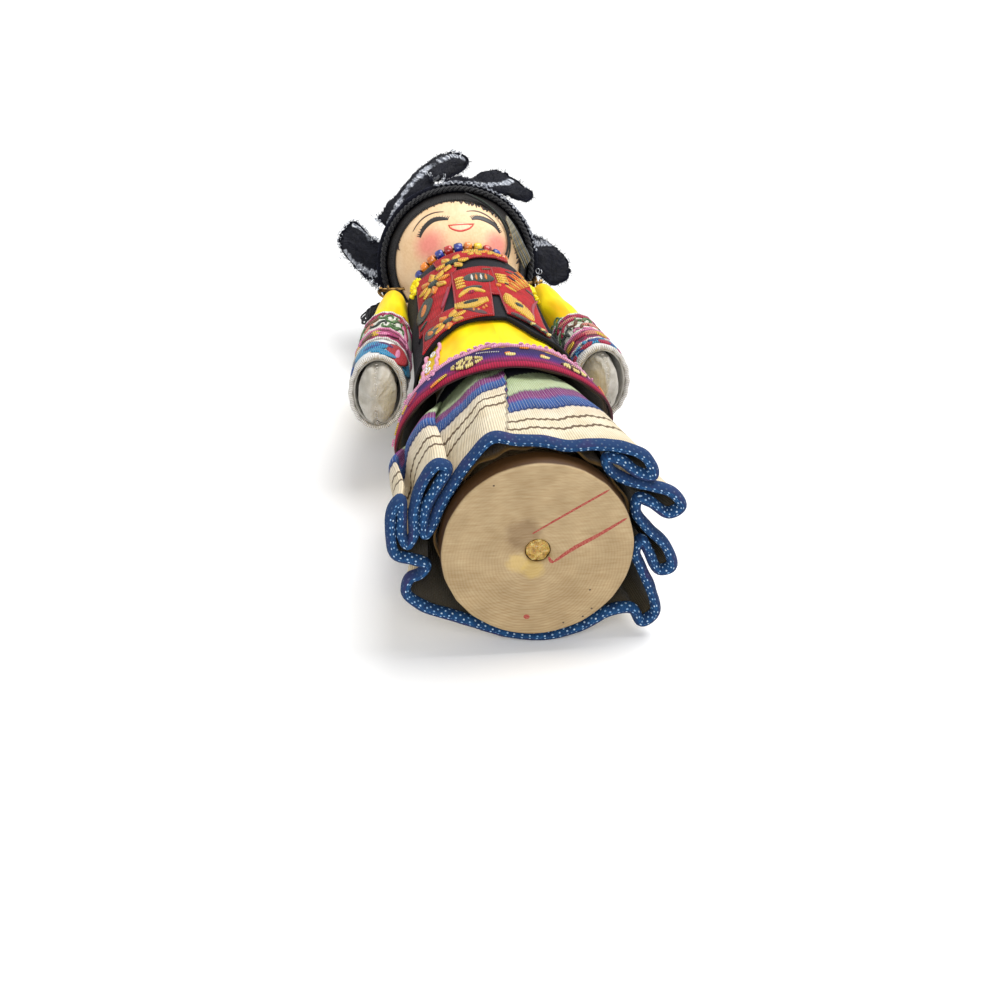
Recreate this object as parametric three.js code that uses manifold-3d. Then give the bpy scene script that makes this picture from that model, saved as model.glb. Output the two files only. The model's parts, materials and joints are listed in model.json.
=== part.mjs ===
// A wooden doll in folk costume: a turned body on a flat disc, a ball head, and clothes of real cloth.
// Millimetres, +Z up, the face looks along -Y, and the origin is the centre of the disc's underside.
import * as THREE from 'three';
import { mergeVertices } from 'three/addons/utils/BufferGeometryUtils.js';
import Module from 'manifold-3d';

const wasm = await Module();
wasm.setup();

// Wood
const BASE_RADIUS = 22;
const BASE_HEIGHT = 7;
const BASE_ROUND = 0.8;
const BODY_LENGTH = 150;
const BODY_FOOT_RADIUS = 16.5;
const BODY_WAIST_RADIUS = 14;
const CHEST_RADIUS = 15;
const CHEST_FOOT_DROP = 65;
// The turned shoulder, as [distance inside the chest's radius, drop below the top of the neck]
const SHOULDER_ROUND = [[0, 25], [0.5, 20], [1.4, 16.5], [3.2, 11.8], [6.3, 8.5]];
const WAIST_STRAIGHT_BELOW = 8;
const WAIST_STRAIGHT_ABOVE = 2;
const NECK_RADIUS = 6.5;
const NECK_LENGTH = 6;
const HEAD_RADIUS = 20.5;
const HEAD_SEAT_RADIUS = 7.7;
const DOWEL_RADIUS = 2.7;
const DOWEL_IN_HEAD = 12;
const BORE_CLEARANCE = 0.2;
const GLUE_DEPTH = 1.4;
const GLUE_RECESS = 0.2;

// Cloth and the gaps that keep neighbours apart
const GAP = 0.3;
const SKIRT_CLOTH = 0.5;
const LINING_CLOTH = 0.5;
const TUNIC_CLOTH = 0.9;
const VEST_CLOTH = 0.9;
const RIBBON_THICKNESS = 0.6;
const SLEEVE_CLOTH = 0.6;
const CUFF_THICKNESS = 0.6;

// Skirt
const HEM_HEIGHT = 5.2;
const PIPING_RADIUS = 0.95;
const WAIST_DROP = 89.5;
const WAISTBAND_HEIGHT = 5;
const WAISTBAND_THICKNESS = 3.1;
const LINING_FOOT_GAP = 1.3;
const LINING_FOOT_FLARE = 0.6;

// Tunic, vest and ribbons, as drops below the top of the neck
const TUNIC_HEM_DROP = 106;
// The tunic's lower edge as [angle, drop]. It is shorter behind and at the left side.
const TUNIC_HEM = [
  [-180, 98], [-130, 98], [-105, 101], [-85, TUNIC_HEM_DROP],
  [50, TUNIC_HEM_DROP], [72, 102], [90, 98], [180, 98],
];
const TUNIC_NECK_DROP = 7;
const HEM_RIBBON_WIDTH = 11;
const HEM_CORD_RADIUS = 0.8;
const VEST_NECK_DROP = 8.5;
// The vest's lower edge as [angle, drop]. Its left flap hangs lower than the rest.
const VEST_HEM = [
  [-180, 74], [-120, 74], [-90, 75], [-56, 74.5], [-40, 73.5], [-25, 70.8], [-12, 69.5], [2, 71.2],
  [11, 70], [20, 75.5], [28, 80], [60, 79], [90, 73], [120, 73], [180, 74],
];
// Levels that every garment of the chest shares, so that their walls stay parallel over the shoulders
const CHEST_DROPS = [55, 40, 27, 19, 13, 9.5];
// Corners of the ribbons sewn on the vest: [angle, drop] of lower left, lower right, upper right, upper left
const VEST_RIBBONS = {
  vest_ribbon_neck: { corners: [[-30, 27], [34, 19], [34, 12.5], [-34, 16.5]], columns: 10, rows: 4 },
  vest_ribbon_right: { corners: [[-62, 56], [-38, 56], [-26, 28], [-56, 25]], columns: 4, rows: 8 },
  vest_ribbon_centre: { corners: [[-23, 69.5], [1, 70.5], [12, 33], [-18, 33]], columns: 4, rows: 8 },
  vest_ribbon_left: { corners: [[16, 67], [36, 71], [56, 26.5], [13.5, 32]], columns: 5, rows: 9 },
  vest_ribbon_hem: { corners: [[-56, 72.5], [-24.5, 69], [-24.5, 57.5], [-56, 56.6]], columns: 5, rows: 4 },
};
const COLLAR_HEIGHT = 2.8;
const COLLAR_THICKNESS = 1.2;

// Necklace
const NECKLACE_RADIUS = 15;
const NECKLACE_DROP = 6.8;
const BEAD_COUNT = 11;
const BEAD_RADIUS = 1.5;
const BEAD_LENGTH = 2.5;
const BEAD_FIRST_ANGLE = -62;
const THREAD_RADIUS = 0.4;
const THREAD_CLEARANCE = 0.35;

// Arms
const SHOULDER_DROP = 13;
const RIGHT_WRIST_DROP = 69;
const LEFT_WRIST_DROP = 70;
const SLEEVE_TOP_HALF_WIDTH = 3.6;
const SLEEVE_TOP_HALF_DEPTH = 5;
const SLEEVE_DOME = 4.6;
const WRIST_HALF_WIDTH = 6.5;
const WRIST_HALF_DEPTH = 9.6;
const HAND_HALF_WIDTH = 5;
const HAND_HALF_DEPTH = 8.4;
const HAND_OUT = 6;
const RIGHT_ARM_CLEARANCE = 1.9;
const LEFT_ARM_CLEARANCE = 0.7;
const SHOULDER_CLEARANCE = 0.5;
const PEG_RADIUS = 1.2;
const PEG_HEAD_RADIUS = 2.1;
const PEG_HEAD_THICKNESS = 1;
const PEG_IN_WOOD = 8;
const PEG_CLEARANCE = 0.3;
const UPPER_CUFF_WIDTH = 13;
const MIDDLE_CUFF_WIDTH = 6.4;
const RIGHT_LOWER_CUFF_WIDTH = 11.6;
const LEFT_LOWER_CUFF_WIDTH = 5.6;

// Hair and hat, on the tilted crown of the head
const HAIR_GAP = 0.35;
const HAIR_THICKNESS = 0.4;
const HAIRLINE_DEPTH = 9.7;
const BAND_RADIUS = 0.9;
const BAND_DEPTH = 3.3;
const HAT_THICKNESS = 0.9;
const FLAP_THICKNESS = 1.2;
const FLAP_EDGE_RADIUS = 23;
const TASSEL_LONGITUDE = -113;
const TASSEL_TOP_RADIUS = 0.4;

// Earrings
const EAR_BELOW_CENTRE = 11;
const EAR_BEHIND_CENTRE = 3;
const EAR_PIN_RADIUS = 0.45;
const EAR_PIN_IN_WOOD = 2.5;
const EAR_PIN_OUT = 6.6;
const EARRING_HANG_IN = 1.9;
const EAR_PIN_HEAD_RADIUS = 0.9;
const EAR_PIN_HEAD_THICKNESS = 0.7;
const EARRING_WIRE_RADIUS = 0.42;
const EARRING_HOOP_RADIUS = 3.4;
const CRYSTAL_RADIUS = 1.3;

// Worked-out places
const NECK_TOP = BASE_HEIGHT + BODY_LENGTH;
const HEAD_CENTRE = new THREE.Vector3(
  0, 0, NECK_TOP + Math.sqrt(HEAD_RADIUS ** 2 - HEAD_SEAT_RADIUS ** 2)
);
const BORE_RADIUS = DOWEL_RADIUS + BORE_CLEARANCE;
const WAIST_HEIGHT = NECK_TOP - WAIST_DROP;
const SHOULDER_HEIGHT = NECK_TOP - SHOULDER_DROP;
const VEST_OUTSIDE = GAP + VEST_CLOTH;
const ROUND_SIDES = 24;

const toRadians = THREE.MathUtils.degToRad;
const lerp = THREE.MathUtils.lerp;
const point = (x, y, z) => new THREE.Vector3(x, y, z);

// Closed bodies from rings of points

function signedVolume(vertices, triangles) {
  let volume = 0;
  for (const [a, b, c] of triangles) {
    volume += vertices[a].dot(vertices[b].clone().cross(vertices[c]));
  }
  return volume / 6;
}

function bodyFrom(vertices, triangles) {
  const inwards = signedVolume(vertices, triangles) < 0;
  const order = inwards ? triangles.map(([a, b, c]) => [a, c, b]) : triangles;
  const geometry = new THREE.BufferGeometry();
  const positions = vertices.flatMap((vertex) => [vertex.x, vertex.y, vertex.z]);
  geometry.setAttribute('position', new THREE.Float32BufferAttribute(positions, 3));
  geometry.setIndex(order.flat());
  return geometry;
}

// Rings of one size, joined in order. A ring of one point is a pole. A loop joins the last to the first.
function ringBody(rings, loop = false) {
  const vertices = rings.flat();
  const starts = [];
  let count = 0;
  for (const ring of rings) {
    starts.push(count);
    count += ring.length;
  }
  const triangles = [];
  const joins = loop ? rings.length : rings.length - 1;
  for (let k = 0; k < joins; k += 1) {
    const next = (k + 1) % rings.length;
    const sides = Math.max(rings[k].length, rings[next].length);
    const here = (i) => starts[k] + (rings[k].length === 1 ? 0 : i % sides);
    const there = (i) => starts[next] + (rings[next].length === 1 ? 0 : i % sides);
    for (let i = 0; i < sides; i += 1) {
      if (rings[k].length > 1) triangles.push([here(i), here(i + 1), there(i)]);
      if (rings[next].length > 1) triangles.push([here(i + 1), there(i + 1), there(i)]);
    }
  }
  return bodyFrom(vertices, triangles);
}

// A wall between outer and inner rings, open at both ends
const shellBody = (outer, inner) => ringBody([...outer, ...inner.slice().reverse()], true);

// Two grids of points, joined round their edges
function slabBody(front, back) {
  const rows = front.length;
  const columns = front[0].length;
  const vertices = [...front.flat(), ...back.flat()];
  const at = (r, c) => r * columns + c;
  const behind = rows * columns;
  const triangles = [];
  for (let r = 0; r < rows - 1; r += 1) {
    for (let c = 0; c < columns - 1; c += 1) {
      triangles.push([at(r, c), at(r, c + 1), at(r + 1, c + 1)]);
      triangles.push([at(r, c), at(r + 1, c + 1), at(r + 1, c)]);
      triangles.push([behind + at(r, c), behind + at(r + 1, c + 1), behind + at(r, c + 1)]);
      triangles.push([behind + at(r, c), behind + at(r + 1, c), behind + at(r + 1, c + 1)]);
    }
  }
  const edge = [];
  for (let c = 0; c < columns - 1; c += 1) edge.push(at(0, c));
  for (let r = 0; r < rows - 1; r += 1) edge.push(at(r, columns - 1));
  for (let c = columns - 1; c > 0; c -= 1) edge.push(at(rows - 1, c));
  for (let r = rows - 1; r > 0; r -= 1) edge.push(at(r, 0));
  edge.forEach((a, k) => {
    const b = edge[(k + 1) % edge.length];
    triangles.push([b, a, behind + a]);
    triangles.push([b, behind + a, behind + b]);
  });
  return bodyFrom(vertices, triangles);
}

// A grid of points given a thickness along its own normals
function sheetBody(grid, thickness) {
  const rows = grid.length;
  const columns = grid[0].length;
  const offset = (sign) => grid.map((row, r) => row.map((p, c) => {
    const across = row[Math.min(c + 1, columns - 1)].clone().sub(row[Math.max(c - 1, 0)]);
    const along = grid[Math.min(r + 1, rows - 1)][c].clone().sub(grid[Math.max(r - 1, 0)][c]);
    return p.clone().addScaledVector(across.cross(along).normalize(), sign * thickness / 2);
  }));
  return slabBody(offset(1), offset(-1));
}

// A round tube along a closed path that lies nearly level
function levelTube(path, radius, sides) {
  const rings = path.map((centre, k) => {
    const before = path[(k + path.length - 1) % path.length];
    const after = path[(k + 1) % path.length];
    const tangent = after.clone().sub(before).normalize();
    const sideways = tangent.clone().cross(point(0, 0, 1)).normalize();
    const upwards = sideways.clone().cross(tangent);
    return Array.from({ length: sides }, (_, i) => {
      const angle = 2 * Math.PI * i / sides;
      return centre.clone()
        .addScaledVector(sideways, radius * Math.cos(angle))
        .addScaledVector(upwards, radius * Math.sin(angle));
    });
  });
  return ringBody(rings, true);
}

// Turned and drilled pieces

// Shared vertices merged and the empty triangles at the axis dropped
function weld(geometry) {
  const bare = geometry.clone();
  bare.deleteAttribute('normal');
  bare.deleteAttribute('uv');
  const merged = mergeVertices(bare, 1e-4);
  const source = merged.getIndex().array;
  const index = [];
  for (let t = 0; t < source.length; t += 3) {
    const [a, b, c] = [source[t], source[t + 1], source[t + 2]];
    if (a !== b && b !== c && c !== a) index.push(a, b, c);
  }
  merged.setIndex(index);
  return merged;
}

// A profile of [radius, height] pairs spun round Z
function turned(profile, sides = ROUND_SIDES) {
  const points = profile.map(([radius, height]) => new THREE.Vector2(radius, height));
  const lathe = weld(new THREE.LatheGeometry(points, sides).rotateX(Math.PI / 2));
  const position = lathe.getAttribute('position');
  const index = Array.from(lathe.getIndex().array);
  const vertices = [];
  for (let i = 0; i < position.count; i += 1) {
    vertices.push(point(position.getX(i), position.getY(i), position.getZ(i)));
  }
  const triangles = [];
  for (let t = 0; t < index.length; t += 3) triangles.push(index.slice(t, t + 3));
  return bodyFrom(vertices, triangles);
}

const solidOf = (geometry) => new wasm.Manifold(new wasm.Mesh({
  numProp: 3,
  vertProperties: new Float32Array(geometry.getAttribute('position').array),
  triVerts: new Uint32Array(geometry.getIndex().array),
}));

function geometryOf(solid) {
  const mesh = solid.getMesh();
  const geometry = new THREE.BufferGeometry();
  geometry.setAttribute('position', new THREE.BufferAttribute(mesh.vertProperties, 3));
  geometry.setIndex(new THREE.BufferAttribute(mesh.triVerts, 1));
  return geometry;
}

const drilled = (geometry, tools) => geometryOf(
  tools.reduce((solid, tool) => solid.subtract(solidOf(tool)), solidOf(geometry))
);
const joined = (first, ...others) => geometryOf(
  others.reduce((solid, other) => solid.add(solidOf(other)), solidOf(first))
);

// A round bar along X between two x values
function barAlongX(radius, fromX, toX, y, z, sides = 12) {
  const bar = new THREE.CylinderGeometry(radius, radius, Math.abs(toX - fromX), sides);
  bar.rotateZ(Math.PI / 2).translate((fromX + toX) / 2, y, z);
  return weld(bar);
}

const doll = new THREE.Group();

function add(name, geometry, colour, roughness, metalness = 0) {
  const material = new THREE.MeshStandardMaterial({ color: colour, roughness, metalness });
  const mesh = new THREE.Mesh(geometry, material);
  mesh.name = name;
  doll.add(mesh);
  return mesh;
}

// The trunk: half width and half depth beyond the chest's radius, at drops below the top of the neck

const TRUNK = [
  [TUNIC_NECK_DROP, -3.0, -3.4],
  [12, 0.9, -1.0],
  [19, 1.7, 0.8],
  [27, 2.0, 1.4],
  [47, 2.8, 1.9],
  [67, 4.2, 3.6],
  [82, 6.9, 5.0],
  [95, 10.2, 6.3],
  [TUNIC_HEM_DROP, 13.0, 7.4],
];

const trunkCurve = new THREE.CubicInterpolant(
  TRUNK.map(([drop]) => drop),
  TRUNK.flatMap(([, width, depth]) => [CHEST_RADIUS + width, CHEST_RADIUS + depth]),
  2
);

function trunkAxes(height) {
  const [halfWidth, halfDepth] = trunkCurve.evaluate(NECK_TOP - height);
  return { halfWidth, halfDepth };
}

// A point on the tunic's outside, or that far off it, at an angle from the front towards +X
function trunkPoint(angle, height, offset) {
  const { halfWidth, halfDepth } = trunkAxes(height);
  const turn = toRadians(angle);
  return point((halfWidth + offset) * Math.sin(turn), -(halfDepth + offset) * Math.cos(turn), height);
}

const angles = Array.from({ length: ROUND_SIDES }, (_, i) => 360 * i / ROUND_SIDES);
const trunkRing = (heightAt, offset) => angles.map((a) => trunkPoint(a, heightAt(a), offset));

const level = (height) => () => height;
const midway = (lowerAt, upperAt) => (angle) => (lowerAt(angle) + upperAt(angle)) / 2;
const chestLevels = CHEST_DROPS.map((drop) => level(NECK_TOP - drop));

// A garment round the whole trunk, with an edge or a fold line at each level
function trunkShell(levels, inside, outside) {
  const rings = (offset) => levels.map((heightAt) => trunkRing(heightAt, offset));
  return shellBody(rings(outside), rings(inside));
}

// A ribbon sewn on the trunk. Corners are [angle, height]: lower left, lower right, upper right, upper left.
function trunkPatch(corners, columns, rows, inside) {
  const [lowerLeft, lowerRight, upperRight, upperLeft] = corners;
  const grid = (offset) => Array.from({ length: rows }, (_r, r) => (
    Array.from({ length: columns }, (_c, c) => {
      const u = c / (columns - 1);
      const v = r / (rows - 1);
      const [angle, height] = [0, 1].map((k) => lerp(
        lerp(lowerLeft[k], lowerRight[k], u), lerp(upperLeft[k], upperRight[k], u), v
      ));
      return trunkPoint(angle, height, offset);
    })
  ));
  return slabBody(grid(inside + RIBBON_THICKNESS), grid(inside));
}

// Shoulder pivots

const shoulderAxes = trunkAxes(SHOULDER_HEIGHT);
const SHOULDER_X = shoulderAxes.halfWidth + VEST_OUTSIDE + SHOULDER_CLEARANCE + SLEEVE_TOP_HALF_WIDTH;
const PEG_INNER_X = CHEST_RADIUS - PEG_IN_WOOD;
const PEG_OUTER_X = SHOULDER_X + PEG_HEAD_THICKNESS / 2;

const shoulderBar = (radius, sign, fromX, toX) => barAlongX(
  radius, sign * fromX, sign * toX, 0, SHOULDER_HEIGHT
);
const pegHole = (sign, fromX, toX) => shoulderBar(PEG_RADIUS + PEG_CLEARANCE, sign, fromX, toX);
const bothSides = [-1, 1];

// Wood

function makeWood() {
  const round = BASE_ROUND;
  add('base_disc', turned([
    [BORE_RADIUS, 0],
    [BASE_RADIUS - round, 0],
    [BASE_RADIUS - 0.3 * round, 0.3 * round],
    [BASE_RADIUS, round],
    [BASE_RADIUS, BASE_HEIGHT - round],
    [BASE_RADIUS - 0.3 * round, BASE_HEIGHT - 0.3 * round],
    [BASE_RADIUS - round, BASE_HEIGHT],
    [BORE_RADIUS, BASE_HEIGHT],
    [BORE_RADIUS, 0],
  ], 32), 0xc2ab90, 0.7);

  const core = turned([
    [BORE_RADIUS, BASE_HEIGHT],
    [BODY_FOOT_RADIUS, BASE_HEIGHT],
    [BODY_WAIST_RADIUS, WAIST_HEIGHT - WAIST_STRAIGHT_BELOW],
    [BODY_WAIST_RADIUS, WAIST_HEIGHT + WAISTBAND_HEIGHT + WAIST_STRAIGHT_ABOVE],
    [CHEST_RADIUS, NECK_TOP - CHEST_FOOT_DROP],
    ...SHOULDER_ROUND.map(([inside, drop]) => [CHEST_RADIUS - inside, NECK_TOP - drop]),
    [NECK_RADIUS, NECK_TOP - NECK_LENGTH],
    [NECK_RADIUS, NECK_TOP],
    [BORE_RADIUS, NECK_TOP],
    [BORE_RADIUS, BASE_HEIGHT],
  ]);
  const sockets = bothSides.map((sign) => shoulderBar(
    PEG_RADIUS + BORE_CLEARANCE, sign, PEG_INNER_X - BORE_CLEARANCE, CHEST_RADIUS + 2
  ));
  add('body_core', drilled(core, sockets), 0xcdb493, 0.7);

  const dowelTop = NECK_TOP + DOWEL_IN_HEAD;
  const seatAngle = Math.asin((HEAD_CENTRE.z - NECK_TOP) / HEAD_RADIUS);
  const arcSteps = 12;
  const arc = Array.from({ length: arcSteps + 1 }, (_, k) => {
    const latitude = lerp(-seatAngle, Math.PI / 2, k / arcSteps);
    const radius = k === arcSteps ? 0 : HEAD_RADIUS * Math.cos(latitude);
    return [radius, HEAD_CENTRE.z + HEAD_RADIUS * Math.sin(latitude)];
  });
  const ball = turned([
    [0, dowelTop + BORE_CLEARANCE],
    [BORE_RADIUS, dowelTop + BORE_CLEARANCE],
    [BORE_RADIUS, NECK_TOP],
    ...arc,
  ]);
  add('head_ball', drilled(ball, bothSides.map((sign) => earBar(
    EAR_PIN_RADIUS + BORE_CLEARANCE, sign, earInnerX - BORE_CLEARANCE, earSkinX + 3
  ))), 0xe9cfb2, 0.55);

  const glueTop = GLUE_RECESS + GLUE_DEPTH;
  add('glue_plug', turned([
    [0, GLUE_RECESS], [DOWEL_RADIUS, GLUE_RECESS], [DOWEL_RADIUS, glueTop], [0, glueTop],
  ], 16), 0xa8812f, 0.35);
  add('centre_dowel', turned([
    [0, glueTop + GAP], [DOWEL_RADIUS, glueTop + GAP], [DOWEL_RADIUS, dowelTop], [0, dowelTop],
  ], 16), 0xc9ad84, 0.7);
}

// The pleated skirt. Each hem point is [angle, distance out from the disc's edge, angle at the waist].
// The angles at the waist only ever grow, so the cloth hangs straight there and folds over itself below.

const HEM_POINTS = [
  [-83, 3.1, -51], [-77, 1.9, -48], [-64, 1.7, -44], [-49, 2.1, -38], [-34, 3.8, -31],
  [-20, 6.0, -22], [-10, 3.8, -12], [4, 2.8, -1], [17, 2.3, 10], [29, 4.6, 19],
  [41, 7.5, 27], [52, 9.6, 34], [61, 8.6, 40], [56, 6.0, 45], [45, 5.0, 49],
  [39, 3.4, 53], [45, 1.8, 57], [56, 3.0, 61], [65, 6.8, 66], [72, 10.8, 71],
  [79, 12.2, 76], [81, 8.9, 80], [73, 5.4, 84], [69, 3.2, 88], [76, 1.8, 92],
  [87, 4.0, 97], [97, 8.6, 102], [106, 11.2, 106], [109, 8.6, 110], [100, 4.6, 114],
  [94, 2.6, 118], [101, 1.7, 121], [110, 4.4, 124], [119, 9.2, 127], [127, 13.6, 131],
  [133, 12.6, 135], [131, 8.4, 139], [138, 5.0, 145], [156, 4.1, 157], [175, 3.6, 172],
  [195, 2.9, 190], [211, 3.0, 205], [225, 4.6, 219], [238, 8.0, 229], [248, 9.8, 236],
  [254, 7.8, 241], [255, 5.0, 245], [259, 3.2, 249], [263.5, 6.2, 253], [267, 9.8, 257],
  [277, 10.9, 262], [287, 11.6, 267], [292, 10.6, 271], [286, 9.2, 275], [276, 8.3, 279],
  [271.5, 7.0, 282], [276, 5.7, 285], [288, 6.8, 289], [302, 8.0, 293], [313, 8.0, 297],
  [315, 5.8, 300], [304, 4.6, 303], [291, 4.4, 306],
];
const HEM_STEPS = 2 * HEM_POINTS.length;
// How far the cloth has spread from the waist's round to the hem's folds, at shares of the way down
const SKIRT_ROWS = [[0, 0], [0.27, 0.35], [0.6, 0.68], [1, 1]];

const skirtWaistRadius = BODY_WAIST_RADIUS + GAP + WAISTBAND_THICKNESS - SKIRT_CLOTH;
const skirtTop = WAIST_HEIGHT - GAP;

function polar(angle, radius, height) {
  const turn = toRadians(angle);
  return point(radius * Math.sin(turn), -radius * Math.cos(turn), height);
}

// One level of the skirt's middle surface, smooth through its points
function skirtLevel(height, spread) {
  const corners = HEM_POINTS.map(([hemAngle, out, waistAngle]) => polar(
    lerp(waistAngle, hemAngle, spread), lerp(skirtWaistRadius, BASE_RADIUS + out, spread), height
  ));
  const curve = new THREE.CatmullRomCurve3(corners, true, 'centripetal');
  return Array.from({ length: HEM_STEPS }, (_, k) => curve.getPoint(k / HEM_STEPS));
}

function offsetLevel(level, distance) {
  return level.map((p, k) => {
    const before = level[(k + level.length - 1) % level.length];
    const after = level[(k + 1) % level.length];
    const outwards = after.clone().sub(before).cross(point(0, 0, 1)).normalize();
    return p.clone().addScaledVector(outwards, distance);
  });
}

function makeSkirt() {
  const clothFoot = HEM_HEIGHT + PIPING_RADIUS + GAP;
  const hemLevel = skirtLevel(HEM_HEIGHT, 1);
  const levels = SKIRT_ROWS.map(([share, spread]) => skirtLevel(lerp(skirtTop, clothFoot, share), spread));
  const wall = (side) => levels.map((level) => offsetLevel(level, side * SKIRT_CLOTH / 2));
  add('skirt', shellBody(wall(1), wall(-1)), 0xe3dccb, 0.95);
  add('hem_piping', levelTube(hemLevel, PIPING_RADIUS, 5), 0x2f4f7c, 0.85);

  const liningFoot = BASE_HEIGHT + LINING_FOOT_GAP;
  const footRadius = BASE_RADIUS + LINING_FOOT_FLARE;
  const topRadius = BODY_WAIST_RADIUS + GAP + LINING_CLOTH;
  add('skirt_lining', turned([
    [topRadius, skirtTop],
    [footRadius, liningFoot],
    [footRadius - LINING_CLOTH, liningFoot],
    [topRadius - LINING_CLOTH, skirtTop],
    [topRadius, skirtTop],
  ]), 0x967850, 0.95);

  const bandInside = BODY_WAIST_RADIUS + GAP;
  const bandOutside = bandInside + WAISTBAND_THICKNESS;
  add('waistband', turned([
    [bandInside, WAIST_HEIGHT],
    [bandOutside, WAIST_HEIGHT],
    [bandOutside, WAIST_HEIGHT + WAISTBAND_HEIGHT],
    [bandInside, WAIST_HEIGHT + WAISTBAND_HEIGHT],
    [bandInside, WAIST_HEIGHT],
  ]), 0xd9cfba, 0.95);
}

// Tunic, vest and their trims

const tunicTop = NECK_TOP - TUNIC_NECK_DROP;
const vestTop = NECK_TOP - VEST_NECK_DROP;

// The height of a lower edge at an angle, from its table
const edgeOf = (table) => (angle) => {
  const turn = angle >= 180 ? angle - 360 : angle;
  const next = table.findIndex(([end]) => end > turn);
  const [[from, fromDrop], [to, toDrop]] = table.slice(next - 1, next + 1);
  return NECK_TOP - lerp(fromDrop, toDrop, (turn - from) / (to - from));
};
const tunicFootAt = edgeOf(TUNIC_HEM);
const vestFootAt = edgeOf(VEST_HEM);
const aboveTunicFoot = (rise) => (angle) => tunicFootAt(angle) + rise;

function makeTunicAndVest() {
  const holes = bothSides.map((sign) => pegHole(sign, CHEST_RADIUS - 4, SHOULDER_X));
  const flareTop = NECK_TOP - CHEST_FOOT_DROP;
  const flare = [0, 0.25, 0.5, 0.75, 1].map((share) => (
    (angle) => lerp(tunicFootAt(angle), flareTop, share)
  ));
  const tunic = trunkShell([...flare, ...chestLevels, level(tunicTop)], -TUNIC_CLOTH, 0);
  add('tunic', drilled(tunic, holes), 0xffe619, 0.45);

  const ribbonLevels = [0, HEM_RIBBON_WIDTH].map(aboveTunicFoot);
  add('tunic_hem_ribbon', trunkShell(ribbonLevels, GAP, GAP + RIBBON_THICKNESS), 0x54275f, 0.8);
  const cordRise = HEM_RIBBON_WIDTH + GAP + HEM_CORD_RADIUS;
  const cordPath = trunkRing(aboveTunicFoot(cordRise), GAP + HEM_CORD_RADIUS);
  add('tunic_hem_cord', levelTube(cordPath, HEM_CORD_RADIUS, 6), 0xea87b4, 0.8);

  const vest = trunkShell(
    [vestFootAt, midway(vestFootAt, chestLevels[0]), ...chestLevels, level(vestTop)],
    GAP, VEST_OUTSIDE
  );
  add('vest', drilled(vest, holes), 0x1b1c26, 0.9);

  const neck = trunkAxes(tunicTop);
  const collarInside = neck.halfDepth - COLLAR_THICKNESS;
  const collarFoot = tunicTop + GAP;
  const collarTop = collarFoot + COLLAR_HEIGHT;
  add('collar', turned([
    [collarInside, collarFoot],
    [neck.halfDepth, collarFoot],
    [neck.halfDepth, collarTop],
    [collarInside, collarTop],
    [collarInside, collarFoot],
  ]), 0xb3202c, 0.85);

  for (const [name, { corners, columns, rows }] of Object.entries(VEST_RIBBONS)) {
    const places = corners.map(([angle, drop]) => [angle, NECK_TOP - drop]);
    add(name, trunkPatch(places, columns, rows, VEST_OUTSIDE + GAP), 0xb81f2b, 0.85);
  }
}

// Necklace

const BEAD_COLOURS = [
  0x2a3ca0, 0xf08a18, 0xf08a18, 0x2a3ca0, 0xc8281e, 0x2a3ca0,
  0xf08a18, 0xf2d21c, 0xc8281e, 0x2a3ca0, 0xe06a1c,
];

function makeNecklace() {
  const height = NECK_TOP - NECKLACE_DROP;
  const bore = THREAD_RADIUS + THREAD_CLEARANCE;
  const half = BEAD_LENGTH / 2;
  const shape = weld(turned([
    [bore, -half],
    [lerp(bore, BEAD_RADIUS, 0.35), -half],
    [lerp(bore, BEAD_RADIUS, 0.9), -0.64 * half],
    [BEAD_RADIUS, 0],
    [lerp(bore, BEAD_RADIUS, 0.9), 0.64 * half],
    [lerp(bore, BEAD_RADIUS, 0.35), half],
    [bore, half],
    [bore, -half],
  ], 7));
  shape.rotateY(Math.PI / 2);
  const pitch = THREE.MathUtils.radToDeg((BEAD_LENGTH + GAP) / NECKLACE_RADIUS);
  for (let k = 0; k < BEAD_COUNT; k += 1) {
    const angle = BEAD_FIRST_ANGLE + k * pitch;
    const name = `necklace_bead_${String(k + 1).padStart(2, '0')}`;
    const bead = add(name, shape, BEAD_COLOURS[k % BEAD_COLOURS.length], 0.3);
    bead.position.copy(polar(angle, NECKLACE_RADIUS, height));
    bead.rotation.z = toRadians(angle);
  }
  const thread = add('necklace_thread',
    weld(new THREE.TorusGeometry(NECKLACE_RADIUS, THREAD_RADIUS, 5, 36)), 0x3a2a22, 0.8);
  thread.position.z = height;
}

// Arms. Each hangs from a peg and turns about it, so sizes are given down its length from the pivot.

const ARMS = [
  {
    side: 'right', sign: -1, wristDrop: RIGHT_WRIST_DROP,
    clearance: RIGHT_ARM_CLEARANCE, lowerCuffWidth: RIGHT_LOWER_CUFF_WIDTH,
  },
  {
    side: 'left', sign: 1, wristDrop: LEFT_WRIST_DROP,
    clearance: LEFT_ARM_CLEARANCE, lowerCuffWidth: LEFT_LOWER_CUFF_WIDTH,
  },
];

// Level rings of an arm, each [distance below the pivot, half width, half depth]
function armRings(sections, centreAt, sides = 16) {
  return sections.map(([below, halfWidth, halfDepth]) => {
    const centre = centreAt(below);
    if (halfWidth === 0) return [centre];
    return Array.from({ length: sides }, (_, i) => {
      const angle = 2 * Math.PI * i / sides;
      return centre.clone().add(point(halfWidth * Math.cos(angle), halfDepth * Math.sin(angle), 0));
    });
  });
}

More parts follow.
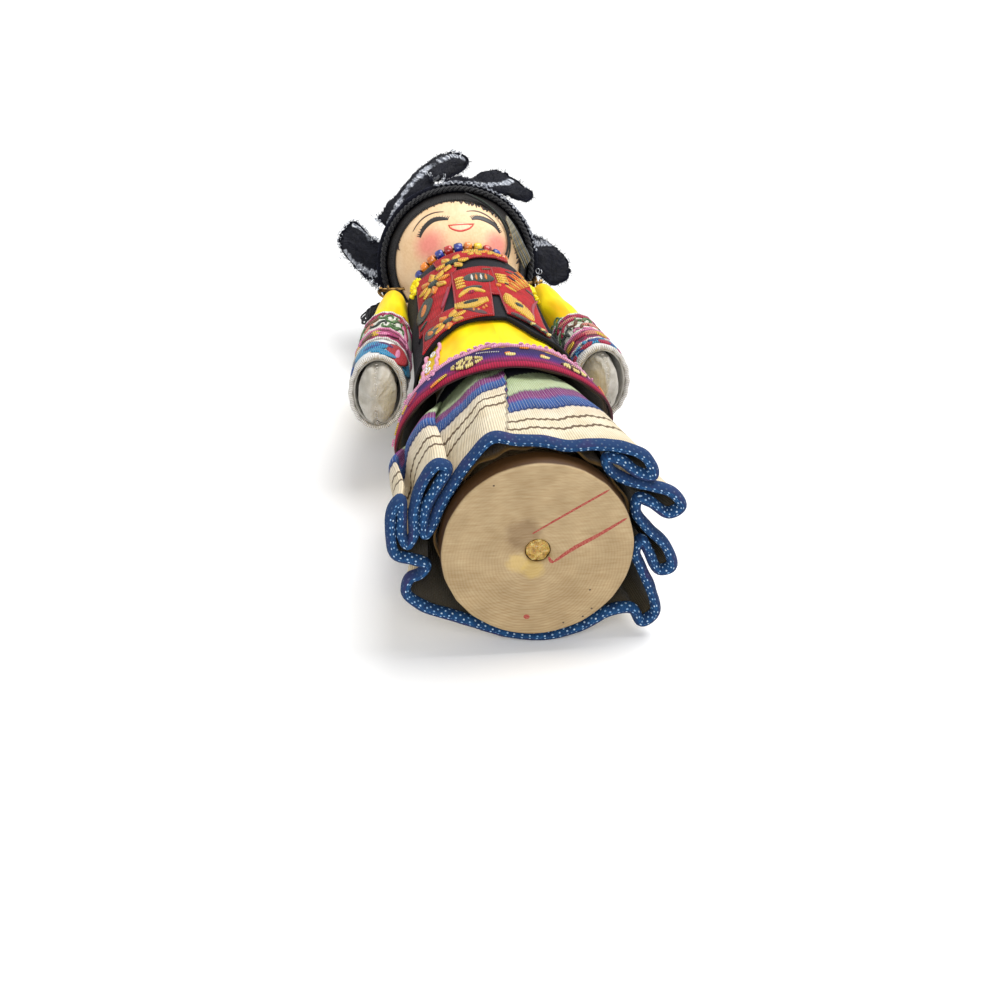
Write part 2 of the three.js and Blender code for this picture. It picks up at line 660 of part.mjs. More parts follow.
function makeArm({ side, sign, wristDrop, clearance, lowerCuffWidth }) {
  const wristHeight = NECK_TOP - wristDrop;
  const length = SHOULDER_HEIGHT - wristHeight;
  const cuffOutside = GAP + CUFF_THICKNESS;
  const wristX = trunkAxes(wristHeight).halfWidth + VEST_OUTSIDE + clearance
    + WRIST_HALF_WIDTH + cuffOutside;
  const centreAt = (below) => point(
    sign * lerp(SHOULDER_X, wristX, below / length), 0, SHOULDER_HEIGHT - below
  );
  const sleeveAxes = (below) => {
    const share = Math.max(0, below / length) ** 0.8;
    return [
      lerp(SLEEVE_TOP_HALF_WIDTH, WRIST_HALF_WIDTH, share),
      lerp(SLEEVE_TOP_HALF_DEPTH, WRIST_HALF_DEPTH, share),
    ];
  };
  const section = (below, inset) => {
    const [halfWidth, halfDepth] = sleeveAxes(below);
    return [below, halfWidth - inset, halfDepth - inset];
  };
  // The round top of the sleeve, or of what is that far inside it
  const dome = (inset) => {
    const height = SLEEVE_DOME - inset;
    const [, halfWidth, halfDepth] = section(0, inset);
    return [[1, 0], [0.85, 0.53], [0.45, 0.89]].map(
      ([rise, spread]) => [-rise * height, spread * halfWidth, spread * halfDepth]
    );
  };
  const steps = [0, 0.2, 0.45, 0.72, 1].map((share) => share * length);
  const sleeveOuter = [...dome(0), ...steps.map((below) => section(below, 0))];
  const sleeveInner = [...dome(SLEEVE_CLOTH), ...steps.map((below) => section(below, SLEEVE_CLOTH))];
  const sleeve = ringBody(armRings([...sleeveOuter, ...sleeveInner.reverse()], centreAt));
  const inwardHole = pegHole(sign, SHOULDER_X - SLEEVE_TOP_HALF_WIDTH - 2, SHOULDER_X);
  add(`sleeve_${side}`, drilled(sleeve, [inwardHole]), 0xffe619, 0.45);

  const inset = SLEEVE_CLOTH + GAP;
  const handTip = length + HAND_OUT;
  const arm = ringBody(armRings([
    ...dome(inset),
    section(0, inset),
    section(0.3 * length, inset),
    section(0.6 * length, inset),
    [0.85 * length, 0.92 * HAND_HALF_WIDTH, 0.9 * HAND_HALF_DEPTH],
    [length, HAND_HALF_WIDTH, HAND_HALF_DEPTH],
    [length + 0.4 * HAND_OUT, 0.95 * HAND_HALF_WIDTH, 0.95 * HAND_HALF_DEPTH],
    [length + 0.8 * HAND_OUT, 0.72 * HAND_HALF_WIDTH, 0.8 * HAND_HALF_DEPTH],
    [length + 0.96 * HAND_OUT, 0.36 * HAND_HALF_WIDTH, 0.48 * HAND_HALF_DEPTH],
    [handTip, 0, 0],
  ], centreAt, 14));
  const halfHead = PEG_HEAD_THICKNESS / 2;
  const headPocket = shoulderBar(
    PEG_HEAD_RADIUS + PEG_CLEARANCE, sign,
    SHOULDER_X - halfHead - PEG_CLEARANCE, SHOULDER_X + halfHead + PEG_CLEARANCE
  );
  add(`stuffed_arm_${side}`, drilled(arm, [inwardHole, headPocket]), 0xc9c6bd, 0.9);

  const shank = shoulderBar(PEG_RADIUS, sign, PEG_INNER_X, PEG_OUTER_X);
  const head = shoulderBar(PEG_HEAD_RADIUS, sign, SHOULDER_X - halfHead, PEG_OUTER_X);
  add(`shoulder_peg_${side}`, joined(shank, head), 0xc7a97e, 0.7);

  const cuffs = [
    ['lower', lowerCuffWidth, 0xf0f0ee],
    ['middle', MIDDLE_CUFF_WIDTH, 0x8c1f4d],
    ['upper', UPPER_CUFF_WIDTH, 0xf2ece8],
  ];
  let foot = length;
  for (const [level, width, colour] of cuffs) {
    const rows = [foot - width + GAP, foot];
    const outer = armRings(rows.map((below) => section(below, -cuffOutside)), centreAt);
    const inner = armRings(rows.map((below) => section(below, -GAP)), centreAt);
    add(`cuff_${level}_${side}`, shellBody(outer, inner), colour, 0.85);
    foot -= width;
  }
}

// Hair, headband and hat. The crown's axis leans back and to one side, square to the hairline.

const CROWN_AXIS = point(0.092, 0.40, 1).normalize();
const hairInside = HEAD_RADIUS + HAIR_GAP;
const hairOutside = hairInside + HAIR_THICKNESS;
const hatOutside = hairOutside + GAP + HAT_THICKNESS;

// A bowl of the crown: sphere caps from a depth below the head's centre, seen along the crown's axis
function crownBowl(inside, outside, depth, steps) {
  const arc = (radius) => Array.from({ length: steps + 1 }, (_, k) => {
    const latitude = lerp(Math.PI / 2, -Math.asin(depth / radius), k / steps);
    return [k === 0 ? 0 : radius * Math.cos(latitude), radius * Math.sin(latitude)];
  });
  return turned([...arc(outside), ...arc(inside).reverse()]);
}

// Where the crown's surface of a given radius crosses a depth, at a longitude from the front towards +X
function crownPoint(longitude, radius, depth) {
  const turn = toRadians(longitude);
  const level = CROWN_AXIS.x * Math.sin(turn) - CROWN_AXIS.y * Math.cos(turn);
  const reach = Math.hypot(level, CROWN_AXIS.z);
  const latitude = Math.atan2(CROWN_AXIS.z, level) - Math.acos(-depth / radius / reach);
  const out = radius * Math.cos(latitude);
  return point(out * Math.sin(turn), -out * Math.cos(turn), radius * Math.sin(latitude)).add(HEAD_CENTRE);
}

// Four velvet flaps stand up from the hat's edge. Each has its longitudes on the head, how far it bows,
// and the points that its free edge passes, from the head's centre.
const FLAPS = {
  hat_flap_front: {
    from: -64, to: -13, bow: [-3, -4, -2],
    edge: [
      [-21.5, -12, 8.5], [-16.5, -15.2, 14.5], [-9.5, -18.8, 23], [-2.6, -22.4, 30],
      [4, -22.4, 34], [7, -20, 33.5], [3.3, -18.6, 27.5], [-5, -20, 16.5],
    ],
  },
  hat_flap_side: {
    from: -7, to: 34, bow: [0, -2, 0],
    edge: [
      [-1.5, -21, 13], [3.1, -20.8, 14], [9.7, -20.4, 13.5], [13.7, -21.9, 18],
      [19, -20, 14], [23.5, -17.3, 9], [20.8, -16.6, 5.5], [15.4, -19, 5.5],
    ],
  },
  hat_flap_right: {
    from: -74, to: -104, bow: [-2, 0, 0],
    edge: [
      [-24.6, -5.5, 8], [-26, -6, 11], [-29.5, -8.5, 15.5], [-33.2, -6, 13.5],
      [-33.8, -3, 9.5], [-31, 0.5, 6], [-27.5, 3, 1], [-24.4, 3.5, -5],
    ],
  },
  hat_flap_left: {
    from: 70, to: 98, bow: [1, 0, 1],
    edge: [
      [24.2, -4.8, 3], [25.6, -4, 5.5], [29.7, -1, 8], [34, 3.5, 6],
      [33.5, 7, 2], [28.5, 7.4, -2], [25.4, 4, -4], [24.4, 2.5, -6.5],
    ],
  },
};
const FLAP_COLUMNS = 12;
const FLAP_ROWS = 5;

function makeFlap(name, { from, to, bow, edge }) {
  const footRadius = hatOutside + GAP + FLAP_THICKNESS / 2;
  const footDepth = BAND_DEPTH - BAND_RADIUS - GAP - FLAP_THICKNESS;
  const growth = footRadius - FLAP_EDGE_RADIUS;
  const edgeCurve = new THREE.CatmullRomCurve3(edge.map((place) => {
    const outwards = point(...place);
    return outwards.addScaledVector(outwards.clone().normalize(), growth).add(HEAD_CENTRE);
  }), false, 'centripetal');
  const columns = Array.from({ length: FLAP_COLUMNS }, (_, c) => {
    const u = c / (FLAP_COLUMNS - 1);
    const foot = crownPoint(lerp(from, to, u), footRadius, footDepth);
    const free = edgeCurve.getPoint(u);
    const pull = foot.clone().lerp(free, 0.5).add(point(...bow));
    return new THREE.QuadraticBezierCurve3(foot, pull, free);
  });
  const grid = Array.from({ length: FLAP_ROWS }, (_, r) => (
    columns.map((column) => column.getPoint(r / (FLAP_ROWS - 1)))
  ));
  add(name, sheetBody(grid, FLAP_THICKNESS), 0x15151b, 0.9);
}

function makeHead() {
  const crownTurn = new THREE.Quaternion().setFromUnitVectors(point(0, 0, 1), CROWN_AXIS);
  const place = (mesh) => {
    mesh.position.copy(HEAD_CENTRE);
    mesh.quaternion.copy(crownTurn);
  };
  const hair = crownBowl(hairInside, hairOutside, HAIRLINE_DEPTH, 10);
  const toWorld = new THREE.Matrix4().compose(HEAD_CENTRE, crownTurn, point(1, 1, 1));
  hair.applyMatrix4(toWorld);
  const pinHoles = bothSides.map((sign) => earBar(
    EAR_PIN_RADIUS + GAP, sign, earInnerX, earSkinX + 3
  ));
  add('hair', drilled(hair, pinHoles), 0x17120f, 0.5);

  const bandCentre = hairOutside + GAP + BAND_RADIUS;
  const bandCircle = Math.sqrt(bandCentre ** 2 - BAND_DEPTH ** 2);
  const band = weld(new THREE.TorusGeometry(bandCircle, BAND_RADIUS, 5, 36).translate(0, 0, -BAND_DEPTH));
  place(add('headband_cord', band, 0x1b1b1f, 0.6));
  const hatDepth = BAND_DEPTH - BAND_RADIUS - GAP;
  const cap = crownBowl(hairOutside + GAP, hatOutside, hatDepth, 6);
  place(add('hat_cap', cap, 0x15151b, 0.9));
  for (const [name, flap] of Object.entries(FLAPS)) makeFlap(name, flap);
  const tasselAt = bandCentre + BAND_RADIUS + GAP + TASSEL_TOP_RADIUS;
  makeTassel(crownPoint(TASSEL_LONGITUDE, tasselAt, BAND_DEPTH));
}

// A black yarn tassel that hangs from the headband beside the right ear
function makeTassel(top) {
  const sections = [
    [0, 0, 0.5], [1, -0.6, 1.0], [3, -2.2, 1.6], [5.2, -4.4, 2.9], [6, -7.4, 3.1], [5.8, -10, 2.0],
  ];
  const sides = 10;
  const rings = sections.map(([out, down, radius]) => {
    const centre = top.clone().add(point(-out, 0.35 * out, down));
    return Array.from({ length: sides }, (_, i) => {
      const angle = 2 * Math.PI * i / sides;
      return centre.clone().add(point(radius * Math.cos(angle), radius * Math.sin(angle), 0));
    });
  });
  const first = [rings[0][0].clone().add(rings[0][sides / 2]).multiplyScalar(0.5)];
  const lastRing = rings[rings.length - 1];
  const last = [lastRing[0].clone().add(lastRing[sides / 2]).multiplyScalar(0.5)];
  add('side_tassel', ringBody([first, ...rings, last]), 0x15131a, 0.95);
}

// Earrings: a pin with a head in each side of the ball, and a wire hoop with a crystal that swings on it

const earHeight = HEAD_CENTRE.z - EAR_BELOW_CENTRE;
const earSkinX = Math.sqrt(HEAD_RADIUS ** 2 - EAR_BELOW_CENTRE ** 2 - EAR_BEHIND_CENTRE ** 2);
const earInnerX = earSkinX - EAR_PIN_IN_WOOD;
const earBar = (radius, sign, fromX, toX) => barAlongX(
  radius, sign * fromX, sign * toX, EAR_BEHIND_CENTRE, earHeight, 8
);
const EARRINGS = [
  { side: 'right', sign: -1, hoopTurn: 68 },
  { side: 'left', sign: 1, hoopTurn: 0 },
];

function makeEarring({ side, sign, hoopTurn }) {
  const pinEnd = earSkinX + EAR_PIN_OUT;
  const shank = earBar(EAR_PIN_RADIUS, sign, earInnerX, pinEnd);
  const head = earBar(EAR_PIN_HEAD_RADIUS, sign, pinEnd - 0.1, pinEnd + EAR_PIN_HEAD_THICKNESS);
  add(`ear_pin_${side}`, joined(shank, head), 0x8f7a4c, 0.35, 0.9);

  const hangX = sign * (pinEnd - EARRING_HANG_IN);
  const loopRadius = EAR_PIN_RADIUS + GAP + EARRING_WIRE_RADIUS;
  const loop = weld(new THREE.TorusGeometry(loopRadius, EARRING_WIRE_RADIUS, 4, 10).rotateY(Math.PI / 2));
  loop.translate(hangX, EAR_BEHIND_CENTRE, earHeight);
  const hoop = weld(new THREE.TorusGeometry(EARRING_HOOP_RADIUS, EARRING_WIRE_RADIUS, 4, 16));
  hoop.rotateX(Math.PI / 2).rotateZ(toRadians(90 - hoopTurn));
  const hoopHeight = earHeight - loopRadius - EARRING_HOOP_RADIUS;
  hoop.translate(hangX, EAR_BEHIND_CENTRE, hoopHeight);
  add(`earring_hoop_${side}`, joined(loop, hoop), 0x9c8652, 0.3, 0.9);

  const crystal = weld(new THREE.OctahedronGeometry(CRYSTAL_RADIUS));
  const mesh = add(`earring_crystal_${side}`, crystal, 0xdfe6ee, 0.05);
  const seat = hoopHeight - EARRING_HOOP_RADIUS + EARRING_WIRE_RADIUS;
  mesh.position.set(hangX, EAR_BEHIND_CENTRE, seat + GAP + CRYSTAL_RADIUS);
}

makeWood();
makeSkirt();
makeTunicAndVest();
makeNecklace();
ARMS.forEach(makeArm);
makeHead();
EARRINGS.forEach(makeEarring);

export default doll;
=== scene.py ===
# %% [markdown]
# # A wooden doll in folk costume
# The real doll is turned from pale wood and dressed in sewn cloth: a pleated striped skirt, a yellow
# satin tunic, a black vest under embroidered ribbons, stuffed arms and a velvet hat with silver lace.
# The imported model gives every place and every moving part. This file dresses it, piece by piece.
# %% The frame
import json
import math
import random
import bpy
import bmesh
from mathutils import Matrix, Vector, noise

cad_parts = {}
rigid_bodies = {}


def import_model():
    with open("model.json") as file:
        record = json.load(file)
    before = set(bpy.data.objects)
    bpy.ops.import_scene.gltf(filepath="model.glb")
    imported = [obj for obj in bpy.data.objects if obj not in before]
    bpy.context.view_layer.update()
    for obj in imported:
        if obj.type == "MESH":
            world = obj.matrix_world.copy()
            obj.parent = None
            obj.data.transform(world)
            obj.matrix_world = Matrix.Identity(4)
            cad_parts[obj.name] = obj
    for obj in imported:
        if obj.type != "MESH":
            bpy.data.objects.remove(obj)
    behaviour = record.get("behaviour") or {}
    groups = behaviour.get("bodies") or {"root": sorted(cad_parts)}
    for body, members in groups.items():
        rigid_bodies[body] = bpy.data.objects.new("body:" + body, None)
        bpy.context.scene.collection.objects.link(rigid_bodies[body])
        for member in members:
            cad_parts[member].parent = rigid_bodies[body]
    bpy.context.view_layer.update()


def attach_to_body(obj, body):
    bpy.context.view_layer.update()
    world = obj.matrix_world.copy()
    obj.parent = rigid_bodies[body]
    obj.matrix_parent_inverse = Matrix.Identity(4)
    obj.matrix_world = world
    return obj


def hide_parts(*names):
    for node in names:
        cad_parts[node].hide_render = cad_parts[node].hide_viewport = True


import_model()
MM = 0.001

# %% [markdown]
# ## Camera
# In the photograph the doll lies on its back with its feet towards us, so the camera stands under the
# disc and a little in front of it, and the picture's top is the way the face looks.
# %% Camera
EYE = Vector((-55.97, -223.10, -385.53)) * MM
SIGHT = Vector((0.1073, 0.4746, 0.8737)).normalized()
right = SIGHT.cross(Vector((0, -1, 0))).normalized()
above = right.cross(SIGHT)
camera = bpy.data.objects.new("camera", bpy.data.cameras.new("camera"))
camera.data.lens = 72
camera.data.sensor_width = 36
camera.data.clip_start = 0.01
turn = Matrix((right, above, -SIGHT)).transposed().to_4x4()
camera.matrix_world = Matrix.Translation(EYE) @ turn
bpy.context.scene.collection.objects.link(camera)
bpy.context.scene.camera = camera
print("camera looks along", [round(v, 3) for v in SIGHT])

# %% [markdown]
# ## Colours and nodes
# Colours are written as they look on screen, and one function turns them into the linear values that
# Blender's shaders want. A second one adds any node, with its settings and what is linked into it.
# %% Colour and node helpers
def linear(hex_colour):
    shares = [int(hex_colour[i:i + 2], 16) / 255 for i in (0, 2, 4)]
    return tuple(s / 12.92 if s <= 0.04045 else ((s + 0.055) / 1.055) ** 2.4 for s in shares) + (1.0,)


def add(tree, kind, inputs=None, **settings):
    node = tree.nodes.new(kind)
    for name, value in settings.items():
        setattr(node, name, value)
    for name, value in (inputs or {}).items():
        if isinstance(value, bpy.types.NodeSocket):
            tree.links.new(value, node.inputs[name])
        else:
            node.inputs[name].default_value = value
    return node


def blend_colours(tree, share, first, second, how="MIX"):
    node = add(tree, "ShaderNodeMix", {0: share, 6: first, 7: second}, data_type="RGBA", blend_type=how)
    return node.outputs[2]


def ramp(tree, value, stops, smooth=True):
    node = add(tree, "ShaderNodeValToRGB", {"Fac": value})
    colours = node.color_ramp
    colours.interpolation = "LINEAR" if smooth else "CONSTANT"
    while len(colours.elements) < len(stops):
        colours.elements.new(1.0)
    for element, (place, colour) in zip(colours.elements, stops):
        element.position = place
        element.color = linear(colour)
    return node.outputs["Color"]


def sums(tree, how, first, second, clamp=False):
    return add(tree, "ShaderNodeMath", {0: first, 1: second}, operation=how, use_clamp=clamp).outputs[0]


def plus(tree, first, second):
    return sums(tree, "ADD", first, second)


def times(tree, first, second):
    return sums(tree, "MULTIPLY", first, second)


def part(tree, vector, axis):
    return add(tree, "ShaderNodeSeparateXYZ", {"Vector": vector}).outputs[axis]


def distance_to(tree, space, place):
    inputs = {0: space, 1: place}
    return add(tree, "ShaderNodeVectorMath", inputs, operation="DISTANCE").outputs["Value"]


def fade(tree, value, start, end, first, last, how="LINEAR"):
    """A share that runs from first to last while the value runs from start to end."""
    return add(tree, "ShaderNodeMapRange", {
        "Value": value, "From Min": start, "From Max": end, "To Min": first, "To Max": last,
    }, interpolation_type=how).outputs["Result"]


# %% [markdown]
# ## Finishes
# Every finish starts the same way: a shader, a space in millimetres to draw in, and a bump that takes
# the heights of weave, grain or thread. Cloth and thread are drawn in their own UVs, which are written
# in millimetres along and across the cloth, and wood and paint in the object's own space.
# %% A finish to start from
def millimetres(tree, own_uv):
    source = add(tree, "ShaderNodeTexCoord").outputs["UV" if own_uv else "Object"]
    scale = (1, 1, 1) if own_uv else (1000, 1000, 1000)
    return add(tree, "ShaderNodeVectorMath", {0: source, 1: scale}, operation="MULTIPLY").outputs[0]


def finish(name, draw, own_uv=True, **shader):
    material = bpy.data.materials.new(name)
    material.use_nodes = True
    tree = material.node_tree
    tree.nodes.clear()
    surface = add(tree, "ShaderNodeBsdfPrincipled", shader)
    space = millimetres(tree, own_uv)
    colour, height, roughness = draw(tree, space)
    tree.links.new(colour, surface.inputs["Base Color"])
    if roughness is not None:
        tree.links.new(roughness, surface.inputs["Roughness"])
    if height is not None:
        bump = add(tree, "ShaderNodeBump", {"Height": height, "Strength": 1.0, "Distance": MM})
        tree.links.new(bump.outputs["Normal"], surface.inputs["Normal"])
    output = add(tree, "ShaderNodeOutputMaterial", {"Surface": surface.outputs["BSDF"]})
    output.location = (400, 0)
    return material


def noise_at(tree, space, size, detail=3.0, stretch=(1, 1, 1)):
    drawn = add(tree, "ShaderNodeVectorMath", {0: space, 1: stretch}, operation="MULTIPLY").outputs[0]
    inputs = {"Vector": drawn, "Scale": 1 / size, "Detail": detail}
    return add(tree, "ShaderNodeTexNoise", inputs).outputs["Fac"]


WAVE_SCALE = 0.314


def waves(tree, space, period, wobble, detail, **settings):
    """The wave texture repeats each 0.314 of its own scale, so a period in millimetres divides that."""
    return add(tree, "ShaderNodeTexWave", {
        "Vector": space, "Scale": WAVE_SCALE / period, "Distortion": wobble, "Detail": detail,
        "Detail Scale": 0.6,
    }, **settings).outputs["Fac"]


def bands(tree, space, period, direction="X", wobble=0.0):
    return waves(tree, space, period, wobble, 1.0, bands_direction=direction)


def tint(tree, colour, share, dark, light):
    """Noise or bands laid over a colour as darker and lighter cloth."""
    shade = ramp(tree, share, [(0.25, dark), (0.75, light)])
    return blend_colours(tree, 1.0, colour, shade, "MULTIPLY")


def rgb(tree, colour):
    node = add(tree, "ShaderNodeRGB")
    node.outputs[0].default_value = linear(colour)
    return node.outputs[0]


# %% [markdown]
# Cloth is a plain weave: threads one way and the other, drawn as two crossed waves. Sewing thread lies
# in fine parallel lines across a stitch, and catches the light more than the cotton under it.
# %% Cloth and thread
def weave(tree, space, period, depth):
    threads = plus(tree, bands(tree, space, period, "X"), bands(tree, space, period, "Y"))
    return times(tree, threads, depth)


def cotton(name, colour, period=0.42, depth=0.05, dark="c8c8c8", roughness=0.9, sheen=0.15):
    def draw(tree, space):
        threads = weave(tree, space, period, depth)
        patchy = tint(tree, rgb(tree, colour), noise_at(tree, space, 4.0), dark, "ffffff")
        worn = tint(tree, patchy, threads, "e2e2e2", "ffffff")
        fuzz = times(tree, noise_at(tree, space, 0.5), depth)
        return worn, plus(tree, threads, fuzz), None
    return finish(name, draw, **{
        "Roughness": roughness, "Sheen Weight": sheen, "Sheen Roughness": 0.5, "Specular IOR Level": 0.25,
    })


def satin(name, colour, shadow, gloss=0.36, sheen=0.3, shine=0.45):
    def draw(tree, space):
        lines = bands(tree, space, 0.3, "X")
        folds = noise_at(tree, space, 9.0, 2.0, (1, 0.35, 1))
        shade = ramp(tree, folds, [(0.3, shadow), (0.6, colour)])
        height = plus(tree, times(tree, lines, 0.012), times(tree, folds, 0.9))
        return tint(tree, shade, lines, "f2f2f2", "ffffff"), height, None
    return finish(name, draw, **{
        "Roughness": gloss, "Sheen Weight": sheen, "Sheen Roughness": 0.3, "Specular IOR Level": shine,
    })


def thread(name, colour, dark, period=0.5):
    def draw(tree, space):
        lines = bands(tree, space, period, "X", 0.6)
        strand = ramp(tree, lines, [(0.15, dark), (0.6, colour)])
        mottled = tint(tree, strand, noise_at(tree, space, 1.4), "d8d8d8", "ffffff")
        return mottled, times(tree, lines, 0.14), None
    return finish(name, draw, **{
        "Roughness": 0.5, "Sheen Weight": 0.12, "Sheen Roughness": 0.35, "Specular IOR Level": 0.35,
    })


# %% [markdown]
# ## Pieces
# A piece is gathered from rows of points and joined into faces by one method, whether it is a cloth, a
# tube or a stitch. Open cloth gets its thickness from a Solidify modifier, which is then applied. Every
# piece rides on a body of the frame, and names the solids that it stands for.
# %% Gathering a piece
class Piece:
    def __init__(self, name):
        self.name = name
        self.points = []
        self.faces = []
        self.uvs = []
        self.marks = []
        self.finishes = []

    def rows(self, rows, material, uv, around=False, along=False):
        """Rows of points joined in order. A row of one point is a pole."""
        if material not in self.finishes:
            self.finishes.append(material)
        mark = self.finishes.index(material)
        starts = []
        for row in rows:
            starts.append(len(self.points))
            self.points.extend(row)
        width = max(len(row) for row in rows)
        for r in range(len(rows) if along else len(rows) - 1):
            after = (r + 1) % len(rows)
            for c in range(width if around else width - 1):
                corners = []
                for q, k, real in ((r, c, r), (r, c + 1, r), (after, c + 1, r + 1), (after, c, r + 1)):
                    place = starts[q] + (0 if len(rows[q]) == 1 else k % width)
                    if place not in [found for found, _ in corners]:
                        corners.append((place, uv(real, k)))
                if len(corners) > 2:
                    self.faces.append([found for found, _ in corners])
                    self.uvs.extend(uvs for _, uvs in corners)
                    self.marks.append(mark)

    def make(self, body, *nodes, slot=None, thickness=0.0, offset=-1.0, smooth=60, weld=False, inside=None):
        mesh = bpy.data.meshes.new(self.name)
        mesh.from_pydata([tuple(p * MM) for p in self.points], [], self.faces)
        layer = mesh.uv_layers.new(name="cloth")
        layer.data.foreach_set("uv", [v for uv in self.uvs for v in uv])
        mesh.polygons.foreach_set("material_index", self.marks)
        for material in self.finishes:
            mesh.materials.append(material)
        outwards(mesh, weld)
        piece = bpy.data.objects.new(self.name, mesh)
        bpy.context.scene.collection.objects.link(piece)
        if thickness:
            wall = piece.modifiers.new("cloth", "SOLIDIFY")
            wall.thickness = thickness * MM
            wall.offset = offset
            wall.use_even_offset = False
            if inside:
                face_out(mesh)
                mesh.materials.append(inside)
                wall.material_offset = wall.material_offset_rim = len(self.finishes)
            settle(piece)
        piece.data.set_sharp_from_angle(angle=math.radians(smooth))
        return attach(piece, body, *nodes, slot=slot)


def outwards(mesh, weld=False):
    work = bmesh.new()
    work.from_mesh(mesh)
    if weld:
        bmesh.ops.remove_doubles(work, verts=work.verts, dist=0.01 * MM)
    bmesh.ops.recalc_face_normals(work, faces=work.faces)
    work.to_mesh(mesh)
    work.free()
    mesh.polygons.foreach_set("use_smooth", [True] * len(mesh.polygons))


def face_out(mesh):
    """An open wall of cloth has no inside of its own, so its faces are turned away from its axis."""
    middle = sum((vertex.co for vertex in mesh.vertices), Vector()) / len(mesh.vertices)
    way = 0.0
    for face in mesh.polygons:
        off = face.center - middle
        way += face.area * (off.x * face.normal.x + off.y * face.normal.y)
    if way < 0:
        mesh.flip_normals()


def settle(piece):
    """The modifiers' result, kept as the piece's own plain mesh."""
    graph = bpy.context.evaluated_depsgraph_get()
    mesh = bpy.data.meshes.new_from_object(piece.evaluated_get(graph))
    rough = piece.data
    piece.modifiers.clear()
    piece.data = mesh
    bpy.data.meshes.remove(rough)


def attach(piece, body, *nodes, slot=None):
    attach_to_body(piece, body)
    if nodes:
        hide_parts(*nodes)
    print(piece.name, len(piece.data.polygons), "faces")
    return piece


# %% [markdown]
# Two shapes come back all over the doll. A tube follows a path with a radius at each point, for cords,
# wire and bindings. A stitch is a flattened tube that lies on a surface and runs out to a point at both
# ends, as a satin stitch, a brush stroke or a seam does.
# %% Tubes and stitches
def circle(count):
    """Even angles once round."""
    return [2 * math.pi * k / count for k in range(count)]


def lump(x, y, z):
    """A soft random height at a place, the same each time."""
    return noise.noise(Vector((x, y, z)))


def smooth_path(points, steps):
    """Points joined by a Catmull-Rom curve. Each may carry further values, such as a width."""
    out = []
    last = len(points) - 1
    for k in range(last * steps + 1):
        t, i = k / steps, min(k // steps, last - 1)
        f = t - i
        near = [points[min(max(i + d, 0), last)] for d in (-1, 0, 1, 2)]
        out.append(tuple(
            0.5 * (
                2 * b + (c - a) * f + (2 * a - 5 * b + 4 * c - d) * f * f
                + (3 * b - a - 3 * c + d) * f ** 3
            )
            for a, b, c, d in zip(*near)
        ))
    return out


def lengths(path):
    total, out = 0.0, [0.0]
    for a, b in zip(path, path[1:]):
        total += (b - a).length
        out.append(total)
    return out


def tube(piece, path, radius, material, sides=8, closed=False, flat=1.0, ups=None):
    """A round or flattened tube. ups gives the way that its flat side faces."""
    count = len(path)
    radii = radius if isinstance(radius, list) else [radius] * count
    rings = []
    facing = Vector((0.31, 0.52, 0.8))
    for k, centre in enumerate(path):
        before = path[(k - 1) % count] if closed else path[max(k - 1, 0)]
        after = path[(k + 1) % count] if closed else path[min(k + 1, count - 1)]
        along = (after - before).normalized()
        facing = ups[k] if ups else facing
        side = along.cross(facing).normalized()
        up = side.cross(along)
        facing = up
        rings.append([
            centre + radii[k] * (math.cos(t) * side + flat * math.sin(t) * up)
            for t in circle(sides)
        ])
    at = lengths(path)
    girth = 2 * math.pi * max(radii) / sides
    if not closed:
        rings = [[path[0]]] + rings[1:-1] + [[path[-1]]]
    piece.rows(rings, material, lambda r, c: (at[min(r, count - 1)], c * girth), True, closed)


def stitch(piece, place, points, material, height=0.25, steps=4, sides=6, lift=0.0):
    """points are (x, y, width) in millimetres on the surface that place gives. A thread goes by name."""
    if isinstance(material, str):
        material = THREADS[material]
    drawn = smooth_path(points, steps)
    path = [place(x, y, lift) for x, y, _ in drawn]
    ups = [(place(x, y, lift + 1) - p).normalized() for (x, y, _), p in zip(drawn, path)]
    widths = [max(w, 0.02) / 2 for _, _, w in drawn]
    count = len(path)
    rings = []
    for k, centre in enumerate(path):
        along = (path[min(k + 1, count - 1)] - path[max(k - 1, 0)]).normalized()
        side = along.cross(ups[k]).normalized()
        rings.append([
            centre + widths[k] * math.cos(t) * side + height * max(math.sin(t), -0.35) * ups[k]
            for t in circle(sides)
        ])
    at = lengths(path)
    rings = [[path[0]]] + rings[1:-1] + [[path[-1]]]
    piece.rows(rings, material, lambda r, c: (at[min(r, count - 1)], 0.5 * c), True)


def blob(piece, place, x, y, wide, tall, material, tilt=0.0, height=0.3, lift=0.0):
    """An oval patch of stitches, as wide and tall as given, turned by tilt degrees."""
    c, s = math.cos(math.radians(tilt)), math.sin(math.radians(tilt))
    points = []
    for k in range(7):
        t = math.cos(math.pi * (1 - k / 6))
        points.append((x + t * wide / 2 * c, y + t * wide / 2 * s, tall * math.sqrt(max(1 - t * t, 0))))
    stitch(piece, place, points, material, height, steps=2, sides=8, lift=lift)


def point_at(path, at, distance):
    """The place that far along a path whose lengths are given."""
    k = max(i for i, reach in enumerate(at[:-1]) if reach <= distance or i == 0)
    share = (distance - at[k]) / max(at[k + 1] - at[k], 1e-6)
    return path[k].lerp(path[k + 1], min(share, 1.0))


def on(surface, first, second):
    """A flat millimetre frame laid on a surface of two coordinates about a place on it."""
    here = surface(first, second, 0)
    across = (surface(first + 1, second, 0) - here).length
    down = (surface(first, second + 1, 0) - here).length
    return lambda x, y, lift: surface(first + x / across, second + y / down, lift)


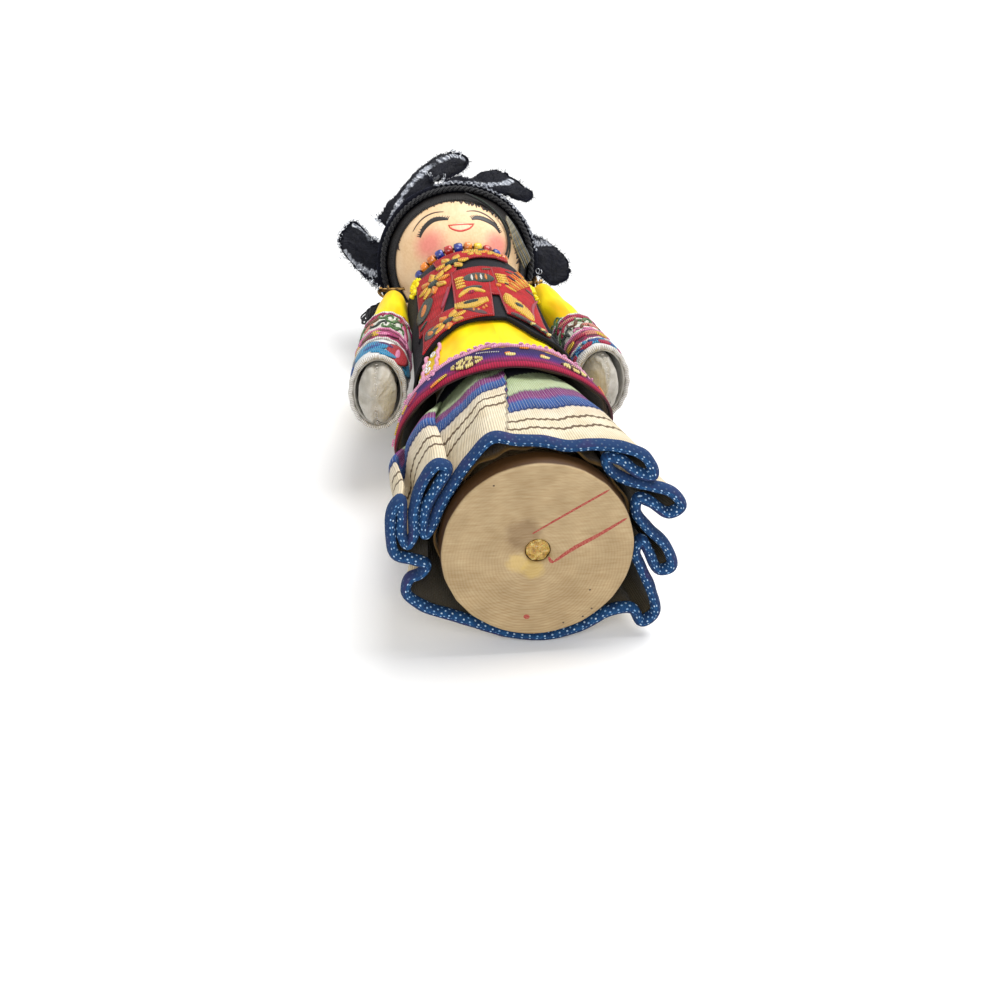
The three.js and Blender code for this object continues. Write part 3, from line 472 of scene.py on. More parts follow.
# %% [markdown]
# ## The trunk's surface
# The solids give the clothed trunk as an oval that widens towards the hem. Ribbons, embroidery and cords
# are all placed on it by an angle from the front, a height and a distance off the satin.
# %% Trunk, arm and head surfaces
def around_axis(angle, radius, height):
    t = math.radians(angle)
    return Vector((radius * math.sin(t), -radius * math.cos(t), height))


NECK_TOP = 157.0
TRUNK = [
    (7, -3.0, -3.4), (12, 0.9, -1.0), (19, 1.7, 0.8), (27, 2.0, 1.4), (47, 2.8, 1.9),
    (67, 4.2, 3.6), (82, 6.9, 5.0), (95, 10.2, 6.3), (106, 13.0, 7.4),
]
CHEST_RADIUS = 15.0


def hermite(a, b, slope_a, slope_b, span, t):
    """A smooth step from a to b over a span, with the slope given at each end."""
    return (
        (2 * t ** 3 - 3 * t * t + 1) * a + (3 * t * t - 2 * t ** 3) * b
        + span * ((t ** 3 - 2 * t * t + t) * slope_a + (t ** 3 - t * t) * slope_b)
    )


def trunk_axes(height):
    """The trunk's half width and half depth at a height, from its table of drops and swells."""
    drop = min(max(NECK_TOP - height, TRUNK[0][0]), TRUNK[-1][0])
    i = max(k for k in range(len(TRUNK) - 1) if TRUNK[k][0] <= drop)
    slopes = [[(b[j] - a[j]) / (b[0] - a[0]) for j in (1, 2)] for a, b in zip(TRUNK, TRUNK[1:])]
    inner = [[(p + q) / 2 for p, q in zip(a, b)] for a, b in zip(slopes, slopes[1:])]
    ends = [slopes[0]] + inner + [slopes[-1]]
    span = TRUNK[i + 1][0] - TRUNK[i][0]
    t = (drop - TRUNK[i][0]) / span
    return [
        CHEST_RADIUS + hermite(TRUNK[i][j], TRUNK[i + 1][j], ends[i][j - 1], ends[i + 1][j - 1], span, t)
        for j in (1, 2)
    ]


def trunk(angle, height, lift=0.0):
    wide, deep = trunk_axes(height)
    t = math.radians(angle)
    return Vector(((wide + lift) * math.sin(t), -(deep + lift) * math.cos(t), height))


SHOULDER = 144.0
VEST_LIFT = 1.2
SHOULDER_HALF_WIDTH, SHOULDER_HALF_DEPTH = 3.6, 5
WRIST_HALF_WIDTH, WRIST_WIDENS, WRIST_DEEPENS = 6.5, 2.9, 4.6
SHOULDER_X = trunk_axes(SHOULDER)[0] + VEST_LIFT + 0.5 + SHOULDER_HALF_WIDTH
ARM_LENGTH = {"right": 56.0, "left": 57.0}
ARM_CLEARANCE = {"right": 1.9, "left": 0.7}
SLEEVE_SWELL = {"right": 0.9, "left": 0.3}
SIDE = {"right": -1, "left": 1}


def arm_axis(side, below):
    length = ARM_LENGTH[side]
    wrist_x = trunk_axes(SHOULDER - length)[0] + VEST_LIFT + ARM_CLEARANCE[side] + WRIST_HALF_WIDTH + 0.9
    return SHOULDER_X + (wrist_x - SHOULDER_X) * below / length


def sleeve_axes(side, below):
    share = max(0.0, below / ARM_LENGTH[side]) ** 0.8
    swell = SLEEVE_SWELL[side] * math.sin(math.pi * min(share, 1))
    wide = SHOULDER_HALF_WIDTH + WRIST_WIDENS * share
    return wide + swell, SHOULDER_HALF_DEPTH + WRIST_DEEPENS * share + swell


def arm(side):
    """An arm's surface by an angle from the front outwards and a distance below the shoulder's peg."""
    def surface(angle, below, lift=0.0):
        wide, deep = sleeve_axes(side, below)
        t = math.radians(angle)
        x = arm_axis(side, below) + (wide + lift) * math.sin(t)
        return Vector((SIDE[side] * x, -(deep + lift) * math.cos(t), SHOULDER - below))
    return surface


HEAD_RADIUS = 20.5
NECK_RADIUS = 7.7
HEAD = Vector((0, 0, NECK_TOP + math.sqrt(HEAD_RADIUS ** 2 - NECK_RADIUS ** 2)))


def head(longitude, latitude, lift=0.0):
    a, b = math.radians(longitude), math.radians(latitude)
    out = Vector((math.cos(b) * math.sin(a), -math.cos(b) * math.cos(a), math.sin(b)))
    return HEAD + (HEAD_RADIUS + lift) * out


print("shoulder", round(SHOULDER_X, 2), "head centre", round(HEAD.z, 2))
# %% [markdown]
# ## Wood
# The disc is turned pale wood. Its underside shows the lathe's rings, a plug of amber glue in the middle
# with a yellow stain beside it, a grey smudge, and two plain ruled lines in red ink. Its side under the
# skirt's hem is painted darker as shade. The trunk, its pegs and the head's dowel are the same wood out
# of sight.
# %% Wood and glue finishes
STAINS = (
    (-3.2, -4.4, 5.6, "ab9a90", 0.55, "MULTIPLY"), (-4.6, 2.6, 3.4, "d3b46a", 0.5, "MIX"),
    (-1.2, 4.6, 3.6, "c9aa58", 0.45, "MIX"), (0.0, 0.0, 4.0, "8a6c2c", 0.7, "MIX"),
)


def stains_and_painted_shade(tree, space, colour):
    """The smudge and the glue's stains, and painted shade: above 0.9 mm the rim's side and the bore's wall
    are darkened brown, for the shade under the skirt's hem and in the bore.
    """
    for x, y, reach, hue, share, how in STAINS:
        rough = times(tree, noise_at(tree, space, 1.9, 3.0), 3.0)
        far = plus(tree, distance_to(tree, space, (x, y, 0)), rough)
        near = fade(tree, far, reach * 0.5 + 1.2, reach + 1.2, share, 0.0, "SMOOTHSTEP")
        colour = blend_colours(tree, near, colour, rgb(tree, hue), how)
    # Painted shade: everything above 0.9 mm is multiplied by dark brown.
    wall = fade(tree, part(tree, space, 2), 0.4, 0.9, 0.0, 1.0)
    return blend_colours(tree, wall, colour, rgb(tree, "6a5026"), "MULTIPLY")


def ringed_wood(name, pale, deep, stains_and_shade=False):
    def draw(tree, space):
        shift = {0: space, 1: (1.5, -2.5, 0)}
        off_centre = add(tree, "ShaderNodeVectorMath", shift, operation="ADD").outputs[0]
        rings = waves(tree, off_centre, 0.7, 4.6, 3.0, wave_type="RINGS", rings_direction="Z")
        grain = noise_at(tree, space, 0.5, 4.0, (0.12, 1, 1))
        broad = noise_at(tree, space, 7.0, 2.0)
        colour = ramp(tree, broad, [(0.3, deep), (0.7, pale)])
        low_side = fade(tree, part(tree, space, 1), -6.0, 12.0, 0.25, 0.9)
        ringed = ramp(tree, rings, [(0.2, "f1ece3"), (0.6, "ffffff")])
        colour = blend_colours(tree, low_side, colour, ringed, "MULTIPLY")
        colour = tint(tree, colour, grain, "e6dccf", "ffffff")
        height = plus(tree, times(tree, rings, 0.012), times(tree, grain, 0.05))
        return stains_and_painted_shade(tree, space, colour) if stains_and_shade else colour, height, None
    return finish(name, draw, own_uv=False, **{"Roughness": 0.62, "Specular IOR Level": 0.35})


def drawn_glue(tree, space):
    lumps = noise_at(tree, space, 0.9, 4.0)
    colour = ramp(tree, lumps, [(0.3, "7a5a1e"), (0.45, "b88c38"), (0.58, "d0ac56"), (0.72, "e2c880")])
    return colour, times(tree, lumps, 1.8), None


DISC_WOOD = ringed_wood("turned_wood_disc", "bba580", "a6906c", stains_and_shade=True)
BODY_WOOD = ringed_wood("turned_wood_body", "d3bd9a", "c1a67f")
AMBER_GLUE = finish("amber_glue", drawn_glue, own_uv=False, **{
    "Roughness": 0.3, "Coat Weight": 0.4, "Subsurface Weight": 0.25, "Subsurface Scale": 0.001,
})
print("wood finishes ready")

# %% The disc
DISC_RADIUS = 22.0
DISC_TOP = 7.0
BORE = 2.9


def spun(profile, sides=128, wobble=0.0):
    """A closed profile of (radius, height) spun round the doll's axis, a little out of true."""
    rows = []
    for t in circle(sides):
        ring = []
        for radius, height in profile:
            slack = wobble * lump(3 * math.cos(t), 3 * math.sin(t), 0.3 * height)
            reach = radius - (abs(slack) if radius > BORE + 1 else 0)
            ring.append(Vector((reach * math.sin(t), -reach * math.cos(t), height)))
        rows.append(ring)
    return rows


underside = [
    (r, 0.02 + 0.015 * math.sin(r * 5.5) ** 8 + 0.03 * math.sin(r * 1.3) ** 4)
    for r in (BORE + 0.4 + 0.3 * k for k in range(60))
]
profile = [(BORE, 0.5)] + underside + [
    (21.3, 0.02), (21.65, 0.12), (21.88, 0.4), (DISC_RADIUS, 0.9), (DISC_RADIUS, 3.0), (21.96, 5.0),
    (DISC_RADIUS, 6.2), (21.85, 6.65), (21.5, 6.9), (21.0, DISC_TOP), (16.0, DISC_TOP), (BORE, DISC_TOP),
]
disc = Piece("turned_disc")
disc.rows(spun(profile, 144, 0.4), DISC_WOOD, lambda r, c: (r, c), True, True)
disc.make("doll", "base_disc", slot="base_wood")

PLUG_RADIUS = 2.7
PLUG_TOP = 1.6
plug = Piece("glue_in_bore")
glue_rings = []
for k in range(9):
    radius = PLUG_RADIUS * (1 - k / 8) ** 0.7
    dome = 0.75 - 0.35 * math.cos(radius * 0.55)
    glue_rings.append([
        Vector((
            radius * math.sin(t), -radius * math.cos(t),
            dome + 0.45 * lump(radius * math.sin(t), radius * math.cos(t), 2),
        )) for t in circle(40)[:40 if k < 8 else 1]
    ])
top_ring = [Vector((PLUG_RADIUS * math.sin(t), -PLUG_RADIUS * math.cos(t), PLUG_TOP)) for t in circle(40)]
plug.rows([[Vector((0, 0, PLUG_TOP))], top_ring] + glue_rings, AMBER_GLUE, lambda r, c: (r, c), True)
plug.make("doll", "glue_plug", slot="glue")
print("disc", DISC_RADIUS, "high", DISC_TOP)

# %% [markdown]
# The two ruled lines are pressed with a rule and red ink. Ink lies in the wood's surface, so each line
# is a very flat stroke that only just stands off it, with a rough edge where the ink ran dry.
# %% Red ink
def drawn_ink(tree, space):
    dry = noise_at(tree, space, 0.35, 4.0)
    return ramp(tree, dry, [(0.35, "a8604e"), (0.6, "942a24")]), times(tree, dry, 0.02), None


def drawn_speck(tree, space):
    return ramp(tree, noise_at(tree, space, 0.5), [(0.3, "3c3026"), (0.7, "5e4c3a")]), None, None


RED_INK = finish("red_ink", drawn_ink, own_uv=False, **{"Roughness": 0.7})
DARK_SPECK = finish("dark_wood_speck", drawn_speck, own_uv=False, **{"Roughness": 0.8})


def under_disc(x, y, lift):
    """The disc's underside, drawn as it is seen from below. Ink stands off it by far less than thread."""
    return Vector((x, -y, 0.035 - 0.12 * lift))


ink = Piece("red_ink_lines")
for points in (
    [(-1.5, 4.5, 0.3), (3, 7.2, 0.5), (9, 10.7, 0.55), (16, 14.7, 0.5)],
    [(3.4, -3.1, 0.6), (8.2, 0.3, 1.0), (13.5, 3.2, 0.9), (20.2, 7.3, 0.5)],
    [(2.4, -1.6, 0.4), (2.9, -2.7, 0.8), (3.6, -3.1, 0.6)],
    [(-3.2, -16.8, 0.6), (-2.5, -17.0, 1.3), (-1.8, -17.2, 0.6)],
):
    stitch(ink, under_disc, points, RED_INK, height=0.12, steps=6)
for x, y in ((12, -11), (10.5, -18), (6, -19.3), (12.5, -16), (-10, 17.2)):
    speck = [(x - 0.25, y, 0.3), (x, y + 0.1, 0.45), (x + 0.25, y, 0.3)]
    stitch(ink, under_disc, speck, DARK_SPECK, 0.1, 2, 6)
ink.make("doll")

# %% [markdown]
# ## Skirt
# The skirt is striped homespun cotton, pleated into the waist. Its folds are the solid's own: each hem
# point has an angle, a distance out from the disc, and the angle at which its cloth enters the waist.
# The cloth is woven in bands, so the stripes are drawn over the height in the cloth's own UV.
# %% The skirt's folds
HEM_POINTS = [
    (-83, 3.1, -51), (-77, 1.9, -48), (-64, 1.7, -44), (-49, 2.1, -38), (-34, 3.8, -31),
    (-20, 6.0, -22), (-10, 3.8, -12), (4, 2.8, -1), (17, 2.3, 10), (29, 4.6, 19),
    (41, 7.5, 27), (52, 9.6, 34), (61, 8.6, 40), (56, 6.0, 45), (45, 5.0, 49),
    (39, 3.4, 53), (45, 1.8, 57), (56, 3.0, 61), (65, 6.8, 66), (72, 10.8, 71),
    (79, 12.2, 76), (81, 8.9, 80), (73, 5.4, 84), (69, 3.2, 88), (76, 1.8, 92),
    (87, 4.0, 97), (97, 8.6, 102), (106, 11.2, 106), (109, 8.6, 110), (100, 4.6, 114),
    (94, 2.6, 118), (101, 1.7, 121), (110, 4.4, 124), (119, 9.2, 127), (127, 13.6, 131),
    (133, 12.6, 135), (131, 8.4, 139), (138, 5.0, 145), (156, 4.1, 157), (175, 3.6, 172),
    (195, 2.9, 190), (211, 3.0, 205), (225, 4.6, 219), (238, 8.0, 229), (248, 9.8, 236),
    (254, 7.8, 241), (255, 5.0, 245), (259, 3.2, 249), (263.5, 6.2, 253), (267, 9.8, 257),
    (277, 10.9, 262), (287, 11.6, 267), (292, 10.6, 271), (286, 9.2, 275), (276, 8.3, 279),
    (271.5, 7.0, 282), (276, 5.7, 285), (288, 6.8, 289), (302, 8.0, 293), (313, 8.0, 297),
    (315, 5.8, 300), (304, 4.6, 303), (291, 4.4, 306),
]
HEM_STEPS = 8 * len(HEM_POINTS)
HEM_HEIGHT = 5.2
SKIRT_TOP = 67.2
SKIRT_FOOT = 6.7
WAIST_RADIUS = 16.9

def closed_curve(corners, steps):
    """A centripetal Catmull-Rom loop, as the solid's own curve is."""
    out = []
    count = len(corners)
    for k in range(steps):
        t = k * count / steps
        i = int(t)
        a, b, c, d = (corners[(i + s) % count] for s in (-1, 0, 1, 2))
        gaps = [max((q - p).length ** 0.5, 1e-3) for p, q in ((a, b), (b, c), (c, d))]
        m1 = ((b - a) / gaps[0] - (c - a) / (gaps[0] + gaps[1]) + (c - b) / gaps[1]) * gaps[1]
        m2 = ((c - b) / gaps[1] - (d - b) / (gaps[1] + gaps[2]) + (d - c) / gaps[2]) * gaps[1]
        out.append(hermite(b, c, m1, m2, 1.0, t - i))
    return out


def skirt_level(height, spread):
    corners = []
    for hem_angle, out, waist_angle in HEM_POINTS:
        angle = waist_angle + (hem_angle - waist_angle) * spread
        corners.append(around_axis(angle, WAIST_RADIUS + (DISC_RADIUS + out - WAIST_RADIUS) * spread, height))
    return closed_curve(corners, HEM_STEPS)


SPREAD = [(0, 0), (0.27, 0.35), (0.6, 0.68), (1, 1)]


def spread_at(share):
    for (a, u), (b, v) in zip(SPREAD, SPREAD[1:]):
        if share <= b:
            return u + (v - u) * (share - a) / (b - a)
    return 1.0


SKIRT_ROWS = 40
TUCK_CORNER = 48
TUCK_FOOT = 22
hem_line = skirt_level(HEM_HEIGHT, 1.0)
hem_lengths = lengths(hem_line + hem_line[:1])


def tuck_shift(column, height):
    """How far the stripes slide down at a column, and how far the cloth stands out there."""
    along = hem_lengths[column] - hem_lengths[TUCK_CORNER] - 0.14 * (height - TUCK_FOOT)
    if along < -60 or along > 120:
        return 0.0, 0.0
    depth = min(max((height - TUCK_FOOT) / 12, 0), 1)
    if along < 0:
        return -10 * math.exp(along / 15), 0.9 * depth * math.exp(along / 3)
    reach = 6 + 16 * max(1 - height / 45, 0)
    return 9 * math.exp(-along / reach), -0.3 * depth * math.exp(-along / 3)


levels = []
for k in range(SKIRT_ROWS + 1):
    share = 1 - k / SKIRT_ROWS
    height = SKIRT_TOP + (SKIRT_FOOT - SKIRT_TOP) * share
    spread = sum(spread_at(min(max(share + d, 0), 1)) for d in (-0.06, -0.03, 0, 0.03, 0.06)) / 5
    level = skirt_level(height, spread if k else 1.0)
    for i, p in enumerate(level):
        crumple = 0.28 * lump(hem_lengths[i] / 5, height / 9, 1) * math.sin(math.pi * min(share, 0.97))
        out = Vector((p.x, p.y, 0)).normalized()
        turn = math.degrees(math.atan2(p.x, -p.y))
        puff = 4.2 * math.exp(-((turn + 76) / 30) ** 2 - ((height - 38) / 13) ** 2)
        level[i] = p + (crumple + puff + tuck_shift(i, height)[1]) * out
    levels.append(level)
print("hem length", round(hem_lengths[-1], 1), "mm")

# %% [markdown]
# The stripes run round the skirt: cream at the foot, two wavy brown stitched lines, blue, purple, pale
# green and navy. The upper bands carry pale specks, where the weft floats over the dark warp.
# %% Striped homespun
STRIPE_SPAN = 70.0
STRIPES = [
    (0.0, "f3e6cc"), (24.5, "f5e9d0"), (30.8, "efe2cd"), (31.3, "dccfc8"), (31.7, "26335a"), (33.0, "284a8e"),
    (37.4, "3a66ad"), (38.2, "5f4a98"), (39.4, "8a3f80"), (43.4, "7c3872"), (44.3, "94a588"),
    (45.2, "c3d2a8"), (56.4, "b4c89c"), (57.4, "39403c"), (58.8, "1a1c30"), (70.0, "141624"),
]
SEAM_HEIGHTS = (19.4, 24.9)
SPECKS_FROM, SPECKS_TO = 32.5, 51.0


def stripe_specks(tree, space, level):
    float_cell = times(tree, bands(tree, space, 0.9, "X"), bands(tree, space, 0.75, "Y"))
    speck = times(
        tree, sums(tree, "GREATER_THAN", float_cell, 0.62), sums(tree, "GREATER_THAN", level, SPECKS_FROM)
    )
    below_navy = sums(tree, "LESS_THAN", level, SPECKS_TO)
    return times(tree, times(tree, speck, below_navy), 0.45)


def drawn_stripes(tree, space):
    along, upward = part(tree, space, 0), part(tree, space, 1)
    waver = times(tree, noise_at(tree, space, 14.0, 1.0, (1, 0.1, 1)), 2.4)
    jag = times(tree, bands(tree, space, 1.9, "X", 1.5), 0.5)
    level = plus(tree, plus(tree, sums(tree, "SUBTRACT", upward, 1.4), waver), jag)
    share = sums(tree, "DIVIDE", level, STRIPE_SPAN, clamp=True)
    colour = ramp(tree, share, [(z / STRIPE_SPAN, hue) for z, hue in STRIPES])
    ribs = bands(tree, space, 0.62, "X", 0.4)
    picks = bands(tree, space, 0.5, "Y")
    colour = blend_colours(tree, stripe_specks(tree, space, level), colour, rgb(tree, "e8ecf0"))
    colour = tint(tree, colour, ribs, "dcdcdc", "ffffff")
    wave = times(tree, sums(tree, "SINE", times(tree, along, 1.1), 0.0), 0.26)
    for centre in SEAM_HEIGHTS:
        off = sums(tree, "ABSOLUTE", sums(tree, "SUBTRACT", plus(tree, level, wave), centre), 0.0)
        seam = fade(tree, off, 0.5, 0.75, 0.92, 0.0)
        colour = blend_colours(tree, seam, colour, rgb(tree, "5a4634"))
    colour = tint(tree, colour, noise_at(tree, space, 5.0), "ece6da", "ffffff")
    height = plus(tree, times(tree, ribs, 0.085), times(tree, picks, 0.06))
    return colour, plus(tree, height, times(tree, noise_at(tree, space, 3.0), 0.5)), None


def skirt_place(row, column):
    height = SKIRT_FOOT + (SKIRT_TOP - SKIRT_FOOT) * row / SKIRT_ROWS
    return hem_lengths[column], height + tuck_shift(column % HEM_STEPS, height)[0]


SKIRT_COTTON = finish("striped_homespun", drawn_stripes, **{"Roughness": 0.92, "Specular IOR Level": 0.25})
# Painted shade: the skirt's inside and cut edge are dark olive-brown, for the shade under the skirt.
SKIRT_INSIDE_SHADE = cotton("skirt_inside_painted_shade", "5e5236", 0.6, 0.08)
skirt = Piece("pleated_skirt")
skirt.rows(levels, SKIRT_COTTON, skirt_place, True)
skirt_piece = skirt.make(
    "doll", "skirt", slot="skirt_cotton", thickness=0.5, offset=0.0, smooth=180, inside=SKIRT_INSIDE_SHADE
)
skirt_area = sum(
    (a - b).length * (SKIRT_TOP - SKIRT_FOOT) / SKIRT_ROWS
    for level in levels[:-1] for a, b in zip(level, level[1:] + level[:1])
)
print("skirt cloth", round(skirt_area), "square mm")

# %% [markdown]
# The hem is bound in dark blue cotton with rows of white dots. The binding is a soft roll, taller than it
# is thick, so it is a flattened tube along the hem, and the dots are drawn in its own UV.
# %% The hem's binding
def drawn_binding(tree, space):
    turned = add(tree, "ShaderNodeVectorRotate", {
        "Vector": space, "Angle": math.radians(45),
    }, rotation_type="Z_AXIS").outputs[0]
    cells = add(tree, "ShaderNodeTexVoronoi", {
        "Vector": turned, "Scale": 1 / 1.3, "Randomness": 0.25,
    }, voronoi_dimensions="2D").outputs["Distance"]
    dot = fade(tree, cells, 0.12, 0.23, 1.0, 0.0)
    cloth = ramp(tree, noise_at(tree, space, 2.2), [(0.3, "14345f"), (0.7, "235a8c")])
    cloth = tint(tree, cloth, bands(tree, space, 0.36, "X"), "c8c8d4", "ffffff")
    bright = ramp(tree, noise_at(tree, space, 0.9), [(0.4, "7cb0e0"), (0.62, "d4e8f6")])
    colour = blend_colours(tree, dot, cloth, bright)
    from_crest = sums(tree, "SUBTRACT", part(tree, space, 1), BINDING_CREST)
    from_crest = sums(tree, "ABSOLUTE", from_crest, 0.0)
    upper = sums(tree, "LESS_THAN", plus(tree, from_crest, noise_at(tree, space, 2.5)), 3.3)
    plum = ramp(tree, noise_at(tree, space, 6.0), [(0.5, "1b365f"), (0.68, "33305a")])
    colour = blend_colours(tree, times(tree, upper, 0.9), colour, plum)
    return colour, plus(tree, times(tree, dot, 0.1), weave(tree, space, 0.36, 0.04)), None


BINDING_THICK = 1.25
BINDING_TALL = 1.9
BINDING_GIRTH = 2 * math.pi * math.sqrt((BINDING_THICK ** 2 + BINDING_TALL ** 2) / 2)
BINDING_CREST = 1.6 + 0.31 * BINDING_GIRTH
BINDING = finish("dotted_binding", drawn_binding, **{"Roughness": 0.85, "Specular IOR Level": 0.25})


def binding(piece, path, thick, tall):
    """A roll along the hem, with its dots drawn round it from the foot."""
    sides = 16
    upright = Vector((0, 0, 1))
    rings = []
    for k, centre in enumerate(path):
        along = (path[(k + 1) % len(path)] - path[k - 1]).normalized()
        side = along.cross(upright).normalized()
        pinch = 1 + 0.1 * lump(centre.x / 3, centre.y / 3, 4)
        rings.append([
            centre + thick * pinch * math.sin(t) * side - tall * math.cos(t) * upright for t in circle(sides)
        ])
    at = lengths(path + path[:1])
    piece.rows(rings, BINDING, lambda r, c: (at[r], c * BINDING_GIRTH / sides + 1.6), True, True)


hem = Piece("hem_binding")
binding(hem, [p + Vector((0, 0, 0.5)) for p in hem_line], BINDING_THICK, BINDING_TALL)
hem.make("doll", "hem_piping", slot="piping_print", smooth=180)

# %% [markdown]
# Under the skirt hangs a lining, gathered on the trunk and open at the foot round the disc. Its dark tan
# is partly the cloth's own colour and partly painted shade from the skirt over it.
# %% Lining and waistband
# Painted shade in part: the lining is coloured darker than its own cream-tan, for the shade under the skirt.
SHADED_LINING_COTTON = cotton("tan_lining_painted_shade", "8a6a36", 0.5, 0.06, "a89c8c")
LINING_FOOT = 8.3
LINING_WAIST, LINING_HEM = 14.6, 22.4
lining_levels = []
for k in range(25):
    share = k / 24
    height = SKIRT_TOP + (LINING_FOOT - SKIRT_TOP) * share
    row = []
    for t in circle(192):
        fold = 0.45 * share * math.sin(15 * t + 2.2 * math.sin(2 * t))
        fold += 0.25 * lump(4 * math.cos(t), 4 * math.sin(t), height / 9)
        radius = LINING_WAIST + (LINING_HEM - LINING_WAIST) * share + fold
        row.append(Vector((radius * math.sin(t), -radius * math.cos(t), height)))
    lining_levels.append(row)
lining = Piece("skirt_lining_cloth")
lining.rows(lining_levels, SHADED_LINING_COTTON, lambda r, c: (c * 0.72, r * 2.5), True)
lining_piece = lining.make("doll", "skirt_lining", slot="lining_cotton", thickness=0.45, smooth=180)

BAND_COTTON = cotton("waistband_cotton", "d9cfba", 0.45, 0.06)
band = Piece("waistband_roll")
for turns, height in ((15.9, 68.4), (15.7, 70.0), (15.8, 71.5)):
    path = [around_axis(3 * k, turns + 0.15 * math.sin(k), height) for k in range(120)]
    tube(band, path, 0.85, BAND_COTTON, 10, True)
band.make("doll", "waistband", slot="waistband_cotton", smooth=180)
# %% [markdown]
# ## Tunic
# A straight tunic of bright yellow satin hangs over the skirt. Its hem carries a woven ribbon with pale
# gold stitches, and a pink frilled cord over it. Two plain pink cords run up its right side. The satin is
# one closed sheet round the trunk, with soft folds that grow towards the hem.
# %% Satin tunic
YELLOW_SATIN = satin("yellow_satin", "ffe800", "f6b400", 0.5, 0.04, 0.18)
# Painted shade: the satin's inside and cut edge are dark brown, for the shade inside the tunic's hem.
TUNIC_INSIDE_SHADE = cotton("tunic_inside_painted_shade", "55402a", 0.5, 0.06)
TUNIC_HEM = [
    (-180, 98), (-130, 98), (-105, 101), (-85, 106), (50, 106), (72, 102), (90, 98), (180, 98),
]


def edge_height(table, angle):
    """The height of a lower edge at an angle, from its table of angles and drops."""
    turn = (angle + 180) % 360 - 180
    for (a, low), (b, high) in zip(table, table[1:]):
        if a <= turn <= b:
            return NECK_TOP - (low + (high - low) * (turn - a) / (b - a))


def tunic_foot(angle):
    return edge_height(TUNIC_HEM, angle)


RIBBON_LOW = 51


def above_hem(angle, height, lift=0.0):
    """The trunk's surface, with heights given as they are where the hem hangs lowest."""
    return trunk(angle, height - RIBBON_LOW + tunic_foot(angle), lift)


def tunic_cloth_foot(angle):
    """The satin ends a little above the ribbon's foot, and is sewn under it."""
    return tunic_foot(angle) + 1.1


GARMENT_TOP = 149.2
GARMENT_STEPS = 216


def garment(name, rows, lift, material, foot, fold):
    """Cloth round the whole trunk, between a foot line and the neck."""
    piece = Piece(name)
    grid = []
    for r in range(rows + 1):
        share = r / rows
        row = []
        for i in range(GARMENT_STEPS):
            angle = 360 * i / GARMENT_STEPS
            t = math.radians(angle)
            low = foot(angle)
            height = low + (GARMENT_TOP - low) * share
            crease = lump(4 * math.cos(t), 4 * math.sin(t), height / 26)
            row.append(trunk(angle, height, lift + fold * (1 - share) ** 1.5 * crease))
        grid.append(row)
    girth = 2 * math.pi * 20 / GARMENT_STEPS
    piece.rows(grid, material, lambda r, c: (c * girth, grid[r][0].z), True)
    return piece


tunic = garment("satin_tunic", 48, -0.05, YELLOW_SATIN, tunic_cloth_foot, 0.5)
tunic_piece = tunic.make(
    "doll", "tunic", slot="yellow_satin", thickness=0.7, smooth=180, inside=TUNIC_INSIDE_SHADE
)


def sewn_rings(piece, place, spots, material, size):
    """Small rings, such as sequins, sewn flat on a surface."""
    for x, y in spots:
        middle = place(x, y, 0.25)
        up = (place(x, y, 1.25) - middle).normalized()
        side = up.orthogonal().normalized()
        other = up.cross(side)
        path = [middle + size * (math.cos(t) * side + math.sin(t) * other) for t in circle(12)]
        tube(piece, path, 0.2, material, 6, True, ups=[up] * 12)


# %% [markdown]
# The threads of the ribbons keep the same colours all over the doll: orange and yellow petals, dark green
# leaves, gold, pink and white stitches. Each is one finish with its own shadow.
# %% Thread colours
RED_BRAID = cotton("red_braid", "d81e2a", 0.55, 0.09, "b87a78", 0.85, sheen=0.05)
BLACK_COTTON = cotton("black_vest_cotton", "171821", 0.4, 0.05, "9a9aa4", sheen=0.04)
COLOURS = {
    "orange": ("ff9a2e", "c05a14"), "yellow": ("ffd452", "c8901c"), "gold": ("f4c83c", "8a6418"),
    "green": ("25382a", "0e160f"), "white": ("f6f4ee", "c4bcb2"), "pink": ("f29cc0", "cc6c98"),
    "palepink": ("f6b4d0", "d884ac"), "straw": ("faeca0", "d6b656"), "crimson": ("c01f4a", "6a1026"),
    "magenta": ("c4347c", "6c1640"), "purple": ("5c2a72", "2c1238"), "teal": ("2c9a9e", "0e4a50"),
    "skyblue": ("3aa0d0", "14587c"), "blue": ("2f5fa8", "142a5c"), "brown": ("7a4a26", "3a200e"),
    "leafgreen": ("5d8a4a", "2c4a22"), "salmon": ("e89a86", "a85a4c"), "paleblue": ("8fb4d4", "4a6c90"),
    "greyblue": ("5a7490", "2c3e54"), "maroon": ("561018", "26060a"), "red": ("c8202c", "6c0c14"),
}
THREADS = {name: thread(f"{name}_thread", *pair) for name, pair in COLOURS.items()}
print(len(THREADS), "thread colours")

# %% [markdown]
# ## Hem ribbon of the tunic
# The ribbon is navy above, purple in the middle and crimson below, with a gold diamond of upright stitches
# at the front and smaller marks beside it. It is modelled as a band, and every mark on it is sewn.
# %% Woven hem ribbon
def drawn_hem_ribbon(tree, space):
    waver = times(tree, noise_at(tree, space, 5.0), 0.16)
    upward = sums(tree, "SUBTRACT", part(tree, space, 1), 50.5)
    share = sums(tree, "SUBTRACT", plus(tree, sums(tree, "DIVIDE", upward, 13.0), waver), 0.08)
    colour = ramp(tree, share, [
        (0.0, "8e1034"), (0.14, "b01a46"), (0.19, "6e0e3c"), (0.29, "921f5c"), (0.4, "62226a"),
        (0.54, "3c2270"), (0.68, "2c1c5c"), (1.0, "241a4c"),
    ])
    stitches = bands(tree, space, 0.55, "X", 0.5)
    patch = ramp(tree, noise_at(tree, space, 1.6), [(0.45, "ffffff"), (0.62, "e8a4c4")])
    colour = blend_colours(tree, 0.4, colour, patch, "MULTIPLY")
    colour = tint(tree, colour, stitches, "cacaca", "ffffff")
    return colour, times(tree, plus(tree, stitches, bands(tree, space, 0.7, "Y")), 0.06), None


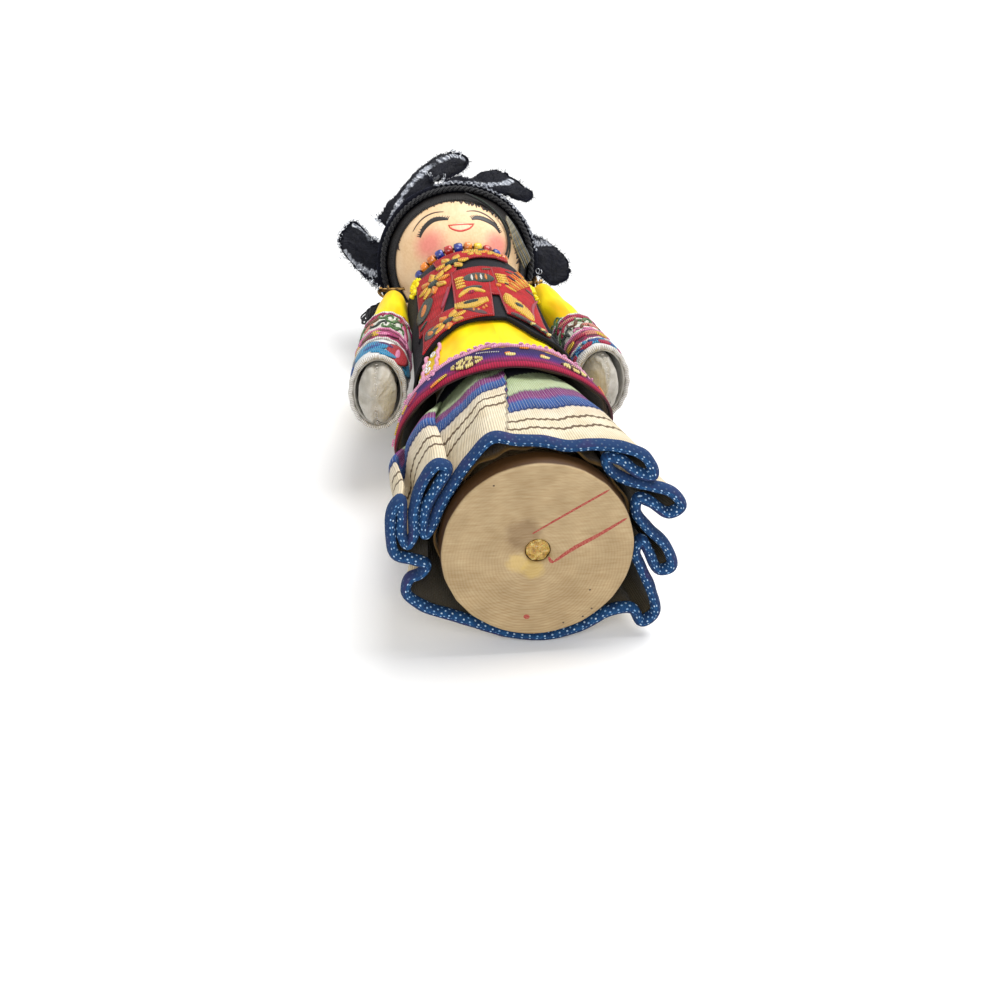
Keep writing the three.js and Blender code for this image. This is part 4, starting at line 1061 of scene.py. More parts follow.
HEM_RIBBON = finish("woven_hem_ribbon", drawn_hem_ribbon, **{"Roughness": 0.8, "Specular IOR Level": 0.25})
RIBBON_FOOT, RIBBON_HEAD = 50.3, 63.4
ribbon_rows = []
for k in range(13):
    height = RIBBON_FOOT + (RIBBON_HEAD - RIBBON_FOOT) * k / 12
    swell = 0.25 * math.sin(math.pi * k / 12) - 0.45 * (1 - k / 12) ** 6
    ribbon_rows.append([above_hem(1.5 * i, height, 0.85 + swell) for i in range(240)])
# Painted shade: the ribbon's inside and cut edge are dark crimson-brown, for the shade under the hem.
RIBBON_INSIDE_SHADE = cotton("ribbon_inside_painted_shade", "5c1a2c", 0.5, 0.06)
hem_ribbon = Piece("tunic_hem_ribbon_cloth")
hem_ribbon.rows(ribbon_rows, HEM_RIBBON, lambda r, c: (c * 0.63, RIBBON_FOOT + 1.09 * r), True)
hem_piece = hem_ribbon.make(
    "doll", "tunic_hem_ribbon", slot="tunic_braid", thickness=0.5, smooth=180, inside=RIBBON_INSIDE_SHADE
)

HEM_BLOBS = (
    (-36, 53, 4.6, 1.4, 28, "gold"), (-39, 51.9, 2.6, 1.0, 32, "orange"), (2, 57, 2.6, 1.7, 0, "straw"),
    (0.6, 58, 1.6, 0.9, 20, "orange"), (11, 62.2, 2.6, 0.8, 8, "orange"), (20, 57, 2.6, 1.5, 0, "straw"),
    (19, 58, 1.4, 0.8, 20, "orange"), (-92, 57, 3.4, 1.6, 50, "gold"), (-100, 54, 2.4, 1.6, 50, "orange"),
    (-108, 57, 3.0, 1.6, 40, "straw"), (-84, 53, 2.0, 1.2, 40, "pink"), (-57, 56, 5.0, 1.8, 60, "crimson"),
    (-66, 57, 3.2, 1.4, 60, "gold"), (-78, 56, 3.4, 1.8, 40, "gold"), (60, 56, 3.6, 2.0, 0, "orange"),
    (90, 56, 6.0, 3.0, 0, "gold"), (125, 56, 4.0, 2.0, 0, "orange"), (160, 56, 6.0, 3.0, 0, "gold"),
    (195, 56, 4.0, 2.0, 0, "orange"), (232, 56, 6.0, 3.0, 0, "gold"), (262, 56, 4.0, 2.0, 0, "orange"),
)


def hem_spot(angle, height):
    return on(lambda a, z, lift: above_hem(a, z, 1.15 + lift), angle, height)


def sew_diamond(piece, place):
    """Upright stitches in two halves, longest in the middle, round a dark heart."""
    for k in range(17):
        x = -3.84 + 0.48 * k
        tall = 4.1 * (1 - (abs(x) / 4.5) ** 1.5)
        hue = "maroon" if k % 5 == 2 else "straw"
        for way in (-1, 1):
            tip, near = way * tall, way * 0.3 * tall
            points = [(x, near, 0.3), (x, (tip + near) / 2, 0.74), (x, tip, 0.2)]
            stitch(piece, place, points, hue, 0.42)
    blob(piece, place, 0, 0, 5.0, 2.0, "maroon", height=0.3)
    for x in (-1.6, -0.5, 0.9):
        stitch(piece, place, [(x - 0.3, -1.1, 0.3), (x, 0, 0.8), (x + 0.3, 1.1, 0.3)], "straw", 0.45)


def sew_leaf(piece, place):
    """Slanted stitches side by side, longest in the middle."""
    for k in range(13):
        x = -3.6 + 0.6 * k
        tall = 3.0 * (1 - (x / 4.2) ** 2)
        points = [(x - 0.5, -tall, 0.3), (x, 0.1, 0.8), (x + 0.5, tall, 0.3)]
        stitch(piece, place, points, "straw" if k % 4 else "maroon", 0.4)
    blob(piece, place, 0, 0, 2.6, 1.3, "brown", height=0.6)


hem_marks = Piece("tunic_hem_stitches")
sew_diamond(hem_marks, hem_spot(-21, 56.3))
for a, z, wide, tall, tilt, hue in HEM_BLOBS:
    blob(hem_marks, hem_spot(a, z), 0, 0, wide, tall, hue, tilt, 0.34)
sew_leaf(hem_marks, hem_spot(37, 55.8))
for k in range(11):
    a, z = -15 + 1.15 * k, 60.9 - 0.15 * k
    stitch(hem_marks, hem_spot(a, z), [(-0.3, -0.5, 0.3), (0.2, 0.5, 0.3)], "white", 0.25, steps=2)
hem_marks.make("doll", smooth=180)

# %% [markdown]
# The pink cord is a frilled picot: a soft cord with small scallops along it. A scallop is one bent loop of
# thread, and Geometry Nodes set a copy of it at even steps along the line that the cord follows.
# %% Loops along a line
GROUP_SOCKETS = {
    "Geometry": "NodeSocketGeometry", "Item": "NodeSocketObject", "Seed": "NodeSocketInt",
    "Finish": "NodeSocketMaterial",
}


def group_tree(name, *numbers):
    """A Geometry Nodes tree that takes an item, its finish, a seed and the named numbers."""
    tree = bpy.data.node_groups.new(name, "GeometryNodeTree")
    for label in ("Geometry", "Item", *numbers, "Seed", "Finish"):
        kind = GROUP_SOCKETS.get(label, "NodeSocketFloat")
        tree.interface.new_socket(label, in_out="INPUT", socket_type=kind)
    tree.interface.new_socket("Geometry", in_out="OUTPUT", socket_type="NodeSocketGeometry")
    return tree, add(tree, "NodeGroupInput").outputs


def random_number(tree, given, low, high):
    inputs = {2: low, 3: high, "Seed": given["Seed"]}
    return add(tree, "FunctionNodeRandomValue", inputs, data_type="FLOAT").outputs[1]


def turned_by(tree, rotation, lean):
    inputs = {"Rotation": rotation, "Rotate By": lean}
    return add(tree, "FunctionNodeRotateEuler", inputs, space="LOCAL").outputs[0]


def aligned(tree, inputs, **settings):
    return add(tree, "FunctionNodeAlignEulerToVector", inputs, **settings).outputs[0]


def copies(tree, given, points, rotation, size):
    """The item at every point, made real in the given finish."""
    item = add(tree, "GeometryNodeObjectInfo", {"Object": given["Item"]}).outputs["Geometry"]
    placed = add(tree, "GeometryNodeInstanceOnPoints", {
        "Points": points, "Instance": item, "Rotation": rotation, "Scale": size,
    })
    real = add(tree, "GeometryNodeRealizeInstances", {"Geometry": placed.outputs[0]})
    inputs = {"Geometry": real.outputs[0], "Material": given["Finish"]}
    dressed = add(tree, "GeometryNodeSetMaterial", inputs)
    add(tree, "NodeGroupOutput", {"Geometry": dressed.outputs[0]})
    return tree


def named_vector(tree, name):
    inputs = {"Name": name}
    return add(tree, "GeometryNodeInputNamedAttribute", inputs, data_type="FLOAT_VECTOR").outputs["Attribute"]


def repeat_tree(name):
    """Copies of an item at even steps along a curve, standing off it, as one plain mesh."""
    tree, given = group_tree(name, "Step", "Size spread", "Tilt spread")
    line = add(tree, "GeometryNodeMeshToCurve", {"Mesh": given["Geometry"]}).outputs[0]
    even = add(tree, "GeometryNodeResampleCurve", {"Curve": line, "Length": given["Step"]}, mode="LENGTH")
    along = add(tree, "GeometryNodeInputTangent").outputs[0]
    upright = aligned(tree, {"Vector": named_vector(tree, "off")}, axis="Z")
    turned = aligned(tree, {"Rotation": upright, "Vector": along}, axis="X", pivot_axis="Z")
    half = sums(tree, "SUBTRACT", random_number(tree, given, 0.0, 1.0), 0.5)
    size = plus(tree, times(tree, half, given["Size spread"]), 1.0)
    tilt = times(tree, half, given["Tilt spread"])
    lean = add(tree, "ShaderNodeCombineXYZ", {0: tilt, 1: tilt, 2: tilt}).outputs[0]
    return copies(tree, given, even.outputs[0], turned_by(tree, turned, lean), size)


REPEAT = repeat_tree("repeat_along_line")


def grown(piece_object, tree, settings):
    """A Geometry Nodes modifier with its inputs set by identifier, applied to a plain mesh."""
    modifier = piece_object.modifiers.new(tree.name, "NODES")
    modifier.node_group = tree
    names = {
        socket.name: socket.identifier for socket in tree.interface.items_tree if socket.in_out == "INPUT"
    }
    for name, value in settings.items():
        modifier[names[name]] = value
    settle(piece_object)


def along_line(name, path, ups, item, step, material, body, slot=None, size=0.2, tilt=0.3, seed=1):
    mesh = bpy.data.meshes.new(name)
    mesh.from_pydata([tuple(p * MM) for p in path], [(k, k + 1) for k in range(len(path) - 1)], [])
    off = mesh.attributes.new("off", "FLOAT_VECTOR", "POINT")
    off.data.foreach_set("vector", [v for up in ups for v in up])
    row = bpy.data.objects.new(name, mesh)
    bpy.context.scene.collection.objects.link(row)
    grown(row, REPEAT, {
        "Item": item, "Step": step * MM, "Size spread": size, "Tilt spread": tilt, "Seed": seed,
        "Finish": material,
    })
    outwards(row.data)
    return attach(row, body, slot=slot)


def spare_item(name, draw):
    """A small shape for the copies. It is kept out of the scene once they are made."""
    piece = Piece(name)
    draw(piece)
    mesh = bpy.data.meshes.new(name)
    mesh.from_pydata([tuple(p * MM) for p in piece.points], [], piece.faces)
    layer = mesh.uv_layers.new(name="cloth")
    layer.data.foreach_set("uv", [v for uv in piece.uvs for v in uv])
    outwards(mesh)
    return bpy.data.objects.new(name, mesh)


def drawn_scallop(piece):
    bend = [math.pi * k / 10 for k in range(11)]
    path = [Vector((0.7 * math.cos(t), 0.2 * math.sin(2 * t), 0.15 + 0.5 * math.sin(t))) for t in bend]
    tube(piece, path, 0.24, THREADS["palepink"], 6)


SCALLOP = spare_item("pink_scallop", drawn_scallop)
CORD_LINE = [
    (-42, 62.6), (-30, 63.6), (-22, 63.2), (-15, 64.2), (-12, 64.9), (-8, 65.2), (-5, 64.4), (0, 64.9),
    (6, 64.2), (15, 64.4), (22, 64.8), (28, 65.6), (40, 64.6), (60, 63.8), (90, 63.2), (130, 63.2),
    (180, 63.4), (230, 63.2), (270, 63), (300, 62.4), (318, 62),
]
cord_line = smooth_path(CORD_LINE, 14)
cord_path = [above_hem(a, z, 0.95) for a, z in cord_line]
cord_ups = [(above_hem(a, z, 2) - above_hem(a, z, 1)).normalized() for a, z in cord_line]
picot = Piece("pink_hem_cord")
tube(picot, cord_path[:-1], 0.62, THREADS["palepink"], 8, True, flat=0.85, ups=cord_ups)
picot.make("doll", "tunic_hem_cord", slot="pink_picot", smooth=180)
high_ups = [(u + Vector((0, 0, 0.9))).normalized() for u in cord_ups]
along_line(
    "pink_hem_scallops", cord_path, high_ups, SCALLOP, 1.7, THREADS["palepink"], "doll", "pink_picot",
    0.5, 0.9,
)

SIDE_CORDS = (
    [(-42, 60), (-42.5, 68), (-43, 76), (-42, 84)],
    [(-44, 59), (-50, 64), (-55, 70), (-57, 78), (-56, 84)],
)
side_cords = Piece("pink_side_cords")
for line in SIDE_CORDS:
    drawn = smooth_path(line, 10)
    path = [trunk(a, z, 0.6 + 0.25 * math.sin(0.9 * k)) for k, (a, z) in enumerate(drawn)]
    tube(side_cords, path, 0.5, THREADS["palepink"], 8)
side_cords.make("doll", slot="pink_picot", smooth=180)

# %% [markdown]
# Clear sequins are sewn beside the side cords, and lemon yellow ones at both shoulders.
# %% Sequin finishes
def plain_drawn(colour, dark, size=0.8, depth=0.03):
    def draw(tree, space):
        patch = noise_at(tree, space, size)
        return ramp(tree, patch, [(0.3, dark), (0.65, colour)]), times(tree, patch, depth), None
    return draw


SILVER = finish("silver_lurex", plain_drawn("e6e9ee", "8b9098"), **{"Roughness": 0.28, "Metallic": 0.85})
LEMON_SEQUIN = finish("lemon_sequins", plain_drawn("fff428", "e6c400"), **{
    "Roughness": 0.4, "Specular IOR Level": 0.3,
})
CLEAR_SEQUIN = finish("clear_sequins", plain_drawn("f4f6fa", "c4c8d2"), **{
    "Roughness": 0.12, "Coat Weight": 0.6, "Specular IOR Level": 0.8,
})
sequins = Piece("side_sequins")
side_spot = on(lambda a, z, lift: trunk(a, z, 0.5 + lift), -50, 70)
sewn_rings(sequins, side_spot, [(-0.7, 6), (0, 0.3), (-2, -3), (0.8, 10), (-1.6, 3.2)], CLEAR_SEQUIN, 0.8)
sequins.make("doll", smooth=180)

# %% [markdown]
# ## Vest
# The vest is black cotton, with its lower edge higher at the right front than at the left. Red ribbons and
# a red yoke are sewn over it, and only narrow dark gaps are left between them.
# %% Black vest
VEST_HEM = [
    (-180, 74), (-120, 74), (-90, 74.2), (-56, 72.6), (-40, 70.9), (-25, 69.2), (-12, 69.6), (2, 70.4),
    (11, 70), (20, 75.5), (28, 80), (60, 79), (90, 73), (120, 73), (180, 74),
]


def vest_foot(angle):
    return edge_height(VEST_HEM, angle)


vest = garment("black_vest", 36, 1.15, BLACK_COTTON, vest_foot, 0.25)
vest_piece = vest.make("doll", "vest", slot="vest_cloth", thickness=0.7, smooth=180)

# %% [markdown]
# A ribbon of the vest is a sheet between four corners, with a fine sewn edge. The embroidery is laid on it
# in threads: flowers of eight petals, leaves with a bright heart, arches and rows of small petals.
# %% Ribbons
RIBBON_LIFT = 1.5
RIBBONS = {
    "neck": ([(-30, 27), (34, 19), (34, 12.5), (-34, 16.5)], 28, 8),
    "right": ([(-62, 56), (-37, 56.5), (-14, 26), (-56, 21)], 18, 20),
    "centre": ([(-25, 69.5), (1, 70.5), (10, 32), (-20.5, 32)], 12, 26),
    "left": ([(12, 68), (38, 77.5), (56, 26.5), (13.5, 30.5)], 16, 26),
    "yoke": ([(-6, 52), (22, 51), (24, 30), (-8, 31)], 12, 12),
    "hem": ([(-56, 72.5), (-24.5, 69), (-24.5, 57.5), (-56, 56.6)], 14, 8),
}
UNDER = {"right": 0.22, "yoke": 0.22}


def on_ribbon(corners, u, v, lift):
    a, b, c, d = corners
    angle = (a[0] * (1 - u) + b[0] * u) * (1 - v) + (d[0] * (1 - u) + c[0] * u) * v
    drop = (a[1] * (1 - u) + b[1] * u) * (1 - v) + (d[1] * (1 - u) + c[1] * u) * v
    swell = 0.18 * math.sin(math.pi * u) ** 0.5 + 0.14 * lump(angle / 6, drop / 4, 7)
    return trunk(angle, NECK_TOP - drop, lift + swell)


for name, (corners, columns, rows) in RIBBONS.items():
    lift = RIBBON_LIFT - UNDER.get(name, 0)
    across = [c / columns for c in range(columns + 1)]
    down = [r / rows for r in range(rows + 1)]
    grid = [[on_ribbon(corners, u, v, lift) for u in across] for v in down]
    ribbon = Piece(f"vest_ribbon_{name}_cloth")
    ribbon.rows(grid, RED_BRAID, lambda r, c: (grid[r][c].x, grid[r][c].z))
    solids = [] if name == "yoke" else [f"vest_ribbon_{name}"]
    made = ribbon.make("doll", *solids, slot="vest_braid", thickness=0.5, offset=1.0, smooth=180)
    rim = [(0, v) for v in down] + [(u, 1) for u in across[1:]]
    rim += [(1, 1 - v) for v in down[1:]] + [(1 - u, 0) for u in across[1:-1]]
    edging = Piece(f"vest_ribbon_{name}_edge")
    tube(edging, [on_ribbon(corners, u, v, lift + 0.35) for u, v in rim], 0.28, THREADS["red"], 6, True)
    edging.make("doll", slot="vest_braid", smooth=180)
    size = ((grid[0][0] - grid[0][-1]).length, (grid[0][0] - grid[-1][0]).length)
    min(size) > 10
print("ribbons", ", ".join(RIBBONS))


# %% Embroidery on the vest
def vest_spot(angle, height):
    return on(lambda a, z, lift: trunk(a, z, RIBBON_LIFT + 0.62 + lift), angle, height)


def flower(piece, place, wide, tall, petals, hues, heart, start):
    fat = 0.5 * (wide + tall) / 2 * (8 / petals) ** 0.5
    for k in range(petals):
        t = 2 * math.pi * (k + start) / petals
        c, s = wide * math.cos(t), tall * math.sin(t)
        hue = hues[k % len(hues)]
        petal = ((0.3, 0.5), (0.7, fat), (1.0, 0.5 * fat), (1.1, 0.3))
        vein = ((0.5, 0.15), (0.8, 0.3 * fat), (1.0, 0.12))
        stitch(piece, place, [(r * c, r * s, w) for r, w in petal], hue, 0.45)
        vein_hue = "orange" if hue == "yellow" else "yellow"
        stitch(piece, place, [(r * c, r * s, w) for r, w in vein], vein_hue, 0.55)
    blob(piece, place, 0, 0, 0.66 * wide, 0.6 * tall, heart, height=0.5)


VEST_FLOWERS = (
    (-38, 124, 4.8, 6.2, 8, ("orange", "yellow", "yellow"), "green", 0.0),
    (-31, 91.5, 4.8, 5.4, 7, ("yellow", "yellow", "orange"), "green", 0.25),
    (-18, 132.4, 4.4, 5.0, 6, ("yellow",), "green", 0.0), (3, 139.5, 3.0, 4.2, 6, ("yellow",), "gold", 0.0),
    (20, 141.5, 2.6, 3.8, 6, ("yellow", "orange"), "gold", 0.0),
)
VEST_LEAVES = ((-51, 112, 12.0, 7.0, 78), (-47, 92, 8.5, 5.0, 112))
VEST_BLOBS = (
    (-18, 132.2, 4.0, 2.6, "green", 12, 0.75), (12, 142, 3.0, 3.6, "green", 20, 0.4),
    (0, 117.5, 8.6, 7.4, "green", -12, 0.28), (-9, 106.6, 1.6, 2.0, "crimson", 0, 0.7),
    (-7, 110.2, 5.2, 3.4, "green", 0, 0.3), (-11.5, 98.2, 4.0, 3.0, "green", 4, 0.85),
    (14, 112.5, 1.6, 1.9, "orange", 0, 0.4), (23.5, 97, 2.0, 4.2, "green", 16, 0.75),
    (27, 83.6, 1.6, 1.3, "straw", 30, 0.55), (33, 81.4, 1.6, 1.3, "straw", 30, 0.55),
    (36.5, 79.8, 1.6, 1.3, "straw", 30, 0.55),
)
VEST_KNOTS = (
    (-54, 103, 2.2), (-42, 118, 1.8), (-33, 128, 1.6), (8, 124, 1.8), (30, 126, 2.2), (44, 128, 2.0),
    (10, 97, 0.1), (46, 119, 2.2),
)
VEST_STITCHES = (
    (-9, 106.6, "yellow", 0.5, 4, [
        (-3.6, -1.4, 0.8), (-2.0, 1.2, 2.3), (0.2, 2.4, 2.1), (2.0, 1.0, 2.3), (3.6, -1.2, 0.8)]),
    (-11, 92, "maroon", 0.3, 4, [(-3.4, 5.0, 0.4), (-1.0, 1.5, 1.9), (1.4, -2.6, 2.3), (2.8, -5.2, 0.8)]),
    (-30, 110, "crimson", 0.22, 4, [(1.6, 6.5, 0.6), (0.4, 1.0, 1.3), (-1.6, -6.5, 0.9)]),
    (35, 100, "crimson", 0.3, 6, [
        (-0.6, -9, 0.5), (0.4, -2, 1.0), (2.4, 6, 1.1), (5.0, 13, 0.7), (7.6, 19, 0.4)]),
)


def sew_ribs(piece):
    """The rows of short stitches that stand side by side in a heart, a leaf or a wing."""
    for k, x in enumerate((-1.9, -0.7, 0.6, 1.9)):
        points = [(x, -2.0, 0.3), (x, 0, 1.0), (x + 0.1, 2.2, 0.3)]
        stitch(piece, vest_spot(0, 117.5), points, "orange" if k % 2 else "white", 0.48)
    for k in range(4):
        y = -3.2 + 2.1 * k
        points = [(-1.6, y, 0.5), (-0.2, y + 0.3, 1.7), (1.2, y + 0.2, 0.4)]
        stitch(piece, vest_spot(-15, 115.5), points, "yellow", 0.4)
        y = -2.6 + 1.8 * k
        points = [(-1.8, y - 0.3, 0.4), (0.1, y, 1.5), (1.9, y + 0.9, 0.4)]
        stitch(piece, vest_spot(19, 118), points, "yellow", 0.42)
    for k in range(15):
        x = -4.2 + 0.6 * k
        off = (x / 4.6) ** 2
        tall = 7.0 * (1 - off) ** 0.6
        points = [(0.8 * x, 3.4 - tall, 0.5), (x, 1.6 - 0.2 * tall, 1.1), (x, 3.6 + 0.8 * off, 0.5)]
        stitch(piece, vest_spot(-11.5, 97.0), points, "yellow", 0.55)
    for x, y in ((-1.2, -1.0), (0.0, -1.6), (1.4, -0.6), (2.2, 0.6)):
        points = [(x, y - 1.0, 0.3), (x, y, 0.95), (x, y + 1.2, 0.3)]
        stitch(piece, vest_spot(-8, 93), points, "orange", 0.35)


def sew_left_sprays(piece):
    """The two rows of petals that climb the left ribbon, its large leaf, and the dark beads at its foot."""
    for k in range(9):
        a, z = 24 + 2.9 * k, 112 + 1.95 * k
        points = [(-1.6, 1.4, 0.3), (0, 0, 1.1), (1.6, -1.2, 0.3)]
        stitch(piece, vest_spot(a, z), points, "orange" if k % 2 else "yellow", 0.4)
        points = [(-1.2, 0.9, 0.3), (0, 0, 0.9), (1.2, -0.8, 0.3)]
        stitch(piece, vest_spot(a - 4, z + 3.2), points, "orange" if k % 3 else "green", 0.36)
        hue = "green" if k % 3 else "maroon"
        blob(piece, vest_spot(17 + 2.4 * k, 88 - 0.95 * k), 0, 0, 2.8, 2.2, hue, -30, 0.3)
    for k in range(11):
        wide = 3.7 * math.sin(math.pi * min(1, (k + 0.8) / 11.5)) ** 0.8
        shift = -0.32 * (k - 4.0)
        points = [(shift - wide, 0.9, 0.5), (shift, 0.3, 1.9), (shift + wide, -0.9, 0.5)]
        stitch(piece, vest_spot(24, 88.0 + 1.65 * k), points, "yellow", 0.5)


sewn = Piece("vest_embroidery")
for a, z, *facts in VEST_FLOWERS:
    flower(sewn, vest_spot(a, z), *facts)
for a, z, wide, tall, tilt in VEST_LEAVES:
    blob(sewn, vest_spot(a, z), 0, 0, wide, tall, "green", tilt, 0.3)
    blob(sewn, vest_spot(a, z), 0, 0, 0.5 * wide, 0.42 * tall, "orange", tilt, 0.46)
for a, z, *facts in VEST_BLOBS:
    blob(sewn, vest_spot(a, z), 0, 0, *facts)
for a, z, size in VEST_KNOTS:
    hue = "green" if size > 1.9 else "brown"
    blob(sewn, vest_spot(a, z), 0, 0, 1.6 * size, 0.7 * size, hue, 20, 0.24)
for a, z, hue, height, steps, points in VEST_STITCHES:
    stitch(sewn, vest_spot(a, z), points, hue, height, steps)
sew_ribs(sewn)
sew_left_sprays(sewn)
sewn.make("doll", slot="vest_braid", smooth=180)

# %% [markdown]
# The picture shows a narrow dark band of the vest above the left ribbons, edged by a rolled seam, and
# lemon yellow sequins where the vest meets the sleeves.
# %% Vest seams and shoulder sequins
SEAM_LINES = (
    [(-60, 84.2), (-40, 86.0), (-25, 87.7), (-12, 87.3), (2, 86.5), (11, 86.9)],
    [(11, 86.9), (20, 82), (28, 77.4), (45, 77.6), (60, 78.2)],
    [(-66, 100), (-64, 112), (-61, 124), (-58, 134), (-54, 142)],
    [(60, 88), (60, 104), (60, 120), (60, 134), (56, 143)],
)
seams = Piece("vest_rolled_seams")
for line in SEAM_LINES:
    tube(seams, [trunk(a, z, 1.25) for a, z in smooth_path(line, 8)], 0.42, BLACK_COTTON, 8)
seams.make("doll", slot="vest_cloth", smooth=180)

GLINTS = 22
shoulder_glints = Piece("shoulder_sequins")
for side in (-1, 1):
    spot = on(lambda a, z, lift: trunk(a, z, 1.5 + lift), side * 64 + 4, 134.5 - 2 * side)
    for k in range(GLINTS):
        far = (k / GLINTS) ** 0.5
        x, y = 2.6 * math.sin(2.4 * k) * far, 4.6 * math.cos(2.4 * k) * far
        blob(shoulder_glints, spot, x, y, 1.5, 1.1, LEMON_SEQUIN, 67 * k, 0.5 + 0.3 * (k % 3))
shoulder_glints.make("doll", smooth=180)

# %% [markdown]
# ## Collar and necklace
# A narrow red braid closes the neck, and over it lies a string of glazed clay beads: squat rings, each a
# little different in its length, threaded on a dark cord.
# %% Collar
def drawn_collar(tree, space):
    stitches = bands(tree, space, 0.9, "X", 1.2)
    mark = ramp(tree, noise_at(tree, space, 0.9), [(0.5, "b3202c"), (0.62, "e0902c")])
    return tint(tree, mark, stitches, "8c8c8c", "ffffff"), times(tree, stitches, 0.15), None


COLLAR_BRAID = finish("red_collar_braid", drawn_collar, **{"Roughness": 0.8, "Sheen Weight": 0.25})
COLLAR_RADIUS = trunk_axes(150.0)[1] - 0.62
collar = Piece("neck_collar")
for k, height in enumerate((150.95, 152.35)):
    radius = COLLAR_RADIUS + 0.05 * k
    path = [around_axis(3 * i, radius, height + 0.1 * math.sin(i * 1.9)) for i in range(120)]
    tube(collar, path, 0.66, COLLAR_BRAID, 10, True, ups=[Vector((0, 0, 1))] * 120)
collar.make("doll", "collar", slot="collar_braid", smooth=180)

# %% Beads
BEAD_HUES = (
    "blue", "orange", "orange", "blue", "red", "blue", "orange", "yellow", "red", "blue", "orange"
)
GLAZES = {
    "blue": ("2b3c9c", "141a54"), "orange": ("f28a1c", "b8540c"), "red": ("cc2a20", "7c100c"),
    "yellow": ("f6d524", "c89210"),
}
BEAD_SHAPE = (
    (0.72, -0.82), (1.0, -1.0), (1.36, -0.8), (1.48, -0.3), (1.5, 0.1), (1.44, 0.5), (1.2, 0.88),
    (0.95, 1.0), (0.72, 0.85),
)
NECKLACE_RADIUS = 15.0
NECKLACE_HEIGHT = 150.2
BEAD_PITCH = math.degrees(2.8 / NECKLACE_RADIUS)


def glazed(name, colour, dark):
    def draw(tree, space):
        glaze = ramp(tree, noise_at(tree, space, 1.4), [(0.3, dark), (0.6, colour)])
        return glaze, times(tree, noise_at(tree, space, 0.5), 0.04), None
    return finish(name, draw, own_uv=False, **{"Roughness": 0.22, "Coat Weight": 0.5, "Coat Roughness": 0.1})


def bead_rings(angle, length):
    centre = around_axis(angle, NECKLACE_RADIUS, NECKLACE_HEIGHT)
    t = math.radians(angle)
    along = Vector((math.cos(t), math.sin(t), 0))
    side, up = Vector((math.sin(t), -math.cos(t), 0)), Vector((0, 0, 1))
    return [
        [centre + along * place * length + radius * (math.cos(q) * side + math.sin(q) * up)
         for q in circle(24)]
        for radius, place in BEAD_SHAPE
    ]


random.seed(11)
for hue, pair in GLAZES.items():
    beads = Piece(f"{hue}_beads")
    glaze = glazed(f"{hue}_glaze", *pair)
    places = [k for k, own in enumerate(BEAD_HUES) if own == hue]
    for k in places:
        rings = bead_rings(-62 + k * BEAD_PITCH, random.uniform(1.12, 1.24))
        beads.rows(rings, glaze, lambda r, c: (r, c), True, True)
    names = [f"necklace_bead_{k + 1:02d}" for k in places]
    beads.make("doll", *names, slot=f"{hue}_bead", smooth=50)

string = Piece("bead_string")
string_path = [around_axis(3 * k, NECKLACE_RADIUS, NECKLACE_HEIGHT) for k in range(120)]
tube(string, string_path, 0.4, THREADS["brown"], 8, True)
string.make("doll", "necklace_thread", slot="thread", smooth=180)
# %% [markdown]
# ## Arms
# Each arm is a stuffed cotton hand in a satin sleeve, with three woven cuffs at the wrist. It swings on a
# peg at the shoulder, so everything of an arm rides on that arm's body and stays clear of the vest.
# %% Sleeves
def ring_of(side, below, lift, steps, wobble):
    surface = arm(side)
    return [surface(a, below, lift + wobble(a, below)) for a in (360 * i / steps for i in range(steps))]


def sleeve_wrinkle(side):
    def wrinkle(angle, below):
        share = min(max(below / ARM_LENGTH[side], 0), 1)
        t = math.radians(angle)
        soft = lump(2.2 * math.cos(t), 2.2 * math.sin(t) + SIDE[side], below / 9)
        creases = math.sin(below / 2.6 + 1.6 * math.cos(t + 0.8)) * math.exp(-((share - 0.3) / 0.26) ** 2)
        return 0.28 * soft * math.sin(math.pi * share) + 0.14 * creases
    return wrinkle


def make_sleeve(side):
    length = ARM_LENGTH[side]
    wrinkle = sleeve_wrinkle(side)
    piece = Piece(f"satin_sleeve_{side}")
    wide, deep = sleeve_axes(side, 0)
    x = arm_axis(side, 0)
    dome = []
    for k in range(8):
        t = math.pi / 2 * (1 - k / 8)
        across, ahead, height = math.cos(t) * wide, math.cos(t) * deep, SHOULDER + 4.6 * math.sin(t)
        dome.append([
            Vector((SIDE[side] * (x + across * math.sin(q)), -ahead * math.cos(q), height))
            for q in circle(72)[:72 if k else 1]
        ])
    body = [ring_of(side, length * k / 56, -0.08, 72, wrinkle) for k in range(57)]
    piece.rows(dome + body, YELLOW_SATIN, lambda r, c: (c * 0.6, r), True)
    made = piece.make(
        f"arm_{side}", f"sleeve_{side}", slot="yellow_satin", thickness=0.5, smooth=180, inside=SLEEVE_LINING
    )


SLEEVE_LINING = cotton("white_sleeve_lining", "dedbd3", 0.45, 0.05, "b4b0a6")
for side in SIDE:
    make_sleeve(side)

# %% [markdown]
# The cuffs are brocade ribbons: green scrolls on a pale ground, burgundy with gold, and white with large
# blue and red leaves. Each is a band round the sleeve, and the marks are sewn as raised threads.
# %% Cuff cloths
def brocade(name, ground, second, share=0.55, size=1.5):
    def draw(tree, space):
        patch = noise_at(tree, space, size, 2.0)
        colour = ramp(tree, patch, [(share - 0.02, ground), (share + 0.05, second)])
        picks = bands(tree, space, 0.5, "Y", 0.3)
        colour = tint(tree, colour, picks, "c8c8c8", "ffffff")
        return colour, times(tree, plus(tree, picks, bands(tree, space, 0.6, "X")), 0.07), None
    return finish(name, draw, **{"Roughness": 0.75, "Sheen Weight": 0.1, "Specular IOR Level": 0.3})


